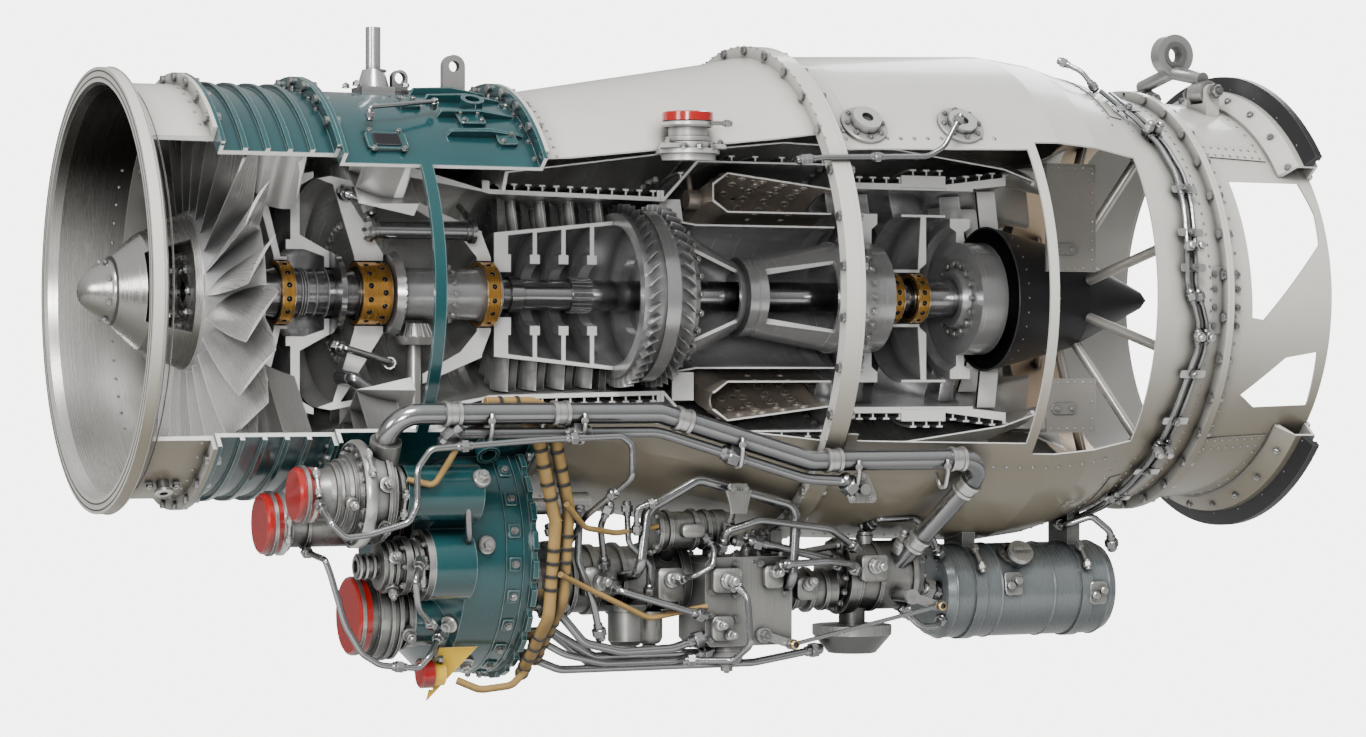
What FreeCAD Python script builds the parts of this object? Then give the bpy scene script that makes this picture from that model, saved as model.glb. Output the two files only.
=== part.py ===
import FreeCAD, Part
import math
import os

os.makedirs("parts", exist_ok=True)

# A small two-shaft turbofan on its service frame, opened for display.
# Millimetres. The engine axis is X (+X aft), +Z is up and -Y is the opened side.
# The origin is the centre of the intake lip's front face.

# ---- engine stations: lengths of the casings, front to back
intake_len = 115.0
fan_case_len = 172.0
mid_case_len = 302.0
front_duct_len = 430.0
rear_duct_len = 651.0
jet_pipe_len = 200.0

flange_t = 6.0
flange_h = 17.0
case_wall = 4.5
duct_wall = 3.0
joint_bolts = 32
bolt_r = 3.5
bolt_hole_r = 4.0
bolt_head_r = 6.5
bolt_head_t = 5.0
bolt_inset = 6.5
fit_gap = 0.05
seat_gap = 0.3
run_gap = 3.0
cage_gap = 0.4

# ---- intake
lip_r = 315.0
lip_land = 18.0
lip_bore_r = 290.0
lip_nose = 4.0
lip_back = 8.0
intake_out_r = 294.0
throat_r = 285.0
intake_cut = 26.0

# ---- windows of the display cutaway, degrees above the horizontal on the -Y side
intake_top = 45.0
intake_low = -45.0
fan_top = 40.0
fan_low = -44.0
mid_top = 37.0
mid_low = -43.0
duct_top = 39.5
duct_low = -36.0
rear_top = 35.0
rear_low = -36.0
tail_top = 37.0
tail_low = -39.0
cowl_top = 62.0
cowl_low = -62.0

# ---- fan case
fan_out_r = 293.0
fan_rib_h = 6.0
fan_rib_w = 7.0
fan_ribs = 4
fan_rib_pitch = 32.0
fan_rib_first = 34.0

# ---- intermediate case
mid_out_r = 291.0
strap_from = 118.0
strap_w = 17.0
strut_from = 150.0
strut_chord = 78.0
strut_t = 14.0
strut_count = 8
strut_first = 22.5

# ---- bypass duct, outer radii along it
duct_front_r = 297.0
duct_knee_r = 301.0
duct_knee_x = 45.0
duct_rise_r = 352.0
duct_rise_x = 347.0
duct_end_r = 364.0
mid_band = 24.0
rear_a_x = 60.0
rear_a_r = 368.0
rear_b_x = 366.0
rear_b_r = 379.0
rear_c_x = 438.0
rear_c_r = 370.0
rear_d_x = 510.0
rear_d_r = 350.0
rear_end_r = 318.0
rear_window_x = 8.0
hoop_from = 312.0
hoop_w = 15.0
tail_window_len = 186.0

# ---- jet pipe and its rear seal
jet_front_r = 321.0
jet_end_r = 306.0
jet_wall = 3.0
jet_panels = 4
jet_window_a = [(41, 178), (174, 178), (186, 129), (183, 82), (72, -35), (50, -32)]
jet_window_b = [(52, -150), (83, -169), (185, -166), (180, -84), (122, -93)]
seal_hoop_len = 62.0
seal_hoop_r = 340.0
seal_hoop_t = 4.0
seal_web_t = 5.0
seal_r = 364.0
seal_len = 26.0
seal_lip = 10.0

# ---- spinner and fan
nose_x = -22.0
nose_r = 9.0
spin_a_x = 8.0
spin_a_r = 36.0
spin_b_x = 60.0
spin_b_r = 82.0
spin_back_x = 126.0
spin_back_r = 112.0
spin_wall = 3.0
spin_window_ahead = 4.0
spin_top = 42.0
spin_low = -34.0
fan1_x = 129.0
fan1_len = 77.0
fan1_hub_in = 112.0
fan1_hub_out = 149.0
fan1_rim_t = 9.0
fan1_web_t = 14.0
fan1_count = 22
fan1_tip_from = 12.0
fan1_tip_len = 40.0
fan_tip_gap = 4.0
fan2_from = 152.0
fan2_len = 56.0
fan2_hub_in = 164.0
fan2_hub_out = 176.0
fan2_count = 26
fan2_tip_in = 9.0
fan2_tip_len = 34.0
row_gap = 5.0

# ---- static vanes of the fan
stator_count = 30
stator_len = 50.0
stator_hub_r = 154.0
stator_band = 5.0
ogv_count = 32
ogv_from = 214.0
ogv_len = 66.0

# ---- splitter and core intake
split_from = 222.0
split_nose_r = 204.0
split_mid_x = 90.0
split_mid_r = 206.0
core_out_r = 152.0
core_in_r = 93.0
core_lip_r = 162.0
core_wall = 4.0
core_vanes = 26
core_vane_len = 34.0
core_vane_from = 26.0

# ---- cowl round the gas generator (inner wall of the bypass)
cowl_wall = 2.5
cowl_a_r = 200.0
cowl_b_x = 281.0
cowl_b_r = 243.0
cowl_c_r = 260.0
cowl_d_x = 190.0
cowl_d_r = 254.0
cowl_e_x = 385.0
cowl_e_r = 226.0
cowl_f_x = 446.0
cowl_f_r = 206.0

# ---- low-pressure shaft
low_nose_r = 38.0
low_front_r = 34.0
low_mid_r = 23.0
low_bore_r = 15.0
low_rear_r = 29.0
low_flange_r = 60.0
low_flange_t = 8.0
low_flange_x = 60.0
spline_r = 27.0
spline_x = 124.0
spline_len = 32.0
spline_teeth = 24
spline_cut = 2.2

# ---- bearings
brg1_from = 148.0
brg1_len = 20.0
brg1_in = 38.4
brg1_out = 47.0
brg2_from = 98.0
brg2_len = 44.0
brg3_back = 14.0
brg3_len = 22.0
brg3_in = 41.0
brg3_out = 49.0
brg4_len = 18.0
brg4_x = 27.0
brg4_in = 27.0
brg4_out = 33.0
brg5_from = 230.0
brg_rear_len = 20.0
brg_rear_in = 31.0
brg_rear_out = 39.5
brg6_from = 274.0
roller_count = 14
race_t = 5.0

# ---- radial drive
apex_from = 189.0
gear_teeth = 40
pinion_teeth = 20
gear_r = 62.0
gear_back = 12.0
gear_rim = 5.0
face_share = 0.7
mesh_gap = 0.5
tower_r = 11.0
tower_into_box = 28.0
stub_in = 28.0
stub_out = 38.0
stub_front = 145.0

# ---- high-pressure compressor
hpc_gap = 6.0
hpc_wall = 7.0
hpc_in_front = 149.0
hpc_in_rear = 143.0
hpc_len = 276.0
hpc_first = 16.0
hpc_stage = 46.0
hpc_blade_len = 20.0
hpc_vane_len = 15.0
hpc_vane_gap = 25.0
hpc_stages = 4
hpc_row_blades = 17
hpc_row_vanes = 17
drum_front_r = 92.0
drum_rear_r = 112.0
drum_rim_t = 6.0
drum_disc_t = 7.0
drum_bore = 46.0
drum_hub_t = 16.0
drum_hub_h = 14.0
ring_from = 198.0
ring_len = 82.0
ring_r = 124.0
ring_blade_count = 44
ring_band_h = 6.0
ring_band_from = 34.0
ring_band_len = 22.0
ring_blade_len = 18.0
ring_blade_h = 14.0
ring_bore = 58.0

# ---- high-pressure shaft
cone_big_r = 112.0
cone_wall = 7.0
cone_waist_x = 24.0
cone_waist_r = 50.0
coupling_r = 60.0
coupling_len = 14.0
tube_r = 58.0
tube_flare_r = 84.0
tube_len = 142.0
tube_wall = 7.0
coupling2_r = 86.0
shaft_window = 43.0
shaft_window_edge = 16.0

# ---- combustor
burner_front = 88.0
case_out_r = 207.0
case_in_r = 110.0
burner_wall = 3.0
liner_front = 62.0
liner_end = 140.0
liner_out_r = 190.0
liner_in_r = 128.0
dome_r = 159.0
dome_back = 26.0
hole_r = 5.0
liner_holes = 14
burner_count = 9
burner_cup_r = 15.0
burner_cup_len = 20.0

# ---- turbines
noz_from = 146.0
noz_len = 32.0
noz_count = 18
hpt_from = 184.0
hpt_len = 36.0
hpt_rim_r = 131.0
hpt_disc_t = 16.0
hpt_blades = 26
gas_in_r = 131.0
gas_out_r = 169.0
vane2_from = 262.0
vane2_len = 78.0
vane2_count = 14
lpt_from = 348.0
lpt_len = 36.0
lpt_rim_r = 126.0
lpt_blades = 24
lpt_disc_t = 14.0
turb_wall = 6.0
turb_out_r = 192.0
turb_rear_r = 198.0
shroud_t = 4.0
bolt_ring_from = 392.0
bolt_ring_r = 88.0
bolt_ring_len = 12.0
bolt_ring_count = 20

# ---- exhaust
plug_from = 410.0
plug_r = 114.0
plug_len = 296.0
plug_tip_r = 14.0
plug_wall = 3.0
mixer_from = 448.0
mixer_len = 110.0
mixer_lobes = 12
mixer_r = 206.0
mixer_depth = 34.0
mixer_wall = 3.0
panel_from = 452.0
panel_w = 88.0
panel_h = 168.0
panel_t = 5.0
panel_y = 122.0
rod_r = 8.0
rod_count = 8
inner_pipe_ahead = 61.0
inner_pipe_len = 100.0
inner_pipe_r = 262.0
inner_pipe_end_r = 280.0

# ---- mounts
spigot_r = 11.0
spigot_h = 62.0
spigot_base_r = 24.0
spigot_base_h = 26.0
spigot_neck_r = 16.0
spigot_foot = 50.0
spigot_foot_t = 9.0
eye_front_x = 166.0
eye_rear_x = 250.0
eye_hole_r = 8.0
eye_r = 17.0
eye_t = 14.0
eye_rise = 24.0
eye_tall = 44.0
eye_small_r = 12.0
link_x = 104.0
link_eye_z = 397.0
link_eye_r = 33.0
link_hole_r = 13.0
link_eye_t = 24.0
link_half = 92.0
link_leg_r = 11.0
link_foot_r = 18.0
link_leg_rise = 21.5
link_leg_drop = 28.0
lug_round = 12.0
link_pin_r = 8.0
link_pin_gap = 0.05
link_z = 330.0
lug_t = 10.0
lug_gap = 0.5
trunnion_x = 228.0
trunnion_angle = 63.0
trunnion_low = -48.5
trunnion_r = 17.0
trunnion_hole_r = 11.0
trunnion_h = 26.0
trunnion_depth = 20.0

# ---- bleed outlet and ports
bleed_x = 210.0
bleed_y = -262.0
bleed_foot_z = 188.0
bleed_r = 28.0
bleed_bore = 23.0
bleed_base_r = 40.0
bleed_base_top = 214.0
bleed_top = 250.0
bleed_flange_r = 34.0
bleed_flange_t = 7.0
port_a_x = 57.0
port_b_x = 215.0
port_angle = 42.0
port_r = 22.0
port_bore = 9.0
port_h = 12.0
port_depth = 8.0
blank_gap = 0.05
blank_len = 30.0
blank_rim = 3.0

# ---- accessory gearbox
box_front = 124.0
box_len = 165.0
box_y = -60.0
box_z = -373.0
box_r = 178.0
box_nose_r = 120.0
box_round = 60.0
box_tab_h = 10.0
box_tab_t = 8.0
box_tabs = 28
tab_cut_r = 9.0
box_bore_deep = 8.0

# ---- accessories on the gearbox's front
start_y = -262.0
start_z = -282.0
start_pad_r = 40.0
start_arm = 48.0
start_arm_w = 70.0
start_dome_r = 66.0
start_dome_len = 44.0
start_rim_r = 70.0
start_rim_t = 12.0
start_body_r = 56.0
start_body_len = 40.0
start_neck_r = 33.0
start_neck_len = 26.0
start_neck_gap = 14.0
outlet_r = 22.0
outlet_len = 84.0
alt_y = -145.0
alt_z = -326.0
alt_r = 34.0
alt_len = 176.0
alt_rim_r = 40.0
alt_rim_len = 20.0
pump_y = -230.0
pump_z = -384.0
pump_disc_r = 50.0
pump_disc_t = 10.0
pump_r = 33.0
pump_len = 60.0
pump_rim_r = 41.0
pump_snout_r = 15.0
pump_snout_bore = 9.0
pump_snout_len = 32.0
gen_y = -150.0
gen_z = -458.0
gen_r = 60.0
gen_len = 34.0
gen_neck_r = 46.0
gen_neck_len = 22.0
gen_rim_r = 52.0
gen_rim_len = 18.0
plate_x = 165.0
plate_y = -180.0
plate_w = 60.0
plate_h = 78.0
plate_lean = 20.0
plate_t = 4.0
plate_up = 50.0
plug_blank_r = 17.0
plug_blank_len = 20.0
plug_blank_drop = 40.0

# ---- fuel system behind the gearbox
fp_y = -110.0
fp_z = -418.0
fp_neck_r = 30.0
fp_neck_len = 64.0
fp_r = 48.0
fp_len = 211.0
fp_rim_r = 58.0
fp_rim_t = 12.0
motor_y = -178.0
motor_z = -345.0
motor_r = 27.0
motor_rim_r = 34.0
motor_from = 190.0
motor_len = 112.0
motor_foot_r = 13.0
cyl_r = 20.0
cyl_neck_r = 12.0
cyl_len = 56.0
cyl_neck = 52.0
cyl_y = -160.0
cyl_z = -308.0
block_len = 140.0
block_top = -385.0
block_h = 130.0
block_d = 96.0
block_y = -208.0
coupler_r = 28.0
coupler_y = -140.0
coupler_z = -440.0
reg_from = 500.0
reg_len = 150.0
reg_r = 52.0
reg_y = -120.0
reg_z = -422.0
bowl_x = 545.0
bowl_r = 60.0
bowl_top = -496.0
bowl_h = 42.0
bowl_neck_r = 20.0
hanger_w = 18.0
hanger_d = 60.0
hanger_x = 15.0

# ---- throttle linkage
lever_x = 597.0
lever_z = -450.0
lever_run = 43.0
lever_drop = 14.0
lever_t = 7.0
lever_hub_r = 11.0
lever_end_r = 8.0
lever_pin_r = 5.0
lever_boss_r = 9.0
lever_face = -213.0
link_pin_small = 4.0
link_eye_small = 8.0
link_play = 0.5
rod_run = 244.0
rod_fall = 50.0
ctrl_rod_r = 5.0
open_play = 0.6

# ---- oil tank
tank_from = 262.0
tank_len = 304.0
tank_r = 72.0
tank_y = -80.0
tank_top = 380.0
tank_z = -(tank_top + tank_r)
tank_round = 16.0
tank_band_w = 18.0
tank_band_t = 3.0
tank_saddle_w = 22.0
tank_saddle_d = 60.0
saddle_a = 50.0
saddle_b = 236.0
neck_x = 126.0
neck_r = 15.0
neck_h = 18.0
cap_lean = 50.0
cap_r = 20.0
cap_h = 14.0

# ---- pipes and harness
air_r = 15.0
air_bend = 40.0
air_y = -322.0
air_top_z = -172.0
air_low_z = -242.0
air_from = 42.0
air_fall_from = 140.0
air_fall_to = 376.0
air_turn = 244.0
air_end_x = 170.0
air_end_y = -150.0
air_end_z = -410.0
thin_r = 6.0
u_r = 8.0
u_y = -222.0
u_bend = 24.0
u_start = 152.0
u_peak = 245.0
u_drop = 395.0
u_low = -404.0
u_top = -270.0
u_side = -312.0
drain_y = -140.0
drain_z = -490.0
drain_low = -528.0
harness_r = 9.0
harness_y = -296.0
harness_bend = 40.0
clip_r = 7.0

x1 = intake_len
x2 = x1 + fan_case_len
x3 = x2 + mid_case_len
x4 = x3 + front_duct_len
x5 = x4 + rear_duct_len
x6 = x5 + jet_pipe_len
tower_x = x2 + apex_from
pinion_r = gear_r * pinion_teeth / gear_teeth
hpc_x = x3 + hpc_gap
ring_x = hpc_x + ring_from
cone_x = ring_x + ring_len


def vec(x, y, z):
    return FreeCAD.Vector(x, y, z)


def save(shape, name):
    shape.exportStep("parts/" + name + ".step")


def turned(profile):
    """A ring turned about the engine axis from a closed list of (x, radius)."""
    points = [vec(x, 0, r) for x, r in profile]
    face = Part.Face(Part.makePolygon(points + points[:1]))
    return face.revolve(vec(0, 0, 0), vec(1, 0, 0), 360)


def turned_at(profile, base, direction):
    """A ring turned from (distance, radius) pairs about any axis."""
    solid = turned(profile)
    turn = FreeCAD.Rotation(vec(1, 0, 0), direction)
    solid.Placement = FreeCAD.Placement(base, turn)
    return solid


def skin(stations, wall):
    """A closed profile a constant wall thick inside a line of (x, outer radius)."""
    inner = [(x, r - wall) for x, r in reversed(stations)]
    return stations + inner


def wedge(start, end, low, high, reach):
    """A pie slice on the -Y side, from one angle to another above the horizontal."""
    steps = max(2, int(math.ceil((high - low) / 25.0)))
    big = reach / math.cos(math.radians((high - low) / steps / 2))
    points = [vec(start, 0, 0)]
    for i in range(steps + 1):
        a = math.radians(low + (high - low) * i / steps)
        points.append(vec(start, -big * math.cos(a), big * math.sin(a)))
    face = Part.Face(Part.makePolygon(points + points[:1]))
    return face.extrude(vec(end - start, 0, 0))


def near_half(start, end, reach):
    """The block on the -Y side of the engine's middle plane."""
    return Part.makeBox(end - start, reach, 2 * reach, vec(start, -reach, -reach))


def rod(base, direction, radius, length):
    return Part.makeCylinder(radius, length, base, direction)


def spot(x, radius, angle):
    """A point at an angle above the horizontal on the -Y side."""
    a = math.radians(angle)
    return vec(x, -radius * math.cos(a), radius * math.sin(a))


def outward(angle):
    a = math.radians(angle)
    return vec(0, -math.cos(a), math.sin(a))


def spun(shape, angle):
    out = shape.copy()
    out.rotate(vec(0, 0, 0), vec(1, 0, 0), angle)
    return out


def foil(x_from, chord, radius, lean, thick, camber):
    """A blade section at one radius: two curves that meet at sharp ends."""
    along = math.cos(math.radians(lean))
    across = math.sin(math.radians(lean))
    half = chord / along / 2
    upper = []
    lower = []
    for f in (-1.0, -0.45, 0.1, 0.6, 1.0):
        bow = camber * (1 - f * f)
        swell = thick / 2 * (1 - f * f)
        s = f * half
        for out, t in ((upper, bow + swell), (lower, bow - swell)):
            out.append(vec(x_from + chord / 2 + s * along - t * across, s * across + t * along, radius))
    top = Part.BSplineCurve()
    top.interpolate(upper)
    back = Part.BSplineCurve()
    back.interpolate(list(reversed(lower)))
    return Part.Wire([top.toShape(), back.toShape()])


def blade(sections):
    """A solid through the sections, root first."""
    return Part.makeLoft(sections, True, len(sections) == 2)


def row(one, count, low=None, high=None, start=0.0, half=False):
    """Copies round the axis; those inside the window, or on the near half, are left out."""
    out = []
    one = max(one.Solids, key=lambda solid: solid.Volume)
    for i in range(count):
        turn = start + 360.0 * i / count
        point = spun(one, turn).CenterOfMass
        angle = math.degrees(math.atan2(point.z, -point.y))
        if low is not None and low < angle < high:
            continue
        if half and point.y < 0:
            continue
        out.append(spun(one, turn))
    return out


def bolt_circle(shape, joint, radius, count, depth):
    """Cuts a ring of bolt holes through a flange."""
    tools = []
    for i in range(count):
        a = 2 * math.pi * (i + 0.5) / count
        centre = vec(joint - depth, radius * math.sin(a), radius * math.cos(a))
        tools.append(rod(centre, vec(1, 0, 0), bolt_hole_r, 2 * depth))
    return shape.cut(Part.makeCompound(tools))


def pipe(points, radius, bend):
    """A round tube along straight runs joined by tangent arcs."""
    edges = []
    last = points[0]
    for i in range(1, len(points) - 1):
        a = (points[i - 1] - points[i]).normalize()
        b = (points[i + 1] - points[i]).normalize()
        half = a.getAngle(b) / 2
        reach = bend / math.tan(half)
        start = points[i] + a * reach
        end = points[i] + b * reach
        middle = (a + b).normalize()
        top = points[i] + middle * (bend / math.sin(half) - bend)
        edges.append(Part.LineSegment(last, start).toShape())
        edges.append(Part.Arc(start, top, end).toShape())
        last = end
    edges.append(Part.LineSegment(last, points[-1]).toShape())
    circle = Part.Circle(points[0], points[1] - points[0], radius).toShape()
    return Part.Wire(edges).makePipeShell([Part.Wire([circle])], True, False)


# ---------------------------------------------------------------- casings
r1 = throat_r + case_wall + flange_h + 4.5
r_mid = duct_end_r + flange_h
bolt_ring_1 = r1 - bolt_inset
bolt_ring_mid = r_mid - bolt_inset
reach = 2 * seal_r


def intake_case():
    """The intake ring: a rounded lip, a plain land, a short barrel and its rear flange."""
    body = turned([
        (0, lip_bore_r + lip_nose), (0, lip_r), (lip_land, lip_r),
        (lip_land + lip_back, intake_out_r), (x1 - flange_t, intake_out_r), (x1 - flange_t, r1),
        (x1, r1), (x1, throat_r), (lip_land, lip_bore_r - lip_nose), (lip_nose, lip_bore_r)])
    body = bolt_circle(body, x1, bolt_ring_1, joint_bolts, flange_t + 1)
    return body.cut(wedge(intake_cut, x1 + 1, intake_low, intake_top, reach))


def fan_case():
    """The ribbed case round the first rotor."""
    line = [(x1, r1), (x1 + flange_t, r1), (x1 + flange_t, fan_out_r)]
    for i in range(fan_ribs):
        rib = x1 + fan_rib_first + i * fan_rib_pitch
        line += [(rib, fan_out_r), (rib, fan_out_r + fan_rib_h)]
        line += [(rib + fan_rib_w, fan_out_r + fan_rib_h), (rib + fan_rib_w, fan_out_r)]
    line += [(x2 - flange_t, fan_out_r), (x2 - flange_t, r1), (x2, r1), (x2, throat_r), (x1, throat_r)]
    body = turned(line)
    for joint in (x1, x2):
        body = bolt_circle(body, joint, bolt_ring_1, joint_bolts, flange_t + 1)
    return body.cut(wedge(x1 - 1, x2 + 1, fan_low, fan_top, reach))


def mid_case():
    """The intermediate case: a barrel with one hoop left across its window, and radial struts."""
    inner = throat_r - 1.0
    body = turned([
        (x2, r1), (x2 + flange_t, r1), (x2 + flange_t, mid_out_r), (x3 - flange_t, mid_out_r),
        (x3 - flange_t, r1), (x3, r1), (x3, inner), (x2, inner)])
    for joint in (x2, x3):
        body = bolt_circle(body, joint, bolt_ring_1, joint_bolts, flange_t + 1)
    front = wedge(x2 - 1, x2 + strap_from, mid_low, mid_top, reach)
    back = wedge(x2 + strap_from + strap_w, x3 + 1, mid_low, mid_top, reach)
    body = body.cut(Part.makeCompound([front, back]))
    base = spot(x2 + trunnion_x, inner + 1, trunnion_angle)
    boss = rod(base, outward(trunnion_angle), trunnion_r, trunnion_h)
    base_top = rod(base + outward(trunnion_angle) * (trunnion_h - trunnion_depth),
                   outward(trunnion_angle), trunnion_hole_r, trunnion_h)
    low = spot(x2 + trunnion_x, inner + 1, trunnion_low)
    boss_low = rod(low, outward(trunnion_low), trunnion_r, trunnion_h)
    low_top = rod(low + outward(trunnion_low) * (trunnion_h - trunnion_depth),
                  outward(trunnion_low), trunnion_hole_r, trunnion_h)
    tower = rod(vec(tower_x, 0, -mid_out_r - 1), vec(0, 0, 1), tower_r + run_gap, case_wall * 4)
    return body.fuse([boss, boss_low]).cut(Part.makeCompound([base_top, low_top, tower]))


def duct(stations, cuts, joints):
    body = turned(stations)
    for joint, radius in joints:
        body = bolt_circle(body, joint, radius, joint_bolts, flange_t + 1)
    tools = [wedge(start, end, lo, hi, reach) for start, end, lo, hi in cuts]
    return body.cut(Part.makeCompound(tools))


def front_duct():
    """The front bypass duct, swelling from the intermediate case to the mid flange."""
    line = [(x3, r1), (x3 + flange_t, r1), (x3 + flange_t, duct_front_r),
            (x3 + duct_knee_x, duct_knee_r), (x3 + duct_rise_x, duct_rise_r),
            (x4 - mid_band, duct_end_r), (x4 - mid_band, r_mid), (x4, r_mid)]
    inner = [(x4, duct_end_r - duct_wall), (x4 - mid_band, duct_end_r - duct_wall),
             (x3 + duct_rise_x, duct_rise_r - duct_wall), (x3 + duct_knee_x, duct_knee_r - duct_wall),
             (x3, duct_front_r - duct_wall)]
    cuts = [(x3 - 1, x4 - mid_band, duct_low, duct_top)]
    body = duct(line + inner, cuts, [(x3, bolt_ring_1)])
    return bolt_circle(body, x4, bolt_ring_mid, joint_bolts, mid_band + 1)


def rear_duct():
    """The rear bypass duct: two windows with a hoop left between them."""
    line = [(x4, r_mid), (x4 + flange_t, r_mid), (x4 + flange_t, duct_end_r),
            (x4 + rear_a_x, rear_a_r), (x4 + rear_b_x, rear_b_r), (x4 + rear_c_x, rear_c_r),
            (x4 + rear_d_x, rear_d_r), (x5 - flange_t, rear_end_r), (x5 - flange_t, rear_end_r + flange_h),
            (x5, rear_end_r + flange_h)]
    inner = [(x5, rear_end_r - duct_wall), (x4 + rear_d_x, rear_d_r - duct_wall),
             (x4 + rear_c_x, rear_c_r - duct_wall), (x4 + rear_b_x, rear_b_r - duct_wall),
             (x4 + rear_a_x, rear_a_r - duct_wall), (x4, duct_end_r - duct_wall)]
    cuts = [(x4 + rear_window_x, x4 + hoop_from, rear_low, rear_top),
            (x4 + hoop_from + hoop_w, x4 + hoop_from + hoop_w + tail_window_len, tail_low, tail_top)]
    joints = [(x4, bolt_ring_mid), (x5, rear_end_r + flange_h - bolt_inset)]
    return duct(line + inner, cuts, joints)


def jet_seams():
    """The narrow gaps along the jet pipe where its rolled panels meet edge to edge."""
    out = []
    for i in range(jet_panels):
        gap = Part.makeBox(jet_pipe_len + 2, fit_gap, reach, vec(x5 - 1, -fit_gap / 2, 0))
        gap.rotate(vec(0, 0, 0), vec(1, 0, 0), 360 * (i + 0.5) / jet_panels)
        out.append(gap)
    return out


def jet_pipe():
    """The jet pipe behind the duct: rolled panels with their flanges, and its openings on the near side."""
    rim = rear_end_r + flange_h
    body = turned([
        (x5, rim), (x5 + flange_t, rim), (x5 + flange_t, jet_front_r), (x6, jet_end_r + jet_wall),
        (x6, jet_end_r), (x5, jet_front_r - jet_wall)])
    body = bolt_circle(body, x5, rim - bolt_inset, joint_bolts, flange_t + 1)
    cuts = []
    for outline in (jet_window_a, jet_window_b):
        points = [vec(x5 + x, 0, z) for x, z in outline]
        face = Part.Face(Part.makePolygon(points + points[:1]))
        cuts.append(face.extrude(vec(0, -reach, 0)))
    return body.cut(Part.makeCompound(cuts + jet_seams()))


def pipe_radius(x):
    """The jet pipe's outer radius at a station."""
    f = (x - x5 - flange_t) / (x6 - x5 - flange_t)
    return jet_front_r + (jet_end_r + jet_wall - jet_front_r) * f


def seal_carrier():
    """The stepped carrier behind the jet pipe that holds the seal, open on its near side."""
    front = x6 - seal_hoop_len
    seat = pipe_radius(front) + fit_gap
    rise = pipe_radius(x6 - seal_web_t) + fit_gap
    body = turned([
        (front, seat), (front, seat + seal_web_t), (front + seal_len, seal_hoop_r),
        (x6, seal_hoop_r), (x6, rise + seal_web_t), (x6 + seal_web_t, rise + seal_web_t),
        (x6 + seal_web_t, jet_end_r), (x6 + fit_gap, jet_end_r), (x6 + fit_gap, rise),
        (x6 - seal_web_t, rise), (x6 - seal_web_t, seal_hoop_r - seal_hoop_t),
        (front + seal_len, seal_hoop_r - seal_hoop_t), (front + seal_web_t * 2, seat + fit_gap)])
    return body.cut(wedge(front - 1, x6 + 2 * seal_len, tail_low, tail_top, reach))


def rear_seal():
    """The rubber seal on the carrier's rim."""
    seat = seal_hoop_r + fit_gap
    body = turned([
        (x6 - seal_len, seat), (x6 - seal_len + seal_lip, seal_r), (x6 - seal_web_t, seal_r),
        (x6 - seal_web_t, seal_r - seal_lip), (x6 - seal_lip, seal_r - seal_lip), (x6 - seal_lip, seat)])
    return body.cut(wedge(x6 - 2 * seal_len, x6 + seal_len, tail_low, tail_top, reach))


def flange_bolts():
    """Through bolts of the casing joints, left out where a window cuts the flange."""
    out = []
    joints = [
        (x1, bolt_ring_1, fan_low, intake_top, flange_t, flange_t),
        (x2, bolt_ring_1, fan_low, fan_top, flange_t, flange_t),
        (x3, bolt_ring_1, mid_low, duct_top, flange_t, flange_t),
        (x4, bolt_ring_mid, rear_low, rear_low, mid_band, flange_t),
        (x5, rear_end_r + flange_h - bolt_inset, rear_low, rear_low, flange_t, flange_t)]
    for joint, radius, low, high, ahead, behind in joints:
        for i in range(joint_bolts):
            a = 2 * math.pi * (i + 0.5) / joint_bolts
            y = radius * math.sin(a)
            z = radius * math.cos(a)
            side = math.degrees(math.atan2(z, -y))
            margin = math.degrees(bolt_head_r / radius)
            if low - margin < side < high + margin:
                continue
            if joint == x5 and abs(y) < spigot_foot and z > 0:
                continue
            shank = rod(vec(joint - ahead - bolt_head_t, y, z), vec(1, 0, 0), bolt_r,
                        ahead + behind + 2 * bolt_head_t)
            head = rod(vec(joint - ahead - bolt_head_t, y, z), vec(1, 0, 0), bolt_head_r, bolt_head_t)
            nut = rod(vec(joint + behind, y, z), vec(1, 0, 0), bolt_head_r, bolt_head_t)
            out.append(shank.fuse([head, nut]).removeSplitter())
    return Part.makeCompound(out)


# ---------------------------------------------------------------- fan and its shaft
def gas_path(line_in, line_out):
    """The turned space between a hub line and a tip line, both front to back."""
    return turned(line_in + list(reversed(line_out)))


fan2_x = x1 + fan2_from
stator_x = fan1_x + fan1_len + row_gap
split_x = x1 + split_from
hub_slope = (fan1_hub_out - fan1_hub_in) / fan1_len


def spinner():
    """The nose cone: a thin pointed shell with a plain disc behind it."""
    outer = [(nose_x, 0), (nose_x, nose_r), (spin_a_x, spin_a_r), (spin_b_x, spin_b_r),
             (spin_back_x, spin_back_r)]
    inner = [(spin_back_x, low_flange_r), (spin_back_x - spin_wall, low_flange_r),
             (spin_back_x - spin_wall, spin_back_r - 2 * spin_wall), (spin_b_x, spin_b_r - spin_wall),
             (spin_a_x, spin_a_r - spin_wall), (nose_x + 2 * spin_wall, 0)]
    window = wedge(spin_b_x - spin_window_ahead, spin_back_x - 3 * spin_wall, spin_low, spin_top, reach)
    return turned(outer + inner).cut(window)


def fan_disc_1():
    """The first rotor's disc: a sloping rim, a web and a boss on the shaft."""
    back = fan1_x + fan1_len
    mid = fan1_x + fan1_len / 2
    rim = fan1_hub_in + hub_slope * fan1_len / 2 - fan1_rim_t
    return turned([
        (spin_back_x + fit_gap, low_nose_r + fit_gap), (spin_back_x + fit_gap, low_flange_r),
        (mid - fan1_web_t / 2, low_flange_r), (mid - fan1_web_t / 2, rim),
        (spin_back_x + fit_gap, spin_back_r - fan1_rim_t), (spin_back_x + fit_gap, spin_back_r),
        (fan1_x, fan1_hub_in), (back, fan1_hub_out), (back, fan1_hub_out - fan1_rim_t),
        (mid + fan1_web_t / 2, rim), (mid + fan1_web_t / 2, low_nose_r + fit_gap)])


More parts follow.
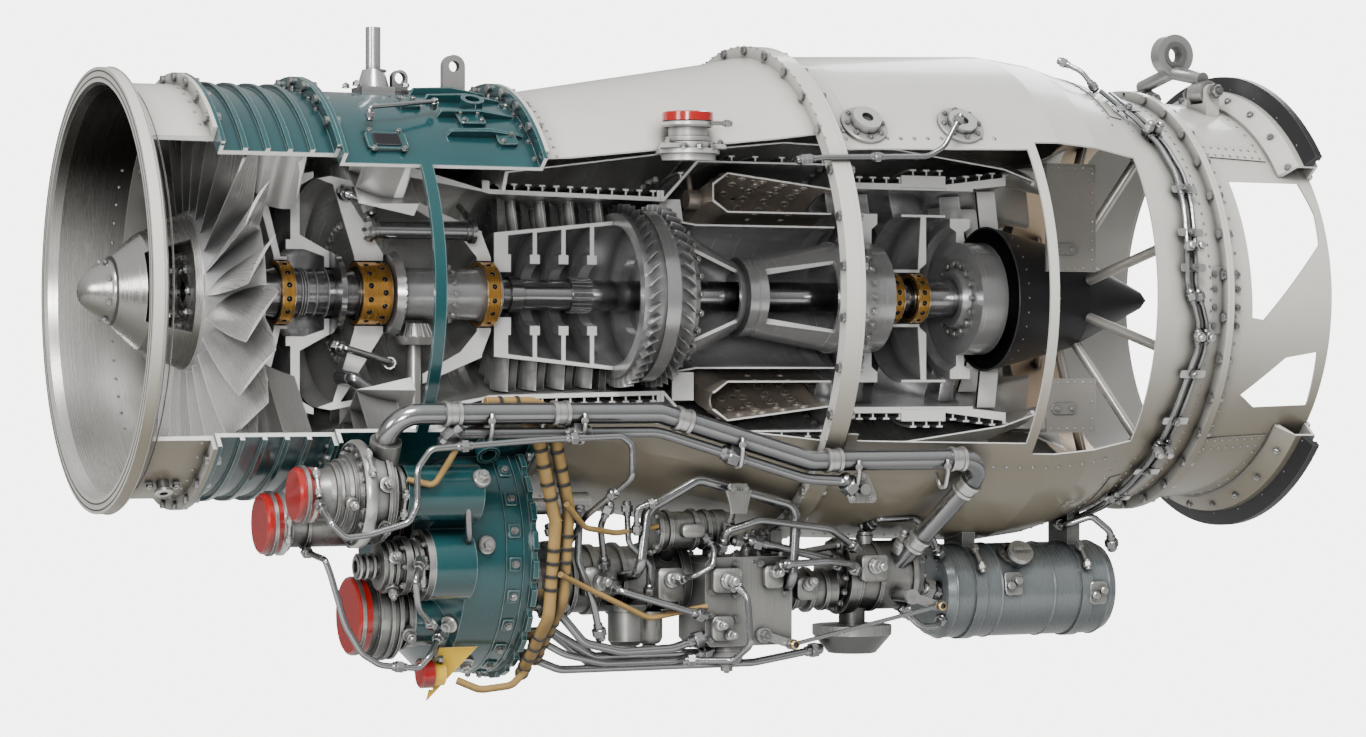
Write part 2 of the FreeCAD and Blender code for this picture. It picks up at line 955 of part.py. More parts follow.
def fan_blades_1():
    tip = throat_r - fan_tip_gap
    root = foil(fan1_x + 1, fan1_len - 2, fan1_hub_in - 4, 32, 9, 9)
    middle = foil(fan1_x + 5, fan1_len - 16, (fan1_hub_out + tip) / 2, 48, 6, 6)
    end = foil(fan1_x + fan1_tip_from, fan1_tip_len, tip + 8, 60, 4, 3)
    path = gas_path([(fan1_x - 20, fan1_hub_in - 20 * hub_slope),
                     (fan1_x + fan1_len + 20, fan1_hub_out + 20 * hub_slope)],
                    [(fan1_x - 20, tip), (fan1_x + fan1_len + 20, tip)])
    return Part.makeCompound(row(blade([root, middle, end]).common(path), fan1_count))


def fan_disc_2():
    """The second rotor's disc, with a cone back to the shaft flange."""
    back = fan2_x + fan2_len
    flange = x2 + low_flange_x
    mid = fan2_x + fan2_len / 2
    web = fan1_web_t / 2
    bore = brg1_out + 2 * race_t + run_gap * 2
    body = turned([
        (fan2_x, fan2_hub_in), (back, fan2_hub_out), (back, fan2_hub_out - fan1_rim_t),
        (mid + web, fan2_hub_in - fan1_rim_t), (mid + web, bore + fan1_web_t + web),
        (flange - fit_gap, low_flange_r), (flange - fit_gap, low_front_r + run_gap),
        (flange - fit_gap - low_flange_t, low_front_r + run_gap),
        (flange - fit_gap - low_flange_t, low_flange_r - web),
        (mid + web * 2, bore), (mid - web * 2, bore), (mid - web * 2, bore + fan1_web_t),
        (mid - web, bore + fan1_web_t), (mid - web, fan2_hub_in - fan1_rim_t),
        (fan2_x, fan2_hub_in - fan1_rim_t)])
    return body.cut(near_half(fan2_x - 1, flange, reach))


def fan_blades_2():
    tip = throat_r - fan_tip_gap
    slope = (fan2_hub_out - fan2_hub_in) / fan2_len
    root = foil(fan2_x + 1, fan2_len - 2, fan2_hub_in - 4, 36, 8, 8)
    end = foil(fan2_x + fan2_tip_in, fan2_tip_len, tip + 8, 58, 4, 4)
    path = gas_path([(fan2_x - 20, fan2_hub_in - 20 * slope),
                     (fan2_x + fan2_len + 20, fan2_hub_out + 20 * slope)],
                    [(fan2_x - 20, tip), (fan2_x + fan2_len + 20, tip)])
    blades = row(blade([root, end]).common(path), fan2_count, half=True)
    return Part.makeCompound([one for one in blades if one.CenterOfMass.y > fan2_len / 2])


def low_shaft():
    """The long inner shaft: bearing lands, a disc flange, a splined joint and the rear seat."""
    end = x4 + lpt_from + lpt_len
    body = turned([
        (spin_back_x + 2, low_bore_r), (spin_back_x + 2, low_nose_r),
        (x1 + brg1_from + brg1_len + run_gap, low_nose_r),
        (x1 + brg1_from + brg1_len + run_gap, low_front_r), (x2 + low_flange_x, low_front_r),
        (x2 + low_flange_x, low_flange_r), (x2 + low_flange_x + low_flange_t, low_flange_r),
        (x2 + low_flange_x + low_flange_t, low_front_r), (x2 + brg2_from - run_gap, low_front_r),
        (x2 + brg2_from - run_gap, low_nose_r), (x2 + brg2_from + brg2_len - 1, low_nose_r),
        (x2 + brg2_from + brg2_len - 1, low_mid_r), (hpc_x + brg4_x, low_mid_r),
        (hpc_x + brg4_x, brg4_in - cage_gap), (hpc_x + brg4_x + brg4_len, brg4_in - cage_gap),
        (hpc_x + brg4_x + brg4_len, low_mid_r), (hpc_x + spline_x, low_mid_r), (hpc_x + spline_x, spline_r),
        (hpc_x + spline_x + spline_len, spline_r), (hpc_x + spline_x + spline_len, low_mid_r),
        (x4 + brg6_from - run_gap, low_mid_r), (x4 + brg6_from - run_gap, brg_rear_in - cage_gap),
        (x4 + lpt_from, brg_rear_in - cage_gap), (x4 + lpt_from, low_rear_r),
        (end + bolt_ring_len, low_rear_r),
        (end + bolt_ring_len, low_bore_r)])
    grooves = []
    for i in range(spline_teeth):
        a = 2 * math.pi * i / spline_teeth
        grooves.append(rod(vec(hpc_x + spline_x - 1, spline_r * math.sin(a), spline_r * math.cos(a)),
                           vec(1, 0, 0), spline_cut, spline_len + 2))
    return body.cut(Part.makeCompound(grooves))


def bearing(start, length, r_in, r_out, count, rows):
    """A cage with its rolling elements in bored pockets; the elements clear both races."""
    cage = turned([(start, r_in + race_t * 0.3), (start, r_out - race_t * 0.3),
                   (start + length, r_out - race_t * 0.3), (start + length, r_in + race_t * 0.3)])
    radius = (r_out - r_in) / 2
    centre = (r_out + r_in) / 2
    balls = []
    pockets = []
    for k in range(rows):
        x = start + length * (k + 0.5) / rows
        for i in range(count):
            a = 2 * math.pi * (i + k / 2.0) / count
            axis = vec(0, math.sin(a), math.cos(a))
            point = axis * centre + vec(x, 0, 0)
            balls.append(Part.makeSphere(radius, point))
            pockets.append(rod(point - axis * centre * 0.5, axis, radius + fit_gap, centre))
    return Part.makeCompound([cage.cut(Part.makeCompound(pockets))] + balls)


# ---------------------------------------------------------------- static parts of the fan
def fan_stator():
    """Vanes behind the first rotor; their inner ring and cone carry the front bearing."""
    start = stator_x
    back = start + stator_len
    ring = turned([(start, stator_hub_r), (back, stator_hub_r + stator_band),
                   (back, stator_hub_r), (start, stator_hub_r - stator_band)])
    path = gas_path([(start - 20, stator_hub_r), (start, stator_hub_r), (back, stator_hub_r + stator_band),
                     (back + 20, stator_hub_r + stator_band)],
                    [(start - 20, throat_r - seat_gap), (back + 20, throat_r - seat_gap)])
    root = foil(start, stator_len, stator_hub_r - 6, -24, 5, -5)
    end = foil(start, stator_len, throat_r + 6, -20, 4, -4)
    one = blade([root, end]).common(path)
    vanes = row(one, stator_count, fan_low, fan_top, 3.0)
    return Part.makeCompound([ring.cut(near_half(start - 1, back + 1, reach))] + vanes)


def front_bearing_support():
    """The cone from the vane ring down to the front bearing's outer race, opened on the near side."""
    outer = brg1_out + cage_gap
    start = x1 + brg1_from
    back = start + brg1_len
    foot = stator_x + stator_len
    body = turned([
        (start, outer), (start, outer + race_t), (foot - stator_len / 2,
                                                  stator_hub_r - stator_band - fit_gap),
        (foot - stator_len / 4, stator_hub_r - stator_band * 0.6), (start + race_t * 2, outer + race_t),
        (back, outer + race_t), (back, outer)])
    return body.cut(near_half(x1, x2 + reach, reach))


def splitter():
    """The ring that parts the bypass air from the core air; its tail is the core duct's outer wall."""
    end = x3 - flange_t
    body = turned([
        (split_x, split_nose_r), (split_x + split_mid_x, split_mid_r), (end, cowl_a_r),
        (end, cowl_a_r - core_wall),
        (split_x + split_mid_x, split_mid_r - core_wall * 2), (end, core_out_r + core_wall),
        (end, core_out_r), (split_x + split_mid_x, split_mid_r - core_wall * 7),
        (split_x + split_mid_x / 3, split_nose_r - core_wall * 2)])
    hole = rod(vec(tower_x, 0, -reach), vec(0, 0, 1), tower_r + run_gap, reach)
    body = body.cut(hole)
    front = wedge(split_x - 1, split_x + split_mid_x, mid_low, mid_top, reach)
    return body.cut(Part.makeCompound([front, near_half(split_x + split_mid_x - 1, end + 1, reach)]))


def outlet_vanes():
    """Guide vanes in the bypass behind the second rotor."""
    start = x1 + ogv_from
    path = gas_path([(start - 20, split_nose_r + fit_gap), (split_x + split_mid_x, split_mid_r + fit_gap),
                     (start + ogv_len + 20, split_mid_r + fit_gap)],
                    [(start - 20, throat_r - 1 - seat_gap),
                     (start + ogv_len + 20, throat_r - 1 - seat_gap)])
    root = foil(start + row_gap * 2, ogv_len, split_nose_r - 6, -18, 5, -5)
    end = foil(start + row_gap * 2, ogv_len, throat_r + 6, -18, 5, -5)
    one = blade([root, end]).common(path)
    return Part.makeCompound(row(one, ogv_count, mid_low, mid_top, 2.0))


def mid_struts():
    """Eight radial struts between the splitter and the intermediate case."""
    start = x2 + strut_from
    root = foil(start, strut_chord, split_mid_r - 20, 0, strut_t, 0)
    end = foil(start, strut_chord, mid_out_r + 8, 0, strut_t, 0)
    slope = (split_mid_r - cowl_a_r) / (x3 - flange_t - split_x - split_mid_x)
    drop = slope * (start + strut_chord + 20 - split_x - split_mid_x)
    path = gas_path([(start - 20, split_mid_r - slope * (start - 20 - split_x - split_mid_x) + fit_gap),
                     (start + strut_chord + 20, split_mid_r - drop + fit_gap)],
                    [(start - 20, throat_r - 1 - fit_gap),
                     (start + strut_chord + 20, throat_r - 1 - fit_gap)])
    one = blade([root, end]).common(path)
    struts = row(one, strut_count, mid_low, mid_top, strut_first)
    return Part.makeCompound(struts)


def front_hub():
    """The core duct's inner wall with the housings of the thrust and front bearings, half cut."""
    end = x3 - flange_t
    start = x1 + fan2_from + fan2_len + row_gap
    race2 = x2 + brg2_from
    race3 = x3 - brg3_back
    out2 = brg1_out + cage_gap
    out3 = brg3_out + cage_gap
    knee = x2 + strut_from
    tail = race3 + brg3_len
    body = turned([
        (start, core_lip_r + core_wall), (start + core_wall * 5, core_lip_r + core_wall * 2),
        (knee, core_lip_r - core_wall * 2), (end, core_in_r), (end, core_in_r - core_wall),
        (tail, out3 + race_t), (tail, out3), (race3, out3), (race3, out3 + race_t),
        (end - flange_h * 2, core_in_r - core_wall * 2), (knee, core_lip_r - core_wall * 4),
        (start + core_wall * 9, core_lip_r - core_wall), (race2 + brg2_len, out2 + race_t * 2),
        (race2 + brg2_len, out2), (race2, out2), (race2, out2 + race_t),
        (start + core_wall * 6, core_lip_r - core_wall)])
    hole = rod(vec(tower_x, 0, -reach), vec(0, 0, 1), tower_r + run_gap, reach)
    return body.cut(Part.makeCompound([hole, near_half(x1, x4, reach)]))


def core_vanes_row():
    """Vanes across the core intake, behind the splitter's nose, in the far half."""
    start = x1 + split_from + core_vane_from
    hub = core_lip_r + core_wall * 2
    hub_a = x1 + fan2_from + fan2_len + row_gap + core_wall * 5
    tip_a = split_x + split_mid_x / 3
    path = gas_path([(hub_a, hub + fit_gap), (x2 + strut_from, hub - core_wall * 4 + fit_gap)],
                    [(tip_a, split_nose_r - core_wall * 2 - fit_gap),
                     (split_x + split_mid_x, split_mid_r - core_wall * 7 - fit_gap)])
    root = foil(start, core_vane_len, hub - 10, -15, 4, -3)
    end = foil(start, core_vane_len, split_nose_r, -15, 4, -3)
    one = blade([root, end]).common(path)
    return Part.makeCompound(row(one, core_vanes, half=True, start=2.0))


# ---------------------------------------------------------------- radial drive
def bevel(big_r, small_far, teeth, base, direction, back, bore):
    """A bevel wheel: distances are measured from the shafts' crossing point, back towards the wheel."""
    far = small_far + mesh_gap
    near = small_far * face_share + mesh_gap
    body = turned_at([
        (far + back, bore), (far + back, big_r - gear_rim), (far, big_r), (near, big_r * face_share),
        (near, bore)],
        base, direction)
    cuts = []
    lean = math.atan2(big_r, small_far)
    turn = FreeCAD.Rotation(vec(1, 0, 0), direction)
    for i in range(teeth):
        a = 2 * math.pi * (i + 0.5) / teeth
        side = vec(0, math.sin(a), math.cos(a))
        start = vec(near - 4 * math.cos(lean), 0, 0) + side * (big_r * face_share - 4 * math.sin(lean) + 0.4)
        way = vec(math.cos(lean), 0, 0) + side * math.sin(lean)
        cuts.append(rod(base + turn.multVec(start), turn.multVec(way), big_r * math.pi / teeth / 3, big_r))
    return body.cut(Part.makeCompound(cuts))


def high_bevel_gear():
    """The bevel wheel on the high-pressure stub shaft."""
    return bevel(gear_r, pinion_r, gear_teeth, vec(tower_x, 0, 0), vec(-1, 0, 0), gear_back,
                 stub_out + fit_gap)


def tower_shaft():
    """The radial drive shaft with its bevel pinion, down into the gearbox."""
    centre = vec(tower_x, 0, 0)
    down = vec(0, 0, -1)
    wheel = bevel(pinion_r, gear_r, pinion_teeth, centre, down, gear_back, 1.0)
    start = gear_r * face_share + mesh_gap + 1
    length = mid_out_r + tower_into_box - start
    return wheel.fuse(rod(centre + down * start, down, tower_r, length)).removeSplitter()


# ---------------------------------------------------------------- high-pressure spool
def high_stub_shaft():
    """The hollow stub shaft from the bevel wheel to the compressor drum."""
    start = x2 + stub_front
    race3 = x3 - brg3_back
    end = hpc_x + drum_disc_t
    return turned([
        (start, stub_in), (start, stub_out), (race3, stub_out), (race3, brg3_in - cage_gap),
        (race3 + brg3_len, brg3_in - cage_gap), (end, brg3_in - cage_gap), (end, stub_in)])


def drum_r(x):
    first = hpc_x + drum_disc_t
    return drum_front_r + (drum_rear_r - drum_front_r) * (x - first) / (ring_x - first)


def compressor_drum():
    """The compressor drum: a conical rim on four discs, opened on its near half."""
    start = hpc_x + drum_disc_t
    line = [(start, drum_r(start)), (ring_x, drum_r(ring_x)), (ring_x, drum_r(ring_x) - drum_rim_t)]
    for k in reversed(range(hpc_stages)):
        mid = hpc_x + hpc_first + k * hpc_stage + hpc_blade_len / 2
        rim = drum_r(mid) - drum_rim_t
        hub = drum_bore + drum_hub_h
        if k == 0:
            line += [(mid + drum_disc_t / 2, rim), (mid + drum_disc_t / 2, hub)]
            line += [(mid + drum_hub_t / 2, hub), (mid + drum_hub_t / 2, brg4_out + cage_gap)]
        else:
            line += [(mid + drum_disc_t / 2, rim), (mid + drum_disc_t / 2, hub),
                     (mid + drum_hub_t / 2, hub)]
            line += [(mid + drum_hub_t / 2, drum_bore), (mid - drum_hub_t / 2, drum_bore)]
            line += [(mid - drum_hub_t / 2, hub), (mid - drum_disc_t / 2, hub),
                     (mid - drum_disc_t / 2, rim)]
    line += [(start, brg4_out + cage_gap)]
    return turned(line).cut(near_half(start - 1, ring_x + 1, reach))


def hpc_in(x):
    return hpc_in_front + (hpc_in_rear - hpc_in_front) * (x - hpc_x) / hpc_len


def high_blades():
    """Rotor blades of the four cut stages, on the half that is left of the drum."""
    out = []
    for k in range(hpc_stages):
        start = hpc_x + hpc_first + k * hpc_stage
        back = start + hpc_blade_len
        path = gas_path([(start - 5, drum_r(start - 5)), (back + 5, drum_r(back + 5))],
                        [(start - 5, hpc_in(start) - run_gap), (back + 5, hpc_in(back) - run_gap)])
        root = foil(start, hpc_blade_len, drum_r(start) - 6, 35, 3, 3)
        end = foil(start, hpc_blade_len, hpc_in(start) + 6, 50, 2, 2)
        one = blade([root, end]).common(path)
        out += [b for b in row(one, 2 * hpc_row_blades, half=True,
                               start=1.5 + k) if b.CenterOfMass.y > hpc_blade_len]
    return Part.makeCompound(out)


def high_rear_ring():
    """The last compressor wheel, left whole: a wide rim with a smooth band, on a web."""
    band = ring_x + ring_band_from
    mid = ring_x + ring_len / 2
    return turned([
        (ring_x, ring_r), (band, ring_r), (band, ring_r + ring_band_h),
        (band + ring_band_len, ring_r + ring_band_h),
        (band + ring_band_len, ring_r), (cone_x, ring_r), (cone_x, cone_big_r - cone_wall),
        (mid + drum_disc_t, ring_r - 3 * drum_rim_t), (mid + drum_disc_t, ring_bore),
        (mid - drum_disc_t, ring_bore),
        (mid - drum_disc_t, ring_r - 3 * drum_rim_t), (ring_x, drum_rear_r - drum_rim_t)])


def high_rear_blades():
    """Two rows of short blades on the last wheel."""
    out = []
    tip = ring_r + ring_blade_h
    for start, lean in ((ring_x + row_gap, 38), (cone_x - ring_blade_len - row_gap, -42)):
        back = start + ring_blade_len
        path = gas_path([(start - 5, ring_r), (back + 5, ring_r)], [(start - 5, tip), (back + 5, tip)])
        one = blade([foil(start, ring_blade_len, ring_r - 4, lean, 3, 2),
                     foil(start, ring_blade_len, tip + 4, lean, 2, 2)]).common(path)
        out += row(one, ring_blade_count)
    return Part.makeCompound(out)


def high_shaft():
    """The waisted cone and flared tube back to the turbine, with openings and two coupling rims."""
    waist = x4 - cone_waist_x
    joint = waist + coupling_len
    flare = joint + tube_len
    end = x4 + hpt_from
    inner = cone_waist_r - tube_wall
    body = turned([
        (cone_x, cone_big_r), (waist, cone_waist_r), (waist, coupling_r), (joint, coupling_r),
        (joint, tube_r),
        (flare, tube_flare_r), (flare, coupling2_r), (flare + coupling_len, coupling2_r),
        (flare + coupling_len, tube_flare_r), (end, tube_flare_r), (end, tube_flare_r - tube_wall),
        (flare, tube_flare_r - tube_wall), (joint, inner), (waist, inner),
        (cone_x, cone_big_r - cone_wall)])
    cuts = [wedge(cone_x + shaft_window_edge, waist - shaft_window_edge, -shaft_window, shaft_window, reach),
            wedge(joint + shaft_window_edge, flare - shaft_window_edge, -shaft_window, shaft_window, reach)]
    return body.cut(Part.makeCompound(cuts))


def hpc_case():
    """The compressor casing, half cut, with a rim at each end."""
    end = hpc_x + hpc_len
    body = turned([
        (x3 - flange_t + fit_gap, core_out_r), (x3 - flange_t + fit_gap, core_out_r + flange_h),
        (hpc_x, core_out_r + flange_h),
        (hpc_x, hpc_in_front + hpc_wall), (end - flange_t, hpc_in_rear + hpc_wall),
        (end - flange_t, hpc_in_rear + flange_h), (end, hpc_in_rear + flange_h), (end, hpc_in_rear),
        (hpc_x, hpc_in_front)])
    return body.cut(near_half(x3 - flange_t, end + 1, reach))


def hpc_vanes():
    """Fixed vanes between the rotor rows, in the far half of the casing."""
    out = []
    for k in range(hpc_stages):
        start = hpc_x + hpc_first + hpc_vane_gap + k * hpc_stage
        back = start + hpc_vane_len
        path = gas_path([(start - 5, drum_r(start) + run_gap), (back + 5, drum_r(back) + run_gap)],
                        [(start - 5, hpc_in(start - 5)), (back + 5, hpc_in(back + 5))])
        root = foil(start, hpc_vane_len, drum_r(start) - 6, -35, 3, -3)
        end = foil(start, hpc_vane_len, hpc_in(start) + 6, -30, 3, -3)
        one = blade([root, end]).common(path)
        out += [v for v in row(one, 2 * hpc_row_vanes, half=True,
                               start=3.0 + k) if v.CenterOfMass.y > hpc_vane_len]
    return Part.makeCompound(out)


# ---------------------------------------------------------------- combustor
def burner_case():
    """Diffuser, outer case and inner case of the combustor, joined by struts and half cut."""
    start = hpc_x + hpc_len
    front = x4 - burner_front
    end = x4 + noz_from
    outer = turned([
        (start, hpc_in_rear), (start, hpc_in_rear + flange_h), (start + flange_t, hpc_in_rear + flange_h),
        (start + flange_t, hpc_in_rear + hpc_wall), (front, case_out_r), (end - flange_t, case_out_r),
        (end - flange_t, case_out_r + flange_t), (end, case_out_r + flange_t),
        (end, case_out_r - burner_wall),
        (front + burner_wall, case_out_r - burner_wall), (start + flange_t, hpc_in_rear)])
    inner = turned([
        (cone_x + row_gap * 2, cone_big_r + row_gap), (front, case_in_r), (end, case_in_r),
        (end, case_in_r - burner_wall), (front, case_in_r - burner_wall),
        (cone_x + row_gap * 2, cone_big_r + row_gap - burner_wall)])
    strut = Part.makeBox(front - cone_x - row_gap * 4, burner_wall * 2,
                         hpc_in_rear - cone_big_r + burner_wall * 4,
                         vec(cone_x + row_gap * 3, -burner_wall, cone_big_r + burner_wall))
    space = turned([(cone_x + row_gap * 2, cone_big_r + row_gap - 1), (front, case_in_r - 1),
                    (front, case_out_r - 1), (start + flange_t, hpc_in_rear + 1)])
    struts = [spun(strut.common(space), 360.0 * (i + 0.5) / burner_count) for i in range(burner_count)]
    body = outer.fuse([inner] + struts)
    return body.cut(near_half(start - 1, end + 1, reach))


def flame_tube():
    """The annular liner: a rounded dome with burner holes and two walls with air holes, half cut."""
    front = x4 - liner_front
    end = x4 + liner_end
    w = burner_wall
    dome = front + dome_back
    line = [(end, gas_out_r), (dome, liner_out_r), (front, dome_r + liner_holes),
            (front, dome_r - liner_holes),
            (dome, liner_in_r), (end, gas_in_r - w)]
    back = [(end, gas_in_r), (dome, liner_in_r + w), (front + w, dome_r - liner_holes + w),
            (front + w, dome_r + liner_holes - w), (dome, liner_out_r - w), (end, gas_out_r - w)]
    body = turned(line + back)
    cuts = [near_half(front - 1, end + 1, reach)]
    for i in range(burner_count):
        a = 2 * math.pi * (i + 0.5) / burner_count
        point = vec(front - 2 * w, dome_r * math.sin(a), dome_r * math.cos(a))
        cuts.append(rod(point, vec(1, 0, 0), burner_cup_r - w + fit_gap, 4 * w))
    for i in range(liner_holes):
        a = math.pi * (i + 0.5) / liner_holes
        axis = vec(0, math.sin(a), math.cos(a))
        for share in (0.3, 0.62):
            x = dome + (end - dome) * share
            cuts.append(rod(vec(x, 0, 0) + axis * (liner_in_r - 2 * w), axis, hole_r,
                            liner_out_r - liner_in_r + 8 * w))
    return body.cut(Part.makeCompound(cuts))


def burners():
    """Fuel burners: a stem through the outer case and a cup in each dome hole, far half only."""
    out = []
    front = x4 - liner_front
    w = burner_wall
    for i in range(burner_count):
        a = 2 * math.pi * (i + 0.5) / burner_count
        axis = vec(0, math.sin(a), math.cos(a))
        if axis.y < 0.1:
            continue
        centre = vec(front - burner_cup_len, 0, 0) + axis * dome_r
        cup = rod(centre, vec(1, 0, 0), burner_cup_r, burner_cup_len)
        nose = rod(centre, vec(1, 0, 0), burner_cup_r - w, burner_cup_len + 2 * w)
        stem = rod(centre + vec(burner_cup_len / 2, 0, 0), axis, w * 1.5, case_out_r - w - dome_r - fit_gap)
        out.append(cup.fuse([nose, stem]).removeSplitter())
    return Part.makeCompound(out)


# ---------------------------------------------------------------- turbines
def nozzle(start, length, count, lean, thick):
    """A cast ring of turbine vanes between two bands, half cut."""
    back = start + length
    ring_in = turned([(start, gas_in_r), (back, gas_in_r), (back, gas_in_r - shroud_t),
                      (start, gas_in_r - shroud_t)])
    ring_out = turned([(start, gas_out_r), (start, gas_out_r + shroud_t), (back, gas_out_r + shroud_t),
                       (back, gas_out_r)])
    path = gas_path([(start, gas_in_r - 1), (back, gas_in_r - 1)],
                    [(start, gas_out_r + 1), (back, gas_out_r + 1)])
    one = blade([foil(start + 2, length - 4, gas_in_r - 6, lean, thick, -thick),
                 foil(start + 2, length - 4, gas_out_r + 6, lean, thick, -thick)]).common(path)
    vanes = [v for v in row(one, count, half=True, start=4.0) if v.CenterOfMass.y > length / 3]
    body = ring_in.fuse([ring_out] + vanes)
    return body.cut(near_half(start - 1, back + 1, reach))


def turbine_blades(start, length, rim, count, lean):
    """Blades of one turbine wheel, on the half that is left of it."""
    tip = gas_out_r - run_gap
    path = gas_path([(start, rim), (start + length, rim)], [(start, tip), (start + length, tip)])
    one = blade([foil(start + 2, length - 4, rim - 6, lean, 7, 6),
                 foil(start + 3, length - 6, tip + 6, lean + 12, 4, 3)]).common(path)
    return Part.makeCompound([b for b in row(one, count, half=True,
                                             start=2.0) if b.CenterOfMass.y > length / 2])


def front_turbine_disc():
    """The high-pressure turbine disc and its rear stub; the rim and web are half cut."""
    start = x4 + hpt_from
    mid = start + hpt_len / 2
    t = hpt_disc_t / 2
    stub_end = x4 + brg5_from + brg_rear_len
    stub = brg_rear_in - cage_gap
    bore = low_mid_r + run_gap
    body = turned([
        (start, hpt_rim_r), (start + hpt_len, hpt_rim_r), (start + hpt_len, hpt_rim_r - 2 * t),
        (mid + t, hpt_rim_r - 3 * t), (mid + t, stub + 3 * t), (start + hpt_len, stub + t),
        (start + hpt_len, stub), (stub_end, stub), (stub_end, bore), (start + t, bore),
        (start + t, stub + 3 * t),
        (start + t, tube_flare_r - 2 * tube_wall), (start, tube_flare_r - 2 * tube_wall),
        (start, tube_flare_r), (mid - t, tube_flare_r), (mid - t, hpt_rim_r - 3 * t),
        (start, hpt_rim_r - 2 * t)])
    return body.cut(near_half(start - 1, start + hpt_len,
                              reach).cut(rod(vec(start - 1, 0, 0), vec(1, 0, 0), tube_flare_r,
                                             hpt_len + 2)))


def rear_turbine_disc():
    """The low-pressure turbine disc on the shaft's rear seat; rim and web are half cut."""
    start = x4 + lpt_from
    mid = start + lpt_len / 2
    t = lpt_disc_t / 2
    bore = low_rear_r + fit_gap
    ring_x0 = x4 + bolt_ring_from
    body = turned([
        (start, lpt_rim_r), (start + lpt_len, lpt_rim_r), (start + lpt_len, lpt_rim_r - 2 * t),
        (mid + t, lpt_rim_r - 3 * t), (mid + t, bolt_ring_r), (ring_x0, bolt_ring_r),
        (ring_x0, bolt_ring_r - t),
        (mid + t, bolt_ring_r - t), (mid + 2 * t, bore + 3 * t), (mid + 2 * t, bore), (start, bore),
        (start, bore + 2 * t), (mid - t, bore + 3 * t), (mid - t, lpt_rim_r - 3 * t),
        (start, lpt_rim_r - 2 * t)])
    keep = rod(vec(start - 1, 0, 0), vec(1, 0, 0), bolt_ring_r, reach)
    return body.cut(near_half(start - 1, start + lpt_len + 1, reach).cut(keep))


def rear_turbine_ring():
    """The bolted ring behind the low-pressure disc, with its bolt heads."""
    start = x4 + bolt_ring_from
    body = turned([
        (start, bolt_ring_r), (start + bolt_ring_len, bolt_ring_r),
        (start + bolt_ring_len, bolt_ring_r - flange_h),
        (start, bolt_ring_r - flange_h)])
    return body


def low_ring_bolts():
    """Bolts through the ring's holes would be hidden; their heads stand on its rear face."""
    start = x4 + bolt_ring_from + bolt_ring_len
    out = []
    for i in range(bolt_ring_count):
        a = 2 * math.pi * i / bolt_ring_count
        r = bolt_ring_r - flange_h / 2
        out.append(rod(vec(start, r * math.sin(a), r * math.cos(a)), vec(1, 0, 0), bolt_r, bolt_head_t / 2))
    return Part.makeCompound(out)


def rear_bearing_support():
    """The web from the second vane ring down to the two rear bearings, half cut."""
    out = brg_rear_out + cage_gap
    a = x4 + brg5_from
    b = x4 + brg6_from + brg_rear_len
    foot = x4 + vane2_from + vane2_len / 2
    top = gas_in_r - shroud_t - fit_gap
    body = turned([
        (a, out), (a, out + race_t), (foot - race_t * 2, out + race_t), (foot - race_t, top),
        (foot + race_t, top),
        (foot + race_t, out + race_t * 3), (b, out + race_t), (b, out)])
    return body.cut(near_half(a - 1, b + reach, reach))


def turbine_case():
    """The turbine casing: rails over the rotors, seats over the vanes and the rear flange."""
    start = x4 + noz_from
    seat = gas_out_r + shroud_t + fit_gap
    end = x4 + mixer_from
    high_a = x4 + noz_from + noz_len + fit_gap
    high_b = x4 + vane2_from - fit_gap
    low_a = x4 + vane2_from + vane2_len + fit_gap
    low_b = x4 + lpt_from + lpt_len + row_gap
    out = seat + turb_wall
    body = turned([
        (start, seat), (start, case_out_r + flange_t), (start + flange_t, case_out_r + flange_t),
        (start + flange_t, out), (x4 + vane2_from, out), (x4 + vane2_from, turb_out_r),
        (x4 + vane2_from + vane2_len, turb_out_r), (x4 + vane2_from + vane2_len, out),
        (end - flange_t, turb_rear_r - flange_t),
        (end - flange_t, turb_rear_r), (end, turb_rear_r), (end, seat + turb_wall), (low_b, seat),
        (low_b, gas_out_r), (low_a, gas_out_r), (low_a, seat), (high_b, seat), (high_b, gas_out_r),
        (high_a, gas_out_r), (high_a, seat)])
    return body.cut(near_half(start - 1, end + 1, reach))


# ---------------------------------------------------------------- cowl and exhaust
def core_cowl():
    """The wall between the bypass air and the gas generator, opened wide on the near side."""
    start = x3 - flange_t + fit_gap
    line = [(start, cowl_a_r), (x3 + cowl_b_x, cowl_b_r), (x4, cowl_c_r), (x4 + cowl_d_x, cowl_d_r),
            (x4 + cowl_e_x, cowl_e_r), (x4 + cowl_f_x, cowl_f_r)]
    body = turned(skin(line, cowl_wall))
    ring = turned([(x4 + cowl_f_x - flange_t, cowl_f_r - cowl_wall + 1),
                   (x4 + cowl_f_x, cowl_f_r - cowl_wall),
                   (x4 + cowl_f_x, turb_rear_r + fit_gap),
                   (x4 + cowl_f_x - flange_t, turb_rear_r + fit_gap)])
    front = turned([(start, cowl_a_r - cowl_wall + 1), (start + flange_t, cowl_a_r - cowl_wall + 1),
                    (start + flange_t, core_out_r + flange_h + fit_gap),
                    (start, core_out_r + flange_h + fit_gap)])
    return body.fuse([ring, front]).cut(wedge(start - 1, x4 + cowl_f_x + 1, cowl_low, cowl_top, reach))


def exhaust_plug():
    """The black plug behind the turbines: a hollow cone with a closed tip."""
    start = x4 + plug_from
    end = start + plug_len
    return turned([
        (start, plug_r), (start + plug_len * 0.5, plug_r * 0.68), (end - plug_tip_r, plug_tip_r), (end, 0),
        (end - 2 * plug_tip_r, 0), (start + plug_len * 0.5, plug_r * 0.68 - plug_wall),
        (start, plug_r - plug_wall)])


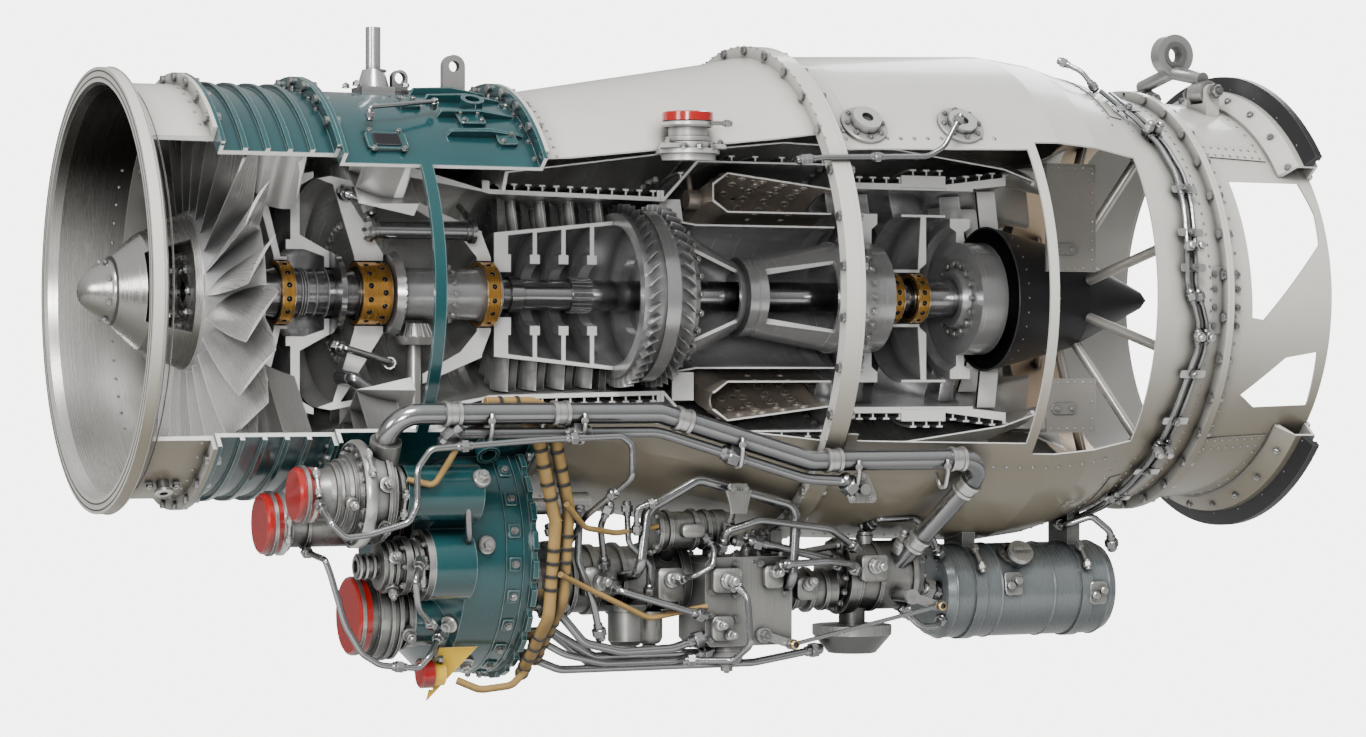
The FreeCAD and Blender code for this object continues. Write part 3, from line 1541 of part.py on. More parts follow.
def exit_struts():
    """Flat struts that carry the plug from the turbine casing, far half only."""
    start = x4 + plug_from
    length = mixer_from - plug_from
    seat = gas_out_r + shroud_t + fit_gap
    one = Part.makeBox(length - row_gap, burner_wall * 2, seat + turb_wall - plug_r + race_t,
                       vec(start + row_gap / 2, -burner_wall, plug_r - race_t * 2))
    slope = plug_r * 0.32 / (plug_len * 0.5)
    path = gas_path([(start, plug_r + fit_gap), (start + length, plug_r - slope * length + fit_gap)],
                    [(start, seat + 2), (start + length, seat + turb_wall - 2)])
    struts = row(one.common(path), 2 * rod_count, half=True, start=11.0)
    return Part.makeCompound([s.cut(turbine_case_solid) for s in struts])


def wave(x, radius, depth, shift):
    """A closed lobed line round the axis."""
    points = []
    n = mixer_lobes * 6
    for i in range(n):
        a = 2 * math.pi * i / n
        r = radius + shift + depth * math.cos(mixer_lobes * a)
        points.append(vec(x, r * math.sin(a), r * math.cos(a)))
    curve = Part.BSplineCurve()
    curve.interpolate(points, PeriodicFlag=True)
    return Part.Wire([curve.toShape()])


def mixer():
    """The lobed mixer behind the turbine casing, open on the near side."""
    start = x4 + mixer_from + fit_gap
    end = start + mixer_len
    base = turb_rear_r - mixer_wall
    outer = Part.makeLoft([wave(start, base, 0.001, mixer_wall / 2),
                           wave(end, mixer_r, mixer_depth, mixer_wall / 2)], True, True)
    inner = Part.makeLoft([wave(start - 1, base, 0.001, -mixer_wall / 2),
                           wave(end + 1, mixer_r, mixer_depth, -mixer_wall / 2)], True, True)
    body = outer.cut(inner)
    return body.cut(near_half(start - 1, end + 2, reach))


def mixer_panels():
    """Two stiff side panels that close the mixer's cut edge; they stand on the casing's rear flange."""
    panel_x = x4 + panel_from
    rim = turb_rear_r - flange_t
    high = rim + mixer_depth / 2
    upper = Part.makeBox(panel_w, panel_t, panel_h, vec(panel_x, -panel_y, high - panel_h))
    shelf = Part.makeBox(panel_w, panel_y + panel_t, panel_t, vec(panel_x, -panel_y, high - panel_t))
    lower = Part.makeBox(panel_w, panel_t, panel_h / 2, vec(panel_x, -panel_y, -high))
    sole = Part.makeBox(panel_w, panel_y + panel_t, panel_t, vec(panel_x, -panel_y, -high))
    wall = mixer()
    return [max(shape.cut(wall).Solids, key=lambda solid: solid.Volume)
            for shape in (upper.fuse(shelf), lower.fuse(sole))]


def inner_pipe():
    """The inner wall of the jet pipe, held by the rods, open on the near side."""
    start = x5 - inner_pipe_ahead
    end = start + inner_pipe_len
    body = turned(skin([(start, inner_pipe_r), (end, inner_pipe_end_r)], duct_wall))
    cuts = [wedge(start - 1, end + 1, rear_low, rear_top, reach)]
    for base, tip in rod_lines():
        cuts.append(rod(base, tip - base, rod_r + fit_gap, (tip - base).Length))
    return body.cut(Part.makeCompound(cuts))


def rod_lines():
    """The end points of the plug's rods: from the plug's side to the jet pipe's wall."""
    out = []
    base_x = x4 + plug_from + plug_len * 0.5
    base_r = plug_r * 0.68 - plug_wall / 2
    tip_x = x5 + row_gap * 4
    tip_r = jet_front_r - jet_wall - 1
    for i in range(rod_count):
        a = 2 * math.pi * (i + 0.5) / rod_count
        axis = vec(0, math.sin(a), math.cos(a))
        out.append((vec(base_x, 0, 0) + axis * base_r, vec(tip_x, 0, 0) + axis * tip_r))
    return out


def plug_rods():
    """Eight round rods from the plug out to the jet pipe, trimmed to both."""
    out = []
    ends = Part.makeCompound([exhaust_plug(), pipe_body])
    for base, tip in rod_lines():
        trimmed = rod(base, tip - base, rod_r, (tip - base).Length).cut(ends)
        out.append(max(trimmed.Solids, key=lambda solid: solid.Volume))
    return Part.makeCompound(out)


# ---------------------------------------------------------------- mounts
def seated(shape, radius):
    """Trims a foot to the round casing it stands on."""
    return shape.cut(rod(vec(0, 0, 0), vec(1, 0, 0), radius + fit_gap, x6))


def front_spigot():
    """The front mount: a square foot, a base, a neck and the upright spigot."""
    x = x2 + strap_from + strap_w / 2
    low = mid_out_r - flange_h
    top = mid_out_r + spigot_foot_t
    foot = Part.makeBox(spigot_foot, spigot_foot, top - low,
                        vec(x - spigot_foot / 2, -spigot_foot / 2, low))
    column = turned_at([(0, 0), (0, spigot_base_r), (spigot_base_h, spigot_neck_r),
                        (spigot_base_h, spigot_r),
                        (spigot_base_h + spigot_h, spigot_r), (spigot_base_h + spigot_h, 0)],
                       vec(x, 0, top), vec(0, 0, 1))
    return seated(foot.fuse(column), mid_out_r)


def lifting_eye(x, rise, radius):
    """A lifting lug: a plate with a cross hole on a foot plate."""
    low = mid_out_r - flange_h
    foot = Part.makeBox(2 * radius, 2 * radius, flange_h + flange_t, vec(x - radius, -radius, low))
    post = Part.makeBox(2 * radius, eye_t, rise + flange_h, vec(x - radius, -eye_t / 2, low))
    centre = vec(x, -eye_t / 2, mid_out_r + rise)
    head = rod(centre, vec(0, 1, 0), radius, eye_t)
    hole = rod(centre - vec(0, 1, 0), vec(0, 1, 0), eye_hole_r, eye_t + 2)
    return seated(foot.fuse([post, head]).cut(hole), mid_out_r)


def link_feet():
    return [vec(x5 + link_x, side * link_half, link_z) for side in (-1, 1)]


def rear_link():
    """The rear mount link: an eye on two legs, each ending in a barrel on its pin."""
    centre = vec(x5 + link_x, -link_eye_t / 2, link_eye_z)
    shapes = [rod(centre, vec(0, 1, 0), link_eye_r, link_eye_t)]
    holes = [rod(centre - vec(0, 1, 0), vec(0, 1, 0), link_hole_r, link_eye_t + 2)]
    for foot in link_feet():
        knee = foot + vec(0, 0, link_leg_rise)
        way = vec(x5 + link_x, 0, link_eye_z - link_leg_drop) - knee
        shapes.append(rod(knee, way, link_leg_r, way.Length))
        start = foot - vec(0, link_foot_r, 0)
        shapes.append(rod(start, vec(0, 1, 0), link_foot_r, 2 * link_foot_r))
        holes.append(rod(start - vec(0, 1, 0), vec(0, 1, 0), link_pin_r + link_pin_gap,
                         2 * link_foot_r + 2))
    return shapes[0].fuse(shapes[1:]).cut(Part.makeCompound(holes))


def link_clevises():
    """Two forked lugs on the jet pipe that carry the rear link's pins."""
    out = []
    width = 2 * (link_foot_r + lug_gap + lug_t)
    low = jet_end_r - width
    for foot in link_feet():
        block = Part.makeBox(2 * lug_round, width, link_z - low,
                             vec(foot.x - lug_round, foot.y - width / 2, low))
        top = rod(foot - vec(0, width / 2, 0), vec(0, 1, 0), lug_round, width)
        slot = Part.makeBox(4 * link_foot_r, width - 2 * lug_t, 4 * link_foot_r,
                            vec(foot.x - 2 * link_foot_r, foot.y - width / 2 + lug_t,
                                link_z - link_foot_r - lug_gap))
        hole = rod(foot - vec(0, width, 0), vec(0, 1, 0), link_pin_r, 2 * width)
        block = block.fuse(top).cut(Part.makeCompound([slot, hole, pipe_body]))
        out.append(max(block.Solids, key=lambda solid: solid.CenterOfMass.z))
    return Part.makeCompound(out)


def link_pins():
    out = []
    width = 2 * (link_foot_r + lug_gap + lug_t)
    for foot in link_feet():
        out.append(rod(foot - vec(0, width / 2 + flange_t, 0), vec(0, 1, 0), link_pin_r,
                       width + 2 * flange_t))
    return Part.makeCompound(out)


def bleed_outlet():
    """The bleed outlet on the front duct: a round foot, an upright tube and its flange."""
    x = x3 + bleed_x
    foot = rod(vec(x, bleed_y, bleed_foot_z), vec(0, 0, 1), bleed_base_r, bleed_base_top - bleed_foot_z)
    tube = rod(vec(x, bleed_y, bleed_base_top), vec(0, 0, 1), bleed_r, bleed_top - bleed_base_top)
    rim = rod(vec(x, bleed_y, bleed_top - bleed_flange_t), vec(0, 0, 1), bleed_flange_r, bleed_flange_t)
    bore = rod(vec(x, bleed_y, bleed_base_top), vec(0, 0, 1), bleed_bore, bleed_top)
    cone = turned([(x3 + duct_knee_x, 0), (x3 + duct_knee_x, duct_knee_r + fit_gap),
                   (x3 + duct_rise_x, duct_rise_r + fit_gap), (x3 + duct_rise_x, 0)])
    return foot.fuse([tube, rim]).cut(Part.makeCompound([bore, cone]))


def duct_ports():
    """Two plain bosses on the rear duct, each with a blind bore."""
    out = []
    core = turned([(x4 + flange_t, 0), (x4 + flange_t, duct_end_r + fit_gap),
                   (x4 + rear_a_x, rear_a_r + fit_gap),
                   (x4 + rear_b_x, rear_b_r + fit_gap), (x4 + rear_b_x, 0)])
    way = outward(port_angle)
    for x in (x4 + port_a_x, x4 + port_b_x):
        base = spot(x, duct_end_r - port_h, port_angle)
        boss = rod(base, way, port_r, 2 * port_h + rear_a_r - duct_end_r + port_h / 2)
        mouth = base + way * (2 * port_h + rear_a_r - duct_end_r + port_h / 2 - port_depth)
        out.append(boss.cut(Part.makeCompound([rod(mouth, way, port_bore, 2 * port_h), core])))
    return Part.makeCompound(out)


# ---------------------------------------------------------------- gearbox and accessories
box_x = x2 + box_front
box_end = box_x + box_len


def along(x, y, z, radius, length):
    return rod(vec(x, y, z), vec(1, 0, 0), radius, length)


def gearbox():
    """The gearbox drum under the intermediate case, hollowed to sit round it, with a tabbed rim."""
    body = turned_at([(0, 0), (0, box_nose_r), (box_round, box_r), (box_len - box_tab_t, box_r),
                      (box_len - box_tab_t, box_r + box_tab_h), (box_len, box_r + box_tab_h), (box_len, 0)],
                     vec(box_x, box_y, box_z), vec(1, 0, 0))
    reach_out = vec(0, start_y - box_y, start_z - box_z)
    arm_box = Part.makeBox(box_round, start_arm_w, reach_out.Length, vec(0, -start_arm_w / 2, 0))
    arm_box.Placement = FreeCAD.Placement(vec(box_x + run_gap, box_y, box_z),
                                          FreeCAD.Rotation(vec(0, 0, 1), reach_out))
    pads = [along(box_x - start_arm, start_y, start_z, start_pad_r, start_arm + run_gap + box_round),
            arm_box,
            along(box_x, pump_y, pump_z, pump_disc_r, box_round),
            along(box_x, gen_y, gen_z, gen_neck_r, box_round),
            along(box_x, alt_y, alt_z, alt_r, box_round)]
    cuts = []
    for i in range(box_tabs):
        a = 2 * math.pi * i / box_tabs
        point = vec(box_end - box_tab_t - 1, box_y + (box_r + box_tab_h + 2) * math.sin(a),
                    box_z + (box_r + box_tab_h + 2) * math.cos(a))
        cuts.append(rod(point, vec(1, 0, 0), tab_cut_r, box_tab_t + 2))
    cuts.append(rod(vec(box_x - x1, 0, 0), vec(1, 0, 0), mid_out_r + fit_gap, x3))
    cuts.append(rod(vec(tower_x, 0, -reach), vec(0, 0, 1), tower_r + run_gap, 1))
    cuts.append(rod(vec(tower_x, 0, -mid_out_r - tower_into_box - box_bore_deep), vec(0, 0, 1),
                    tower_r + run_gap, reach / 4))
    return body.fuse(pads).cut(Part.makeCompound(cuts))


def starter():
    """The air starter: neck, dome, bolted rim, tapered body and inlet."""
    pad = box_x - start_arm - fit_gap
    dome = pad - start_neck_gap
    rim = dome - start_dome_len
    front = rim - start_rim_t
    mouth = front - start_body_len
    body = turned_at([
        (pad, 0), (pad, start_neck_r), (dome, start_neck_r), (dome - start_dome_len / 3, start_dome_r),
        (rim, start_dome_r), (rim, start_rim_r), (front, start_rim_r), (front, start_body_r),
        (mouth, start_neck_r + blank_rim), (mouth - start_neck_len, start_neck_r),
        (mouth - start_neck_len, 0)],
        vec(0, start_y, start_z), vec(1, 0, 0))
    way = vec(0, air_y - start_y, air_top_z - start_z)
    return body.fuse(rod(vec(x2 + air_from, start_y, start_z), way, outlet_r, outlet_len))


def alternator():
    pad = box_x - fit_gap
    front = pad - alt_len
    return turned_at([
        (pad, 0), (pad, alt_r), (front, alt_r), (front, alt_rim_r), (front - alt_rim_len, alt_rim_r),
        (front - alt_rim_len, 0)], vec(0, alt_y, alt_z), vec(1, 0, 0))


def hydraulic_pump():
    """The hydraulic pump: mounting disc, barrel, rim and an open snout."""
    pad = box_x - fit_gap
    disc = pad - pump_disc_t
    front = disc - pump_len
    rim = disc - pump_len / 3
    mouth = front - pump_snout_len
    return turned_at([
        (pad, 0), (pad, pump_disc_r), (disc, pump_disc_r), (disc, pump_r), (rim, pump_r), (rim, pump_rim_r),
        (rim - pump_disc_t, pump_rim_r), (rim - pump_disc_t, pump_r), (front, pump_r),
        (front, pump_snout_r),
        (mouth, pump_snout_r), (mouth, pump_snout_bore), (front, pump_snout_bore), (front, 0)],
        vec(0, pump_y, pump_z), vec(1, 0, 0))


def generator():
    pad = box_x - fit_gap
    neck = pad - gen_neck_len
    front = neck - gen_len
    return turned_at([
        (pad, 0), (pad, gen_neck_r), (neck, gen_neck_r), (neck, gen_r), (front, gen_r), (front, gen_rim_r),
        (front - gen_rim_len, gen_rim_r), (front - gen_rim_len, 0)], vec(0, gen_y, gen_z), vec(1, 0, 0))


def cup(mouth, direction, radius, length):
    """A push-on blank: a closed cap over a round end."""
    way = direction
    return turned_at([(-length / 3, radius + blank_gap), (-length / 3, radius + blank_rim),
                      (length * 0.5, radius + blank_rim),
                      (length * 0.6, radius), (length * 0.6, 0), (blank_gap, 0),
                      (blank_gap, radius + blank_gap)],
                     mouth, way)


def blanks():
    """Red transport blanks on the starter, alternator, generator, bleed outlet and connector."""
    back = vec(-1, 0, 0)
    pad = box_x - fit_gap
    start_face = box_x - start_arm - fit_gap - start_neck_gap
    start_mouth = start_face - start_dome_len - start_rim_t - start_body_len - start_neck_len
    gen_mouth = box_x - fit_gap - gen_neck_len - gen_len - gen_rim_len
    return Part.makeCompound([
        cup(vec(start_mouth, start_y, start_z), back, start_neck_r + blank_rim * 0.6, blank_len),
        cup(vec(pad - alt_len - alt_rim_len, alt_y, alt_z), back, alt_rim_r, blank_len),
        cup(vec(gen_mouth, gen_y, gen_z), back, gen_rim_r, blank_len * 0.7),
        cup(vec(x3 + bleed_x, bleed_y, bleed_top), vec(0, 0, 1), bleed_flange_r, bleed_flange_t * 2),
        cup(vec(x2 + plate_x - plug_blank_len, plate_y, plate_low()), back, plug_blank_r, plug_blank_len)])


def plate_low():
    return box_z - box_r + plate_up - plug_blank_drop


def connector_bracket():
    """The yellow three-cornered bracket under the gearbox, with its connector socket."""
    top = box_z - box_r + plate_up
    x = x2 + plate_x
    corners = [vec(x, plate_y, top), vec(x + plate_w, plate_y, top),
               vec(x - plate_lean, plate_y, top - plate_h)]
    plate = Part.Face(Part.makePolygon(corners + corners[:1])).extrude(vec(0, plate_t, 0))
    web = Part.makeBox(plate_t, plate_h / 2, plate_h * 0.7, vec(x, plate_y, top - plate_h * 0.7))
    socket = along(x - plug_blank_len, plate_y, plate_low(), plug_blank_r, plug_blank_len + plate_t)
    cover = along(x - plug_blank_len, plate_y, plate_low(), plug_blank_r + 2 * blank_rim, plug_blank_len / 2)
    plate = plate.cut(cover)
    drum = along(box_x, box_y, box_z, box_r + fit_gap, box_len - box_tab_t)
    return max(plate.fuse([web, socket]).cut(drum).Solids, key=lambda solid: solid.Volume)


fp_end = box_end + fp_neck_len + fp_len
block_end = fp_end + block_len


def fuel_pump():
    """The fuel pump behind the gearbox: neck, rims and barrel."""
    a = box_end + fit_gap
    b = a + fp_neck_len
    return turned_at([
        (a, 0), (a, fp_neck_r), (b, fp_neck_r), (b, fp_rim_r), (b + fp_rim_t, fp_rim_r),
        (b + fp_rim_t, fp_r),
        (fp_end - fp_rim_t, fp_r), (fp_end - fp_rim_t, fp_r + flange_t), (fp_end, fp_r + flange_t),
        (fp_end, 0)],
        vec(0, fp_y, fp_z), vec(1, 0, 0))


def fuel_motor():
    """The small actuator above the fuel pump, on a round foot."""
    a = x3 + motor_from
    body = turned_at([
        (a, 0), (a, motor_rim_r), (a + flange_t, motor_rim_r), (a + flange_t, motor_r),
        (a + motor_len - flange_t * 3, motor_r),
        (a + motor_len - flange_t * 3, motor_r + 2), (a + motor_len, motor_r + 2), (a + motor_len, 0)],
        vec(0, motor_y, motor_z), vec(1, 0, 0))
    start = vec(a + motor_len / 3, motor_y, motor_z)
    way = vec(0, fp_y - motor_y, fp_z - motor_z)
    return body.fuse(rod(start, way, motor_foot_r, way.Length)).cut(along(x3, fp_y, fp_z,
                                                                          fp_r + fit_gap, reach))


def oil_filter():
    """The small cylinder on the gearbox's rear face."""
    a = box_end + fit_gap
    return turned_at([(a, 0), (a, cyl_neck_r), (a + cyl_neck, cyl_neck_r), (a + cyl_neck, cyl_r),
                      (a + cyl_neck + cyl_len, cyl_r), (a + cyl_neck + cyl_len, 0)],
                     vec(0, cyl_y, cyl_z), vec(1, 0, 0))


def fuel_block():
    """The fuel control's valve block on the pump's end, with a coupler to the regulator."""
    body = Part.makeBox(block_len - fit_gap, block_d, block_h,
                        vec(fp_end + fit_gap, block_y, block_top - block_h))
    chamfer = flange_h
    across = [e for e in body.Edges if e.BoundBox.XLength < 1 and e.BoundBox.ZLength < 1]
    body = body.makeChamfer(chamfer / 2, across)
    coupler = along(block_end - 1, coupler_y, coupler_z, coupler_r, x3 + reg_from - block_end + 1 - fit_gap)
    crank = crank_pivot()
    boss = rod(vec(crank.x, block_y + 1, crank.z), vec(0, -1, 0), lever_boss_r,
               block_y + 1 - lever_face - link_play)
    pin = rod(vec(crank.x, block_y, crank.z), vec(0, -1, 0), lever_pin_r,
              block_y - lever_face + lever_t + link_play)
    return body.fuse([coupler, boss, pin])


def regulator():
    """The round fuel regulator with the bowl under it and the throttle shaft's boss."""
    a = x3 + reg_from
    body = turned_at([
        (a, 0), (a, reg_r * 0.8), (a + flange_h, reg_r * 0.8), (a + flange_h, reg_r + flange_t),
        (a + 2 * flange_h, reg_r + flange_t),
        (a + 2 * flange_h, reg_r), (a + reg_len - flange_h, reg_r), (a + reg_len, reg_r * 0.7),
        (a + reg_len, 0)],
        vec(0, reg_y, reg_z), vec(1, 0, 0))
    neck = rod(vec(x3 + bowl_x, reg_y, bowl_top - 1), vec(0, 0, 1), bowl_neck_r, reg_z - bowl_top)
    bowl = turned_at([(0, 0), (0, bowl_r), (bowl_h / 3, bowl_r), (bowl_h, bowl_r * 0.6), (bowl_h, 0)],
                     vec(x3 + bowl_x, reg_y, bowl_top), vec(0, 0, -1))
    pivot = lever_pivot()
    boss = rod(vec(pivot.x, reg_y - reg_r * 0.6, pivot.z), vec(0, -1, 0), lever_boss_r,
               reg_y - reg_r * 0.6 - lever_face - link_play)
    pin = rod(vec(pivot.x, reg_y - reg_r * 0.6, pivot.z), vec(0, -1, 0), lever_pin_r,
              reg_y - reg_r * 0.6 - lever_face + lever_t + link_play)
    return body.fuse([neck, bowl, boss, pin])


def lever_pivot():
    return vec(x3 + lever_x, lever_face, lever_z)


def crank_pivot():
    return lever_pivot() + vec(-rod_run, 0, -rod_fall)


def arm(pivot):
    """A flat arm with a hub, an end eye and a crank pin."""
    end = pivot + vec(lever_run, 0, -lever_drop)
    near = vec(0, -1, 0)
    hub = rod(pivot, near, lever_hub_r, lever_t)
    tip = rod(end, near, lever_end_r, lever_t)
    way = end - pivot
    bar = Part.makeBox(way.Length, lever_t, 2 * lever_end_r * 0.8, vec(0, -lever_t, -lever_end_r * 0.8))
    bar.rotate(vec(0, 0, 0), vec(0, 1, 0), math.degrees(math.atan2(lever_drop, lever_run)))
    bar.translate(pivot)
    pin = rod(end, near, link_pin_small, 2 * lever_t + 3 * link_play)
    hole = rod(pivot + vec(0, 1, 0), near, lever_pin_r + link_pin_gap, lever_t + 2)
    return hub.fuse([tip, bar, pin]).cut(hole)


def control_rod():
    """The control rod between the two arms, with an eye at each end."""
    near = vec(0, -1, 0)
    a = lever_pivot() + vec(lever_run, -lever_t - link_play, -lever_drop)
    b = crank_pivot() + vec(lever_run, -lever_t - link_play, -lever_drop)
    eyes = [rod(p, near, link_eye_small, lever_t) for p in (a, b)]
    mid = vec(0, -lever_t / 2, 0)
    bar = rod(a + mid, b - a, ctrl_rod_r * 0.65, (b - a).Length)
    holes = [rod(a + vec(0, 1, 0), near, link_pin_small + link_pin_gap, lever_t + 2),
             rod(b + vec(0, 1, 0), near, link_pin_small + open_play, lever_t + 2)]
    return eyes[0].fuse([eyes[1], bar]).cut(Part.makeCompound(holes))


def fuel_hanger():
    """The plate that hangs the fuel block from the mid flange."""
    x = x4 - hanger_x
    plate = Part.makeBox(hanger_w, hanger_d, duct_end_r + r_mid,
                         vec(x - hanger_w, block_y + hanger_d, coupler_z + coupler_r * 0.5))
    cuts = [rod(vec(0, 0, 0), vec(1, 0, 0), r_mid + fit_gap, x6),
            Part.makeBox(x4, reach, reach, vec(0, -reach / 2, -r_mid * 0.8)),
            along(x3, coupler_y, coupler_z, coupler_r + fit_gap, x4),
            Part.makeBox(block_len, block_d, block_h, vec(fp_end, block_y, block_top - block_h))]
    return max(plate.cut(Part.makeCompound(cuts)).Solids, key=lambda solid: solid.Volume)


# ---------------------------------------------------------------- oil tank
tank_x = x4 + tank_from


def oil_tank():
    """The oil tank: a round-ended cylinder with two bands and the filler neck."""
    c = tank_round
    body = turned_at([
        (0, 0), (0, tank_r - c), (c * 0.3, tank_r - c * 0.3), (c, tank_r), (saddle_a, tank_r),
        (saddle_a, tank_r + tank_band_t), (saddle_a + tank_band_w, tank_r + tank_band_t),
        (saddle_a + tank_band_w, tank_r),
        (saddle_b, tank_r), (saddle_b, tank_r + tank_band_t),
        (saddle_b + tank_band_w, tank_r + tank_band_t),
        (saddle_b + tank_band_w, tank_r), (tank_len - c, tank_r), (tank_len - c * 0.3, tank_r - c * 0.3),
        (tank_len, tank_r - c), (tank_len, 0)], vec(tank_x, tank_y, tank_z), vec(1, 0, 0))
    return body.fuse(rod(vec(tank_x + neck_x, tank_y, tank_z), cap_way(), neck_r, tank_r + neck_h))


def cap_way():
    a = math.radians(cap_lean)
    return vec(0, -math.sin(a), math.cos(a))


def tank_cap():
    """The filler cap: a low round cap with a cross bar."""
    base = vec(tank_x + neck_x, tank_y, tank_z) + cap_way() * (tank_r + neck_h + seat_gap)
    cap = rod(base, cap_way(), cap_r, cap_h * 0.6)
    bar = Part.makeBox(cap_r * 1.4, cap_h * 0.35, cap_h * 0.45,
                       vec(-cap_r * 0.7, -cap_h * 0.175, cap_h * 0.55))
    bar.Placement = FreeCAD.Placement(base, FreeCAD.Rotation(vec(0, 0, 1), cap_way()))
    return cap.fuse(bar)


def tank_saddles():
    """Two saddles that hang the tank's bands from the rear duct."""
    out = []
    for x in (saddle_a, saddle_b):
        block = Part.makeBox(tank_saddle_w, tank_saddle_d, box_r,
                             vec(tank_x + x - 2, tank_y - tank_saddle_d / 2, tank_z + tank_r / 2))
        cuts = [along(tank_x, tank_y, tank_z, tank_r + tank_band_t + fit_gap, tank_len), rear_body]
        out.append(min(block.cut(Part.makeCompound(cuts)).Solids, key=lambda solid: solid.CenterOfMass.z))
    return Part.makeCompound(out)


# ---------------------------------------------------------------- pipes
def air_pipe():
    """The bright air pipe: from the starter up, aft beside the ducts and down to the regulator."""
    points = [vec(x2 + air_from, start_y, start_z), vec(x2 + air_from, air_y, air_top_z),
              vec(x3 + air_fall_from, air_y, air_top_z), vec(x3 + air_fall_to, air_y, air_low_z),
              vec(x4 + air_turn, air_y, air_low_z), vec(x4 + air_end_x, air_end_y, air_end_z)]
    tube = pipe(points, air_r, air_bend)
    return tube.cut(Part.makeCompound([starter_body, regulator_body]))


def u_pipe():
    """The looped fuel pipe from the pump over the actuator and back to the block."""
    points = [vec(x3 + u_start, fp_y, fp_z), vec(x3 + u_start, u_y, u_low),
              vec(x3 + u_start + u_bend / 2, u_y, u_side),
              vec(x3 + u_peak, u_y, u_top), vec(x3 + u_drop + u_bend / 3, u_y, u_side),
              vec(x3 + u_drop, u_y, u_low - u_bend),
              vec(x3 + u_drop, coupler_y, coupler_z)]
    return pipe(points, u_r, u_bend).cut(Part.makeCompound([fuel_pump_body, fuel_block_body]))


def drain_pipes():
    """Two drain pipes under the fuel pump, from the gearbox to the block."""
    out = []
    for k in range(2):
        y = drain_y + k * 3 * thin_r
        low = drain_low - k * 2 * thin_r
        points = [vec(box_end + fit_gap, y, drain_z), vec(box_end + fp_neck_len, y, drain_z),
                  vec(box_end + fp_neck_len * 2, y, low),
                  vec(fp_end + 2 * u_bend * (k + 1), y, low),
                  vec(fp_end + 2 * u_bend * (k + 1), y, block_top - block_h - fit_gap)]
        out.append(pipe(points, thin_r, thin_r * 2))
    return Part.makeCompound(out)


def harness():
    """Two wire bundles clipped round the gearbox's rear rim."""
    out = []
    x = box_end + harness_r * 2
    side = harness_y
    points = [vec(x2 + strap_from + strap_w * 3, side, -box_r), vec(box_end - harness_r * 3, side, -box_r),
              vec(x, box_y - box_r - 3 * harness_r, box_z + 5 * harness_r),
              vec(x, box_y - box_r, box_z - box_r / 2),
              vec(x - box_tab_t, box_y - box_r / 2, box_z - box_r)]
    for k in range(2):
        step = k * 2 * (harness_r + 1)
        out.append(pipe([point + vec(step, 0, step) for point in points], harness_r, harness_bend))
    return Part.makeCompound(out)


def harness_clips():
    """Short stand-offs on the gearbox's rear face under the wire bundles."""
    out = []
    bundle = harness_body
    for y, z in ((box_y - box_r * 0.9, box_z - box_r * 0.32), (box_y - box_r * 0.72, box_z - box_r * 0.66)):
        post = along(box_end + fit_gap, y, z, clip_r, harness_r * 6)
        cut = post.cut(bundle)
        out.append(min(cut.Solids, key=lambda solid: solid.CenterOfMass.x))
    return Part.makeCompound(out)


def group(*shapes):
    """Separate solids that share one node."""
    return Part.makeCompound([solid for shape in shapes for solid in shape.Solids])


save(intake_case(), "intake_case")
save(fan_case(), "fan_case")
save(mid_case(), "intermediate_case")
save(front_duct(), "front_bypass_duct")
rear_body = rear_duct()
save(rear_body, "rear_bypass_duct")
pipe_body = jet_pipe()
save(group(pipe_body, link_clevises(), link_pins()), "jet_pipe")
save(seal_carrier(), "seal_carrier")
save(rear_seal(), "rear_seal")
save(flange_bolts(), "flange_bolts")
save(spinner(), "spinner")
save(fan_disc_1(), "fan_disc_front")
save(fan_blades_1(), "fan_blades_front")
save(fan_disc_2(), "fan_disc_rear")
save(fan_blades_2(), "fan_blades_rear")
save(low_shaft(), "low_shaft")
save(group(fan_stator(), front_bearing_support()), "fan_stator")
save(group(splitter(), outlet_vanes(), mid_struts()), "splitter")
save(group(front_hub(), core_vanes_row()), "front_hub")
save(group(bearing(x1 + brg1_from, brg1_len, brg1_in, brg1_out, roller_count, 1),
           bearing(x2 + brg2_from, brg2_len, brg1_in, brg1_out, roller_count, 2),
           bearing(x4 + brg6_from, brg_rear_len, brg_rear_in, brg_rear_out, roller_count, 1)),
           "low_bearing_cages")
save(group(bearing(x3 - brg3_back, brg3_len, brg3_in, brg3_out, roller_count, 1),
           bearing(x4 + brg5_from, brg_rear_len, brg_rear_in, brg_rear_out, roller_count, 1)),
           "high_bearing_cages")
save(group(high_stub_shaft(), high_bevel_gear()), "high_stub_shaft")
save(tower_shaft(), "tower_shaft")
save(group(compressor_drum(), high_blades()), "compressor_drum")
save(group(high_rear_ring(), high_rear_blades()), "compressor_rear_wheel")
save(high_shaft(), "high_shaft")
save(group(hpc_case(), hpc_vanes()), "hpc_case")
save(burner_case(), "burner_case")
save(flame_tube(), "flame_tube")
save(burners(), "burners")
save(nozzle(x4 + noz_from, noz_len, noz_count, 30, 6), "front_nozzle")
save(group(front_turbine_disc(), turbine_blades(x4 + hpt_from, hpt_len, hpt_rim_r, hpt_blades, -20)),
     "front_turbine")
save(group(nozzle(x4 + vane2_from, vane2_len, vane2_count, 25, 9), rear_bearing_support()), "rear_nozzle")
save(group(rear_turbine_disc(), turbine_blades(x4 + lpt_from, lpt_len, lpt_rim_r, lpt_blades, -25),
           rear_turbine_ring(), low_ring_bolts()), "rear_turbine")
turbine_case_solid = turbine_case()
save(turbine_case_solid, "turbine_case")
save(core_cowl(), "core_cowl")
save(group(exhaust_plug(), exit_struts()), "exhaust_plug")
save(group(mixer(), *mixer_panels()), "mixer")
save(group(inner_pipe(), plug_rods()), "inner_pipe")
save(front_spigot(), "front_spigot")
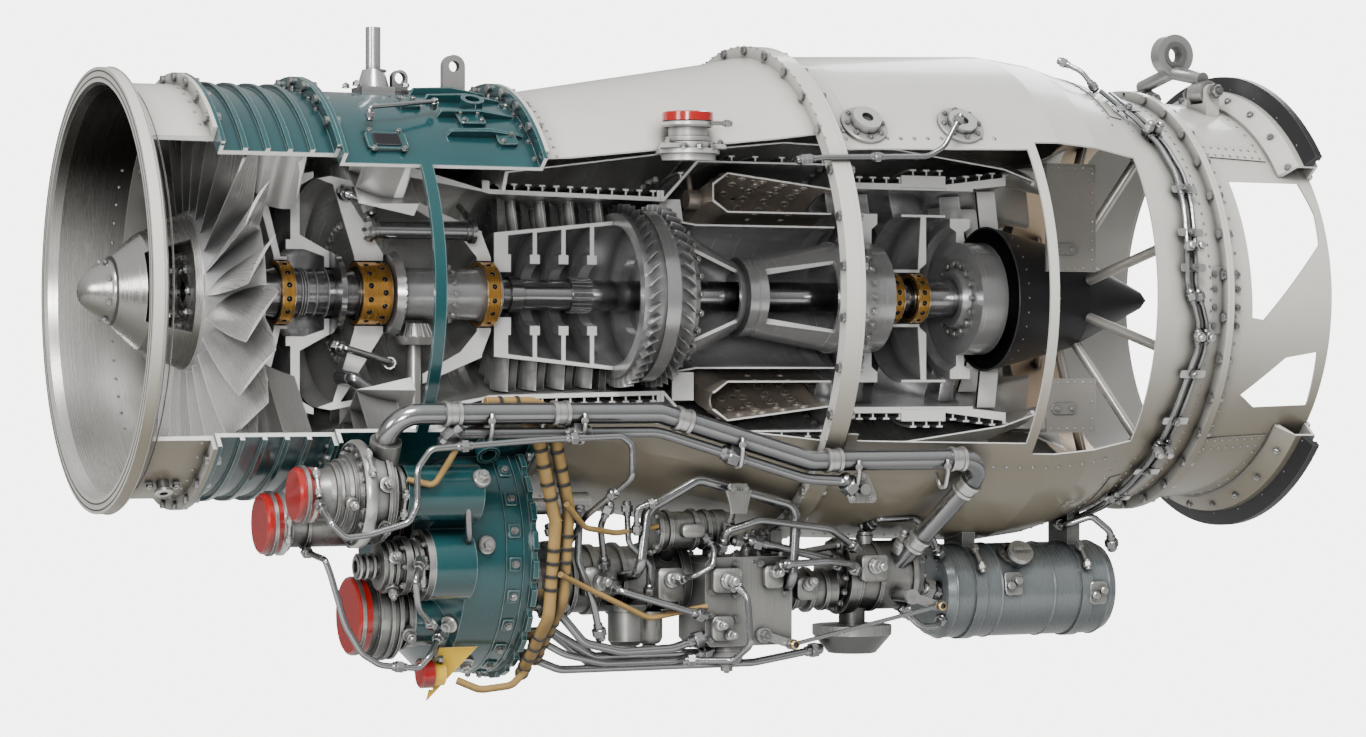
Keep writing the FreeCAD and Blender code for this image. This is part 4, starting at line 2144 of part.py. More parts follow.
save(group(lifting_eye(x2 + eye_front_x, eye_rise, eye_small_r),
           lifting_eye(x2 + eye_rear_x, eye_tall, eye_r)),
     "lifting_eyes")
save(rear_link(), "rear_link")
save(group(bleed_outlet(), duct_ports()), "duct_ports")
save(gearbox(), "gearbox")
starter_body = starter()
save(starter_body, "starter")
save(hydraulic_pump(), "hydraulic_pump")
save(group(alternator(), generator()), "generators")
save(blanks(), "blanks")
save(connector_bracket(), "connector_bracket")
fuel_pump_body = fuel_pump()
save(group(fuel_pump_body, fuel_motor(), oil_filter()), "fuel_pump")
fuel_block_body = fuel_block()
save(fuel_block_body, "fuel_block")
regulator_body = regulator()
save(regulator_body, "regulator")
save(arm(lever_pivot()), "throttle_lever")
save(arm(crank_pivot()), "relay_crank")
save(control_rod(), "control_rod")
save(oil_tank(), "oil_tank")
save(tank_cap(), "tank_cap")
save(group(tank_saddles(), fuel_hanger()), "hangers")
save(air_pipe(), "air_pipe")
save(group(u_pipe(), drain_pipes()), "fuel_pipes")
harness_body = harness()
save(group(harness_body, harness_clips()), "harness")
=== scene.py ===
import math
import bmesh
import bpy
import numpy as np
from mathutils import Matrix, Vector
from mathutils.bvhtree import BVHTree


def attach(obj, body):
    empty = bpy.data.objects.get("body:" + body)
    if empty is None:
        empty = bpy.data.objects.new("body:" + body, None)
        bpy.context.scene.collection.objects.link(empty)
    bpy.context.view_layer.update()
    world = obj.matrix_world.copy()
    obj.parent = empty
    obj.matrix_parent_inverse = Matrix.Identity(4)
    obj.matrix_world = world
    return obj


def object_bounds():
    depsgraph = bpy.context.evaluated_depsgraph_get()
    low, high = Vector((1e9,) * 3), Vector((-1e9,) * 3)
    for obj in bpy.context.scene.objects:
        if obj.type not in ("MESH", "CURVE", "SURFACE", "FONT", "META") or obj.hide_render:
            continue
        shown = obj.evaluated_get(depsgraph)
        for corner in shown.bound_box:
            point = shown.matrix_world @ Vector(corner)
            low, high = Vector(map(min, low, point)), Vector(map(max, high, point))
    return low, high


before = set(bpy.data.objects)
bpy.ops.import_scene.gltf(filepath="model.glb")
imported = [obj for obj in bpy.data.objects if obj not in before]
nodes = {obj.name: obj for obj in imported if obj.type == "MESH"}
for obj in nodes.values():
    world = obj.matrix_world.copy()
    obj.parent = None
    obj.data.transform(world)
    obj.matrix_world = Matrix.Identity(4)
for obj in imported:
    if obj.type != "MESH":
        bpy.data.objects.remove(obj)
cad_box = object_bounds()
chance = np.random.default_rng(28)

# ---- studio
# A pale round floor well below the hanging engine, one large soft light high on the opened
# side, a weaker one from the front and a cool one behind, and a camera level with the shaft.
floor_drop = 1.1
floor_radius = 6.6
bpy.ops.mesh.primitive_circle_add(vertices=96, radius=floor_radius, fill_type="NGON",
                                  location=(0.9, 0, cad_box[0].z - floor_drop))
floor = bpy.context.object
floor.name = "studio_floor"
paper = bpy.data.materials.new("pale_paper")
paper.use_nodes = True
paper_inputs = paper.node_tree.nodes["Principled BSDF"].inputs
paper_inputs["Base Color"].default_value = (0.78, 0.78, 0.76, 1)
paper_inputs["Roughness"].default_value = 0.95
paper_inputs["Specular IOR Level"].default_value = 0.1
floor.data.materials.append(paper)

view_turn = math.radians(24)
view_distance = 5.25
look_through = Vector((0.90825, 0.0, -0.10947))
back_off = Vector((-math.sin(view_turn), -math.cos(view_turn), 0)) * view_distance
camera = bpy.data.objects.new("camera", bpy.data.cameras.new("camera"))
bpy.context.scene.collection.objects.link(camera)
camera.location = look_through + back_off
camera.rotation_mode = "QUATERNION"
camera.rotation_quaternion = (-back_off).to_track_quat("-Z", "Y")
camera.data.lens = 91.26
camera.data.sensor_width = 36
camera.data.clip_end = 200
bpy.context.scene.camera = camera


def soft_light(name, place, aim, size, power, colour):
    """A square area light at a place, turned towards a point."""
    lamp = bpy.data.objects.new(name, bpy.data.lights.new(name, "AREA"))
    bpy.context.scene.collection.objects.link(lamp)
    lamp.data.size = size
    lamp.data.energy = power
    lamp.data.color = colour
    lamp.location = place
    lamp.rotation_mode = "QUATERNION"
    lamp.rotation_quaternion = (Vector(aim) - Vector(place)).to_track_quat("-Z", "Y")


middle = (0.95, 0.0, -0.05)
soft_light("key", (-0.4, -3.6, 3.8), middle, 1.5, 235, (1.0, 0.985, 0.96))
soft_light("front", (-3.8, -2.2, 0.9), middle, 1.3, 70, (1.0, 0.98, 0.95))
soft_light("rim", (3.6, 2.4, 2.2), middle, 1.8, 70, (0.93, 0.97, 1.0))
soft_light("view_side", (-1.5, -4.9, 0.5), (0.95, 0, 0.0), 0.9, 95, (1.0, 0.99, 0.97))


def feed(tree, socket, value):
    """Links a socket to another, or sets it to a number or a colour."""
    if isinstance(value, bpy.types.NodeSocket):
        tree.links.new(value, socket)
    else:
        socket.default_value = value


def shader_node(tree, kind, **inputs):
    """A shader node of a kind, with its named inputs fed."""
    node = tree.nodes.new("ShaderNode" + kind)
    for label, value in inputs.items():
        feed(tree, node.inputs[label.replace("_", " ")], value)
    return node


world = bpy.data.worlds.new("studio")
bpy.context.scene.world = world
world.use_nodes = True
sky = world.node_tree
sky.nodes.clear()
place = shader_node(sky, "TexCoord")
split = shader_node(sky, "SeparateXYZ", Vector=place.outputs["Generated"])
climb = shader_node(sky, "MapRange", Value=split.outputs["Z"], From_Min=-0.45, From_Max=0.8)
shade = shader_node(sky, "ValToRGB", Fac=climb.outputs["Result"])
shade.color_ramp.elements[0].color = (0.07, 0.065, 0.055, 1)
shade.color_ramp.elements[1].color = (1.0, 1.0, 1.0, 1)
lit = shader_node(sky, "Background", Color=shade.outputs["Color"], Strength=0.62)
shown = shader_node(sky, "Background", Color=(1.0, 0.995, 0.98, 1), Strength=5.4)
seen = shader_node(sky, "LightPath")
choose = shader_node(sky, "MixShader", Fac=seen.outputs["Is Camera Ray"])
feed(sky, choose.inputs[1], lit.outputs["Background"])
feed(sky, choose.inputs[2], shown.outputs["Background"])
shader_node(sky, "OutputWorld", Surface=choose.outputs["Shader"])


# ---- intake case
# A turned and rolled intake ring with a rounded lip, enamelled pale outside and left satin
# inside. It bolts to the fan case, and a forged lug is riveted to its underside.
def shader_group(name, inputs, outputs):
    """An empty shader group with named inputs and outputs."""
    tree = bpy.data.node_groups.new(name, "ShaderNodeTree")
    for label, kind, value in inputs:
        socket = tree.interface.new_socket(label, in_out="INPUT", socket_type=kind)
        if value is not None:
            socket.default_value = value
    for label, kind in outputs:
        tree.interface.new_socket(label, in_out="OUTPUT", socket_type=kind)
    return tree, tree.nodes.new("NodeGroupInput"), tree.nodes.new("NodeGroupOutput")


def sum_node(tree, operation, first, second, clamp=False):
    """A maths node between two links or numbers."""
    node = shader_node(tree, "Math")
    node.operation = operation
    node.use_clamp = clamp
    feed(tree, node.inputs[0], first)
    feed(tree, node.inputs[1], second)
    return node.outputs[0]


def edge_highlight_and_outline_group():
    """Edge mask for painted highlights on edges, and for dark outlines where the edge colour is dark: 1 less
    the cosine between the face's normal and a rounded one, broken by noise.
    """
    tree, given, result = shader_group(
        "edge_highlight_and_outline", [("Width", "NodeSocketFloat", 0.002), ("Vector", "NodeSocketVector", None)],
        [("Edge", "NodeSocketFloat")])
    rounded = shader_node(tree, "Bevel", Radius=given.outputs["Width"])
    rounded.samples = 4
    dot = shader_node(tree, "VectorMath")
    dot.operation = "DOT_PRODUCT"
    feed(tree, dot.inputs[0], rounded.outputs["Normal"])
    feed(tree, dot.inputs[1], shader_node(tree, "NewGeometry").outputs["Normal"])
    rough = shader_node(tree, "TexNoise", Scale=90, Vector=given.outputs["Vector"])
    away = sum_node(tree, "SUBTRACT", 1.0, dot.outputs["Value"])
    strong = sum_node(tree, "MULTIPLY", away, 7.0, True)
    broken_up = sum_node(tree, "ADD", rough.outputs["Fac"], 0.35)
    feed(tree, result.inputs["Edge"], sum_node(tree, "MULTIPLY", strong, broken_up, True))
    return tree


def corner_shade_group():
    """Painted shade mask for corners and crevices: how much of the sky over a point is shut off within reach,
    made steeper.
    """
    tree, given, result = shader_group(
        "corner_shade", [("Reach", "NodeSocketFloat", 0.02), ("Depth", "NodeSocketFloat", 1.4)],
        [("CornerShade", "NodeSocketFloat")])
    shut = shader_node(tree, "AmbientOcclusion", Distance=given.outputs["Reach"])
    shut.samples = 6
    hidden = sum_node(tree, "SUBTRACT", 1.0, shut.outputs["AO"])
    feed(tree, result.inputs["CornerShade"], sum_node(tree, "MULTIPLY", hidden, given.outputs["Depth"], True))
    return tree


def mottle_group():
    """A soft cloudy value near 1 from two noises, one broad and one fine, and the fine one as height."""
    tree, given, result = shader_group(
        "mottle", [("Vector", "NodeSocketVector", None), ("Scale", "NodeSocketFloat", 12.0),
                   ("Spread", "NodeSocketFloat", 0.15)],
        [("Value", "NodeSocketFloat"), ("Height", "NodeSocketFloat")])
    place, scale = given.outputs["Vector"], given.outputs["Scale"]
    broad = shader_node(tree, "TexNoise", Detail=4, Vector=place, Scale=scale)
    fine = shader_node(tree, "TexNoise", Vector=place, Scale=sum_node(tree, "MULTIPLY", scale, 22.0))
    both = sum_node(tree, "ADD", broad.outputs["Fac"], sum_node(tree, "MULTIPLY", fine.outputs["Fac"], 0.4))
    swing = sum_node(tree, "MULTIPLY", sum_node(tree, "SUBTRACT", both, 0.7), given.outputs["Spread"])
    feed(tree, result.inputs["Value"], sum_node(tree, "ADD", swing, 1.0))
    feed(tree, result.inputs["Height"], fine.outputs["Fac"])
    return tree


def tool_mark_group():
    """Fine rings along the shaft: a noise squeezed hard along X and stretched round it."""
    tree, given, result = shader_group(
        "tool_marks", [("Vector", "NodeSocketVector", None), ("Pitch", "NodeSocketFloat", 900.0)],
        [("Mark", "NodeSocketFloat")])
    part = shader_node(tree, "SeparateXYZ", Vector=given.outputs["Vector"])
    join = shader_node(tree, "CombineXYZ")
    for axis, squeeze in (("X", given.outputs["Pitch"]), ("Y", 4.0), ("Z", 4.0)):
        feed(tree, join.inputs[axis], sum_node(tree, "MULTIPLY", part.outputs[axis], squeeze))
    mark = shader_node(tree, "TexNoise", Scale=1, Vector=join.outputs["Vector"])
    feed(tree, result.inputs["Mark"], mark.outputs["Fac"])
    return tree


def under_shade_group():
    """Painted shade on the underside: 0 where a face looks up, 1 where it looks down."""
    tree, given, result = shader_group(
        "under_shade", [("Low", "NodeSocketFloat", 0.1), ("High", "NodeSocketFloat", -0.7)],
        [("Under", "NodeSocketFloat")])
    face = shader_node(tree, "NewGeometry")
    part = shader_node(tree, "SeparateXYZ", Vector=face.outputs["Normal"])
    ramp = shader_node(tree, "MapRange", Value=part.outputs["Z"], From_Min=given.outputs["Low"],
                       From_Max=given.outputs["High"])
    ramp.interpolation_type = "SMOOTHSTEP"
    feed(tree, result.inputs["Under"], ramp.outputs["Result"])
    return tree


edge_highlight_and_outline = edge_highlight_and_outline_group()
corner_shade = corner_shade_group()
mottle = mottle_group()
tool_marks = tool_mark_group()
under_shade = under_shade_group()


def metal_finish(name, colour, metal, rough, edge=(0.8, 0.8, 0.78), edge_share=0.7, crevice_shade=(0.008, 0.008, 0.01),
                 crevice_shade_share=0.95, reach=0.02, width=0.0016, cloud=12.0, spread=0.2, marks=0.15, coat=0.0,
                 bump=0.15, under_shade_colour=None, under_shade_share=0.0):
    """A metal or enamel finish: the base colour clouded by mottle, with painted shade on undersides and
    in corners, painted highlights on edges (dark outlines where the edge colour is dark), the roughness
    swung by tool marks, also a shallow bump."""
    material = bpy.data.materials.new(name)
    material.use_nodes = True
    tree = material.node_tree
    shader = tree.nodes["Principled BSDF"]
    place = shader_node(tree, "TexCoord")

    def group(which, **values):
        node = shader_node(tree, "Group")
        node.node_tree = which
        for label, value in values.items():
            feed(tree, node.inputs[label], value)
        if "Vector" in node.inputs:
            feed(tree, node.inputs["Vector"], place.outputs["Object"])
        return node

    def over(share, below, above, blend="MIX"):
        mix = shader_node(tree, "Mix")
        mix.data_type = "RGBA"
        mix.blend_type = blend
        for label, value in (("Factor", share), ("A", below), ("B", above)):
            feed(tree, mix.inputs[label], (*value, 1) if isinstance(value, tuple) else value)
        return mix.outputs["Result"]

    cloudy = group(mottle, Scale=cloud, Spread=spread)
    edge_node = group(edge_highlight_and_outline, Width=width)
    crevice_shade_node = group(corner_shade, Reach=reach, Depth=1.6)
    marked = group(tool_marks)
    plain = over(1, colour, cloudy.outputs["Value"], "MULTIPLY")
    # Painted shade: faces that look down are mixed towards a darker colour.
    if under_shade_colour:
        under_shade_amount = sum_node(tree, "MULTIPLY", group(under_shade).outputs["Under"], under_shade_share)
        plain = over(under_shade_amount, plain, under_shade_colour)
    # Painted shade: corners and crevices, where less sky reaches, are darkened in the base colour.
    crevice_shaded = over(sum_node(tree, "MULTIPLY", crevice_shade_node.outputs["CornerShade"], crevice_shade_share), plain, crevice_shade)
    # Painted highlight: the edge colour, mostly pale, is mixed in along rounded edges; a dark edge colour
    # draws an outline instead.
    edge_painted = over(sum_node(tree, "MULTIPLY", edge_node.outputs["Edge"], edge_share), crevice_shaded, edge)
    swing = sum_node(tree, "MULTIPLY", marked.outputs["Mark"], marks)
    rougher_in_corners = sum_node(tree, "MULTIPLY", crevice_shade_node.outputs["CornerShade"], 0.25)
    base = sum_node(tree, "ADD", swing, rough - marks / 2)
    height = sum_node(tree, "ADD", marked.outputs["Mark"], cloudy.outputs["Height"])
    relief = shader_node(tree, "Bump", Strength=bump, Distance=0.0004, Height=height)
    for label, value in (("Base Color", edge_painted), ("Roughness", sum_node(tree, "ADD", base, rougher_in_corners, True)),
                         ("Metallic", metal), ("Coat Weight", coat), ("Coat Roughness", 0.12),
                         ("Normal", relief.outputs["Normal"])):
        feed(tree, shader.inputs[label], value)
    return material


def dress(name, *zones):
    """Gives a CAD node its finishes: the first is the whole node's, and each later pair is a finish
    with a test on the faces' centres and normals that says where it goes instead."""
    shown = nodes[name].data
    shown.materials.clear()
    shown.materials.append(zones[0])
    count = len(shown.polygons)
    centre = np.empty(count * 3, np.float32)
    normal = np.empty(count * 3, np.float32)
    shown.polygons.foreach_get("center", centre)
    shown.polygons.foreach_get("normal", normal)
    centre = centre.reshape(-1, 3)
    normal = normal.reshape(-1, 3)
    index = np.zeros(count, np.int32)
    for number, (finish, test) in enumerate(zones[1:], 1):
        shown.materials.append(finish)
        index[test(centre, normal)] = number
    shown.polygons.foreach_set("material_index", index)


def radius(centre):
    """Distance from the shaft's axis."""
    return np.hypot(centre[:, 1], centre[:, 2])


def outwards(centre, normal):
    """How far a face looks away from the shaft's axis, 1 straight out and -1 straight in."""
    return (normal[:, 1] * centre[:, 1] + normal[:, 2] * centre[:, 2]) / np.maximum(radius(centre), 1e-6)


def cut_face(centre, normal):
    """Faces sawn along the shaft: they look neither along it nor in or out."""
    return (np.abs(outwards(centre, normal)) < 0.06) & (np.abs(normal[:, 0]) < 0.06)


def inner_face(centre, normal):
    return outwards(centre, normal) < -0.5


def unit(way):
    way = np.array(way, float)
    return way / np.linalg.norm(way)


def across(way):
    """Two directions square to a way and to each other."""
    way = unit(way)
    help_way = (0.0, 0.0, 1.0) if abs(way[2]) < 0.9 else (1.0, 0.0, 0.0)
    side = unit(np.cross(help_way, way))
    return side, np.cross(way, side)


def at(x, r, turn):
    """A point by its place along the shaft, its radius and its angle above level on the opened side."""
    a = math.radians(turn)
    return np.array([x, -r * math.cos(a), r * math.sin(a)])


def outward(turn):
    """The direction straight out from the shaft at an angle above level on the opened side."""
    return at(0.0, 1.0, turn)


def ring_faces(rows, sides, wrap=True):
    """Quads between every ring of points and the next, and from the last back to the first."""
    i, j = np.meshgrid(np.arange(rows if wrap else rows - 1), np.arange(sides), indexing="ij")
    k = (i + 1) % rows
    m = (j + 1) % sides
    return np.stack([i * sides + j, i * sides + m, k * sides + m, k * sides + j], -1).reshape(-1, 4)


def turned(profile, base=(0, 0, 0), way=(1, 0, 0), sides=48):
    """A turned piece: each (distance, radius) of the closed profile carried once round the axis
    and joined to the next by a band of quads."""
    base = np.array(base, float)
    side, other = across(way)
    a = np.arange(sides) * 2 * math.pi / sides
    ring = np.cos(a)[:, None] * side + np.sin(a)[:, None] * other
    along, wide = np.array(profile, float).T
    points = base + along[:, None, None] * unit(way) + wide[:, None, None] * ring[None]
    return points.reshape(-1, 3), ring_faces(len(profile), sides)


def many(shape, spots, size):
    """Copies of one small upright shape, one for each (place, way): its Z axis goes along the way,
    and each is turned by chance."""
    points, faces = shape
    parts = []
    for place, way in spots:
        side, other = across(way)
        a = chance.uniform(0, math.pi)
        one = np.cos(a) * side + np.sin(a) * other
        two = np.cross(unit(way), one)
        parts.append((np.array(place) + size * (points @ np.array([one, two, unit(way)])), faces))
    return parts


def nut_shape():
    """A hexagon head on a washer, 1 across its flats: twelve points a ring, six of them on the
    corners, so that the same rings give the round washer, the hexagon and its chamfer."""
    a = np.arange(12) * math.pi / 6
    hexagon = 0.5 / np.cos(np.mod(a, math.pi / 3) - math.pi / 6)
    rings = [(0 * a, 0), (0 * a + 0.68, 0), (0 * a + 0.68, 0.1), (hexagon, 0.12), (hexagon, 0.55),
             (0 * a + 0.47, 0.64), (0 * a + 0.26, 0.64), (0 * a + 0.24, 0.82), (0 * a, 0.84)]
    points = np.concatenate([np.stack([w * np.cos(a), w * np.sin(a), 0 * a + z], -1) for w, z in rings])
    return points, ring_faces(len(rings), 12)


def rivet_shape():
    """A low dome, 1 across."""
    rings = [(0.0, 0), (0.5, 0), (0.46, 0.12), (0.3, 0.24), (0.0, 0.28)]
    return turned([(z, w) for w, z in rings], way=(0, 0, 1), sides=8)


nut = nut_shape()
rivet = rivet_shape()


def swept(path, size, bend=0.02, sides=12):
    """A round bar or pipe: the path's corners cut back by bend and rounded twice by corner
    cutting, a ring of points square to the path at each stop, and flat ends."""
    path = [np.array(p, float) for p in path]
    stops = [path[0]]
    for before, here, after in zip(path, path[1:], path[2:]):
        back = min(bend, np.linalg.norm(before - here) * 0.45)
        on = min(bend, np.linalg.norm(after - here) * 0.45)
        stops += [here + unit(before - here) * back, here, here + unit(after - here) * on]
    stops = np.array(stops + [path[-1]])
    for _ in range(2):
        near = stops[:-1] * 0.75 + stops[1:] * 0.25
        far = stops[:-1] * 0.25 + stops[1:] * 0.75
        stops = np.vstack([stops[:1], np.stack([near, far], 1).reshape(-1, 3), stops[-1:]])
    keep = np.r_[True, np.linalg.norm(np.diff(stops, axis=0), axis=1) > 1e-5]
    stops = stops[keep]
    way = np.gradient(stops, axis=0)
    way /= np.linalg.norm(way, axis=1)[:, None]
    sides_way = [across(way[0])[0]]
    for w in way[1:]:
        last = sides_way[-1]
        sides_way.append(unit(last - w * np.dot(last, w)))
    side = np.array(sides_way)
    other = np.cross(way, side)
    a = np.arange(sides) * 2 * math.pi / sides
    ring = np.cos(a)[None, :, None] * side[:, None] + np.sin(a)[None, :, None] * other[:, None]
    points = stops[:, None] + ring * size
    points = np.concatenate([np.repeat(stops[:1, None], sides, 1), points,
                             np.repeat(stops[-1:, None], sides, 1)])
    return points.reshape(-1, 3), ring_faces(len(points), sides)


def plate(outline, thick, base, side, up):
    """A flat plate: a corner list in side and up directions, pushed back by its thickness, with a
    fine chamfer round the front."""
    side, up = unit(side), unit(up)
    way = np.cross(side, up)
    flat = np.array(outline, float)
    middle = flat.mean(0)
    small = flat + (middle - flat) / np.linalg.norm(middle - flat, axis=1)[:, None] * min(0.0012, thick / 3)
    rows = []
    for shape, depth in ((flat, 0.0), (flat, thick - 0.001), (small, thick)):
        rows.append(np.array(base) + shape[:, :1] * side + shape[:, 1:] * up + way * depth)
    count = len(flat)
    faces = [tuple(f) for f in ring_faces(3, count, wrap=False)]
    faces += [tuple(range(count))[::-1], tuple(range(2 * count, 3 * count))]
    return np.concatenate(rows), faces


def round_corners(wide, high, corner, steps=4):
    """The corner list of a rectangle with rounded corners, about its middle."""
    out = []
    for quarter, (sx, sy) in enumerate(((1, 1), (-1, 1), (-1, -1), (1, -1))):
        for a in np.linspace(quarter, quarter + 1, steps) * math.pi / 2:
            out.append((sx * (wide / 2 - corner) + corner * math.cos(a),
                        sy * (high / 2 - corner) + corner * math.sin(a)))
    return out


def arc_band(section, turn_from, turn_to, step=3.0):
    """A bar bent round the shaft: a closed list of (place along, radius) carried from one angle to
    another, with flat ends."""
    turns = np.radians(np.linspace(turn_from, turn_to, max(2, int(abs(turn_to - turn_from) / step) + 1)))
    shape = np.array(section, float)
    points = np.stack([np.broadcast_to(shape[:, 0], (len(turns), len(shape))),
                       -np.cos(turns)[:, None] * shape[:, 1], np.sin(turns)[:, None] * shape[:, 1]], -1)
    count = len(shape)
    faces = [tuple(f) for f in ring_faces(len(turns), count, wrap=False)]
    faces += [tuple(range(count)), tuple(range((len(turns) - 1) * count, len(turns) * count))[::-1]]
    return points.reshape(-1, 3), faces


def fit_piece(name, parts, finish, body="engine", smooth=35):
    """Joins the parts into one closed mesh, welds doubles, turns the faces outwards, smooths all
    but the sharp edges, and fixes the piece to its body."""
    points, faces, start = [], [], 0
    for part_points, part_faces in parts:
        points.append(part_points)
        faces += [tuple(int(i) + start for i in face) for face in part_faces]
        start += len(part_points)
    mesh = bpy.data.meshes.new(name)
    mesh.from_pydata(np.concatenate(points), [], faces)
    work = bmesh.new()
    work.from_mesh(mesh)
    bmesh.ops.remove_doubles(work, verts=work.verts, dist=1e-6)
    bmesh.ops.dissolve_degenerate(work, edges=work.edges, dist=1e-7)
    bmesh.ops.recalc_face_normals(work, faces=work.faces)
    work.to_mesh(mesh)
    work.free()
    mesh.shade_smooth()
    mesh.set_sharp_from_angle(angle=math.radians(smooth))
    mesh.materials.append(finish)
    piece = bpy.data.objects.new(name, mesh)
    bpy.context.scene.collection.objects.link(piece)
    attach(piece, body)
    return piece


skins = {}


def touch(node, start, way):
    """The first point and normal of a CAD node's surface met from a point along a way."""
    if node not in skins:
        mesh = nodes[node].data
        skins[node] = BVHTree.FromPolygons([v.co[:] for v in mesh.vertices],
                                           [tuple(p.vertices) for p in mesh.polygons])
    place, normal, _, _ = skins[node].ray_cast(Vector(start), Vector(unit(way)))
    if place is None:
        return None, None
    normal = np.array(normal)
    if np.dot(normal, way) > 0:
        normal = -normal
    return np.array(place), normal


def skin(node, x, turn, reach=0.5):
    """The outside of a CAD node at a place along the shaft and an angle."""
    return touch(node, at(x, reach, turn), -outward(turn))


def nuts_on(node, marks, reach=0.5, lean=-1):
    """The (place, way) pairs where a node has an outside at the marks (place along, angle). The way
    looks out from the shaft by more than lean."""
    found = [skin(node, x, turn, reach) for x, turn in marks]
    return [(p, w) for p, w in found if p is not None and np.dot(w, unit([0, p[1], p[2]])) > lean]


def touches(node, starts, way):
    """The (place, way) pairs where a node is met from the starts along one way."""
    found = [touch(node, start, way) for start in starts]
    return [(p, w) for p, w in found if p is not None]


def fit_nuts(name, spots, size, finish=None, body="engine", shape=nut):
    """One piece of nuts, or of rivets, of one size at (place, way) pairs, in bolt steel if no finish
    is given."""
    fit_piece(name, many(shape, spots, size), finish or bolt_steel, body)


def along_row(x_from, x_to, turn, pitch):
    """Marks in a line along the shaft."""
    return [(x, turn) for x in np.arange(x_from, x_to + 1e-6, pitch)]


def round_row(x, turn_from, turn_to, pitch):
    """Marks in a ring round the shaft."""
    return [(x, turn) for turn in np.arange(turn_from, turn_to + 1e-6, pitch)]


# duct_enamel: painted shade darkens it to beige brown where faces look down and in corners; its edges get
# dark outlines.
duct_enamel = metal_finish("duct_enamel", (0.78, 0.77, 0.72), 0.0, 0.34, spread=0.10, coat=0.4,
                           crevice_shade_share=0.85, edge=(0.32, 0.32, 0.31), edge_share=0.5, marks=0.05, bump=0.04,
                           reach=0.03, under_shade_colour=(0.17, 0.143, 0.098), under_shade_share=0.96)
# intake_inside: painted shade turns the downward-looking top of the bore near black.
intake_inside = metal_finish("intake_inside", (0.76, 0.75, 0.73), 0.7, 0.27, reach=0.09, spread=0.2,
                             marks=0.2, crevice_shade_share=0.6, under_shade_colour=(0.010, 0.008, 0.006), under_shade_share=1.0)
duct_inside = metal_finish("duct_inside", (0.60, 0.59, 0.56), 0.55, 0.36, reach=0.04, spread=0.3,
                           crevice_shade_share=0.7, under_shade_colour=(0.10, 0.095, 0.085), under_shade_share=0.75)
section_face = metal_finish("section_face", (0.93, 0.93, 0.92), 0.0, 0.45, edge=(0.03, 0.03, 0.03),
                            edge_share=0.85, width=0.0013, spread=0.08, marks=0.1, crevice_shade_share=0.6)
bolt_steel = metal_finish("bolt_steel", (0.40, 0.40, 0.40), 0.9, 0.3, reach=0.006, width=0.0006)
bare_alloy = metal_finish("bare_alloy", (0.62, 0.62, 0.61), 0.8, 0.30, reach=0.025)
dress("intake_case", duct_enamel, (intake_inside, inner_face), (section_face, cut_face))

lip_lines = []
for line_x in (0.016, 0.024, 0.033):
    line_r = np.linalg.norm(skin("intake_case", line_x, 90)[0][1:])
    lip_lines.append(turned([(line_x - 0.0013, line_r - 0.0008), (line_x, line_r + 0.0012),
                             (line_x + 0.0013, line_r - 0.0008)], sides=160))
fit_piece("lip_beads", lip_lines, bare_alloy)
# Painted shade: two thin near-black rings on the lip's front face stand for the shadow in grooves; the same
# dark finish also marks the nose cap's seam.
dark_seam_and_groove_shade = metal_finish("dark_seam_and_groove_shade", (0.045, 0.045, 0.048), 0.5, 0.4, edge=(0.4, 0.4, 0.4), edge_share=0.4)
fit_piece("lip_groove_shade", [turned([(0.0004, r - 0.0011), (-0.0005, r - 0.0008), (-0.0005, r + 0.0008),
                                (0.0004, r + 0.0011)], sides=180) for r in (0.3005, 0.3095)], dark_seam_and_groove_shade)

lug_turn = -65
lug_foot, _ = skin("intake_case", 0.064, lug_turn)
lug_out = outward(lug_turn)
lug_side = np.cross(lug_out, (1, 0, 0))
lug = [plate(round_corners(0.052, 0.034, 0.01), 0.008, lug_foot - lug_out * 0.004, (1, 0, 0), lug_side * -1),
       turned([(-0.002, 0.009), (0.010, 0.009), (0.013, 0.013), (0.017, 0.013), (0.018, 0.0115),
               (0.018, 0.006), (-0.002, 0.006)], lug_foot, lug_out, 32)]
lug += many(nut, [(lug_foot + lug_out * 0.003 + (s, 0, 0), lug_out) for s in (-0.019, 0.019)], 0.009)
fit_piece("intake_lug", lug, bare_alloy)
fit_nuts("intake_rivets", nuts_on("intake_case", round_row(0.098, -178, 180, 6)), 0.005, shape=rivet)

# ---- fan case
# A ribbed alloy casting round the fans, enamelled blue green, with bolted flanges at both
# ends. The stator ring and both fans sit inside it.
# teal_enamel: painted pale highlights on its edges, painted shade on undersides and in corners.
teal_enamel = metal_finish("teal_enamel", (0.010, 0.082, 0.092), 0.15, 0.24, edge=(0.50, 0.68, 0.66),
                           edge_share=0.75, coat=0.9, spread=0.5, marks=0.06, crevice_shade=(0.0, 0.012, 0.015),
                           under_shade_colour=(0.004, 0.03, 0.035), under_shade_share=0.8, bump=0.08)
dress("fan_case", teal_enamel, (duct_inside, inner_face), (section_face, cut_face))
case_studs = []
for stud_x in (0.125, 0.279):
    case_studs += round_row(stud_x, 60, 200, 7.5) + round_row(stud_x, -160, -40, 7.5)
fit_nuts("fan_case_studs", nuts_on("fan_case", case_studs), 0.0055)

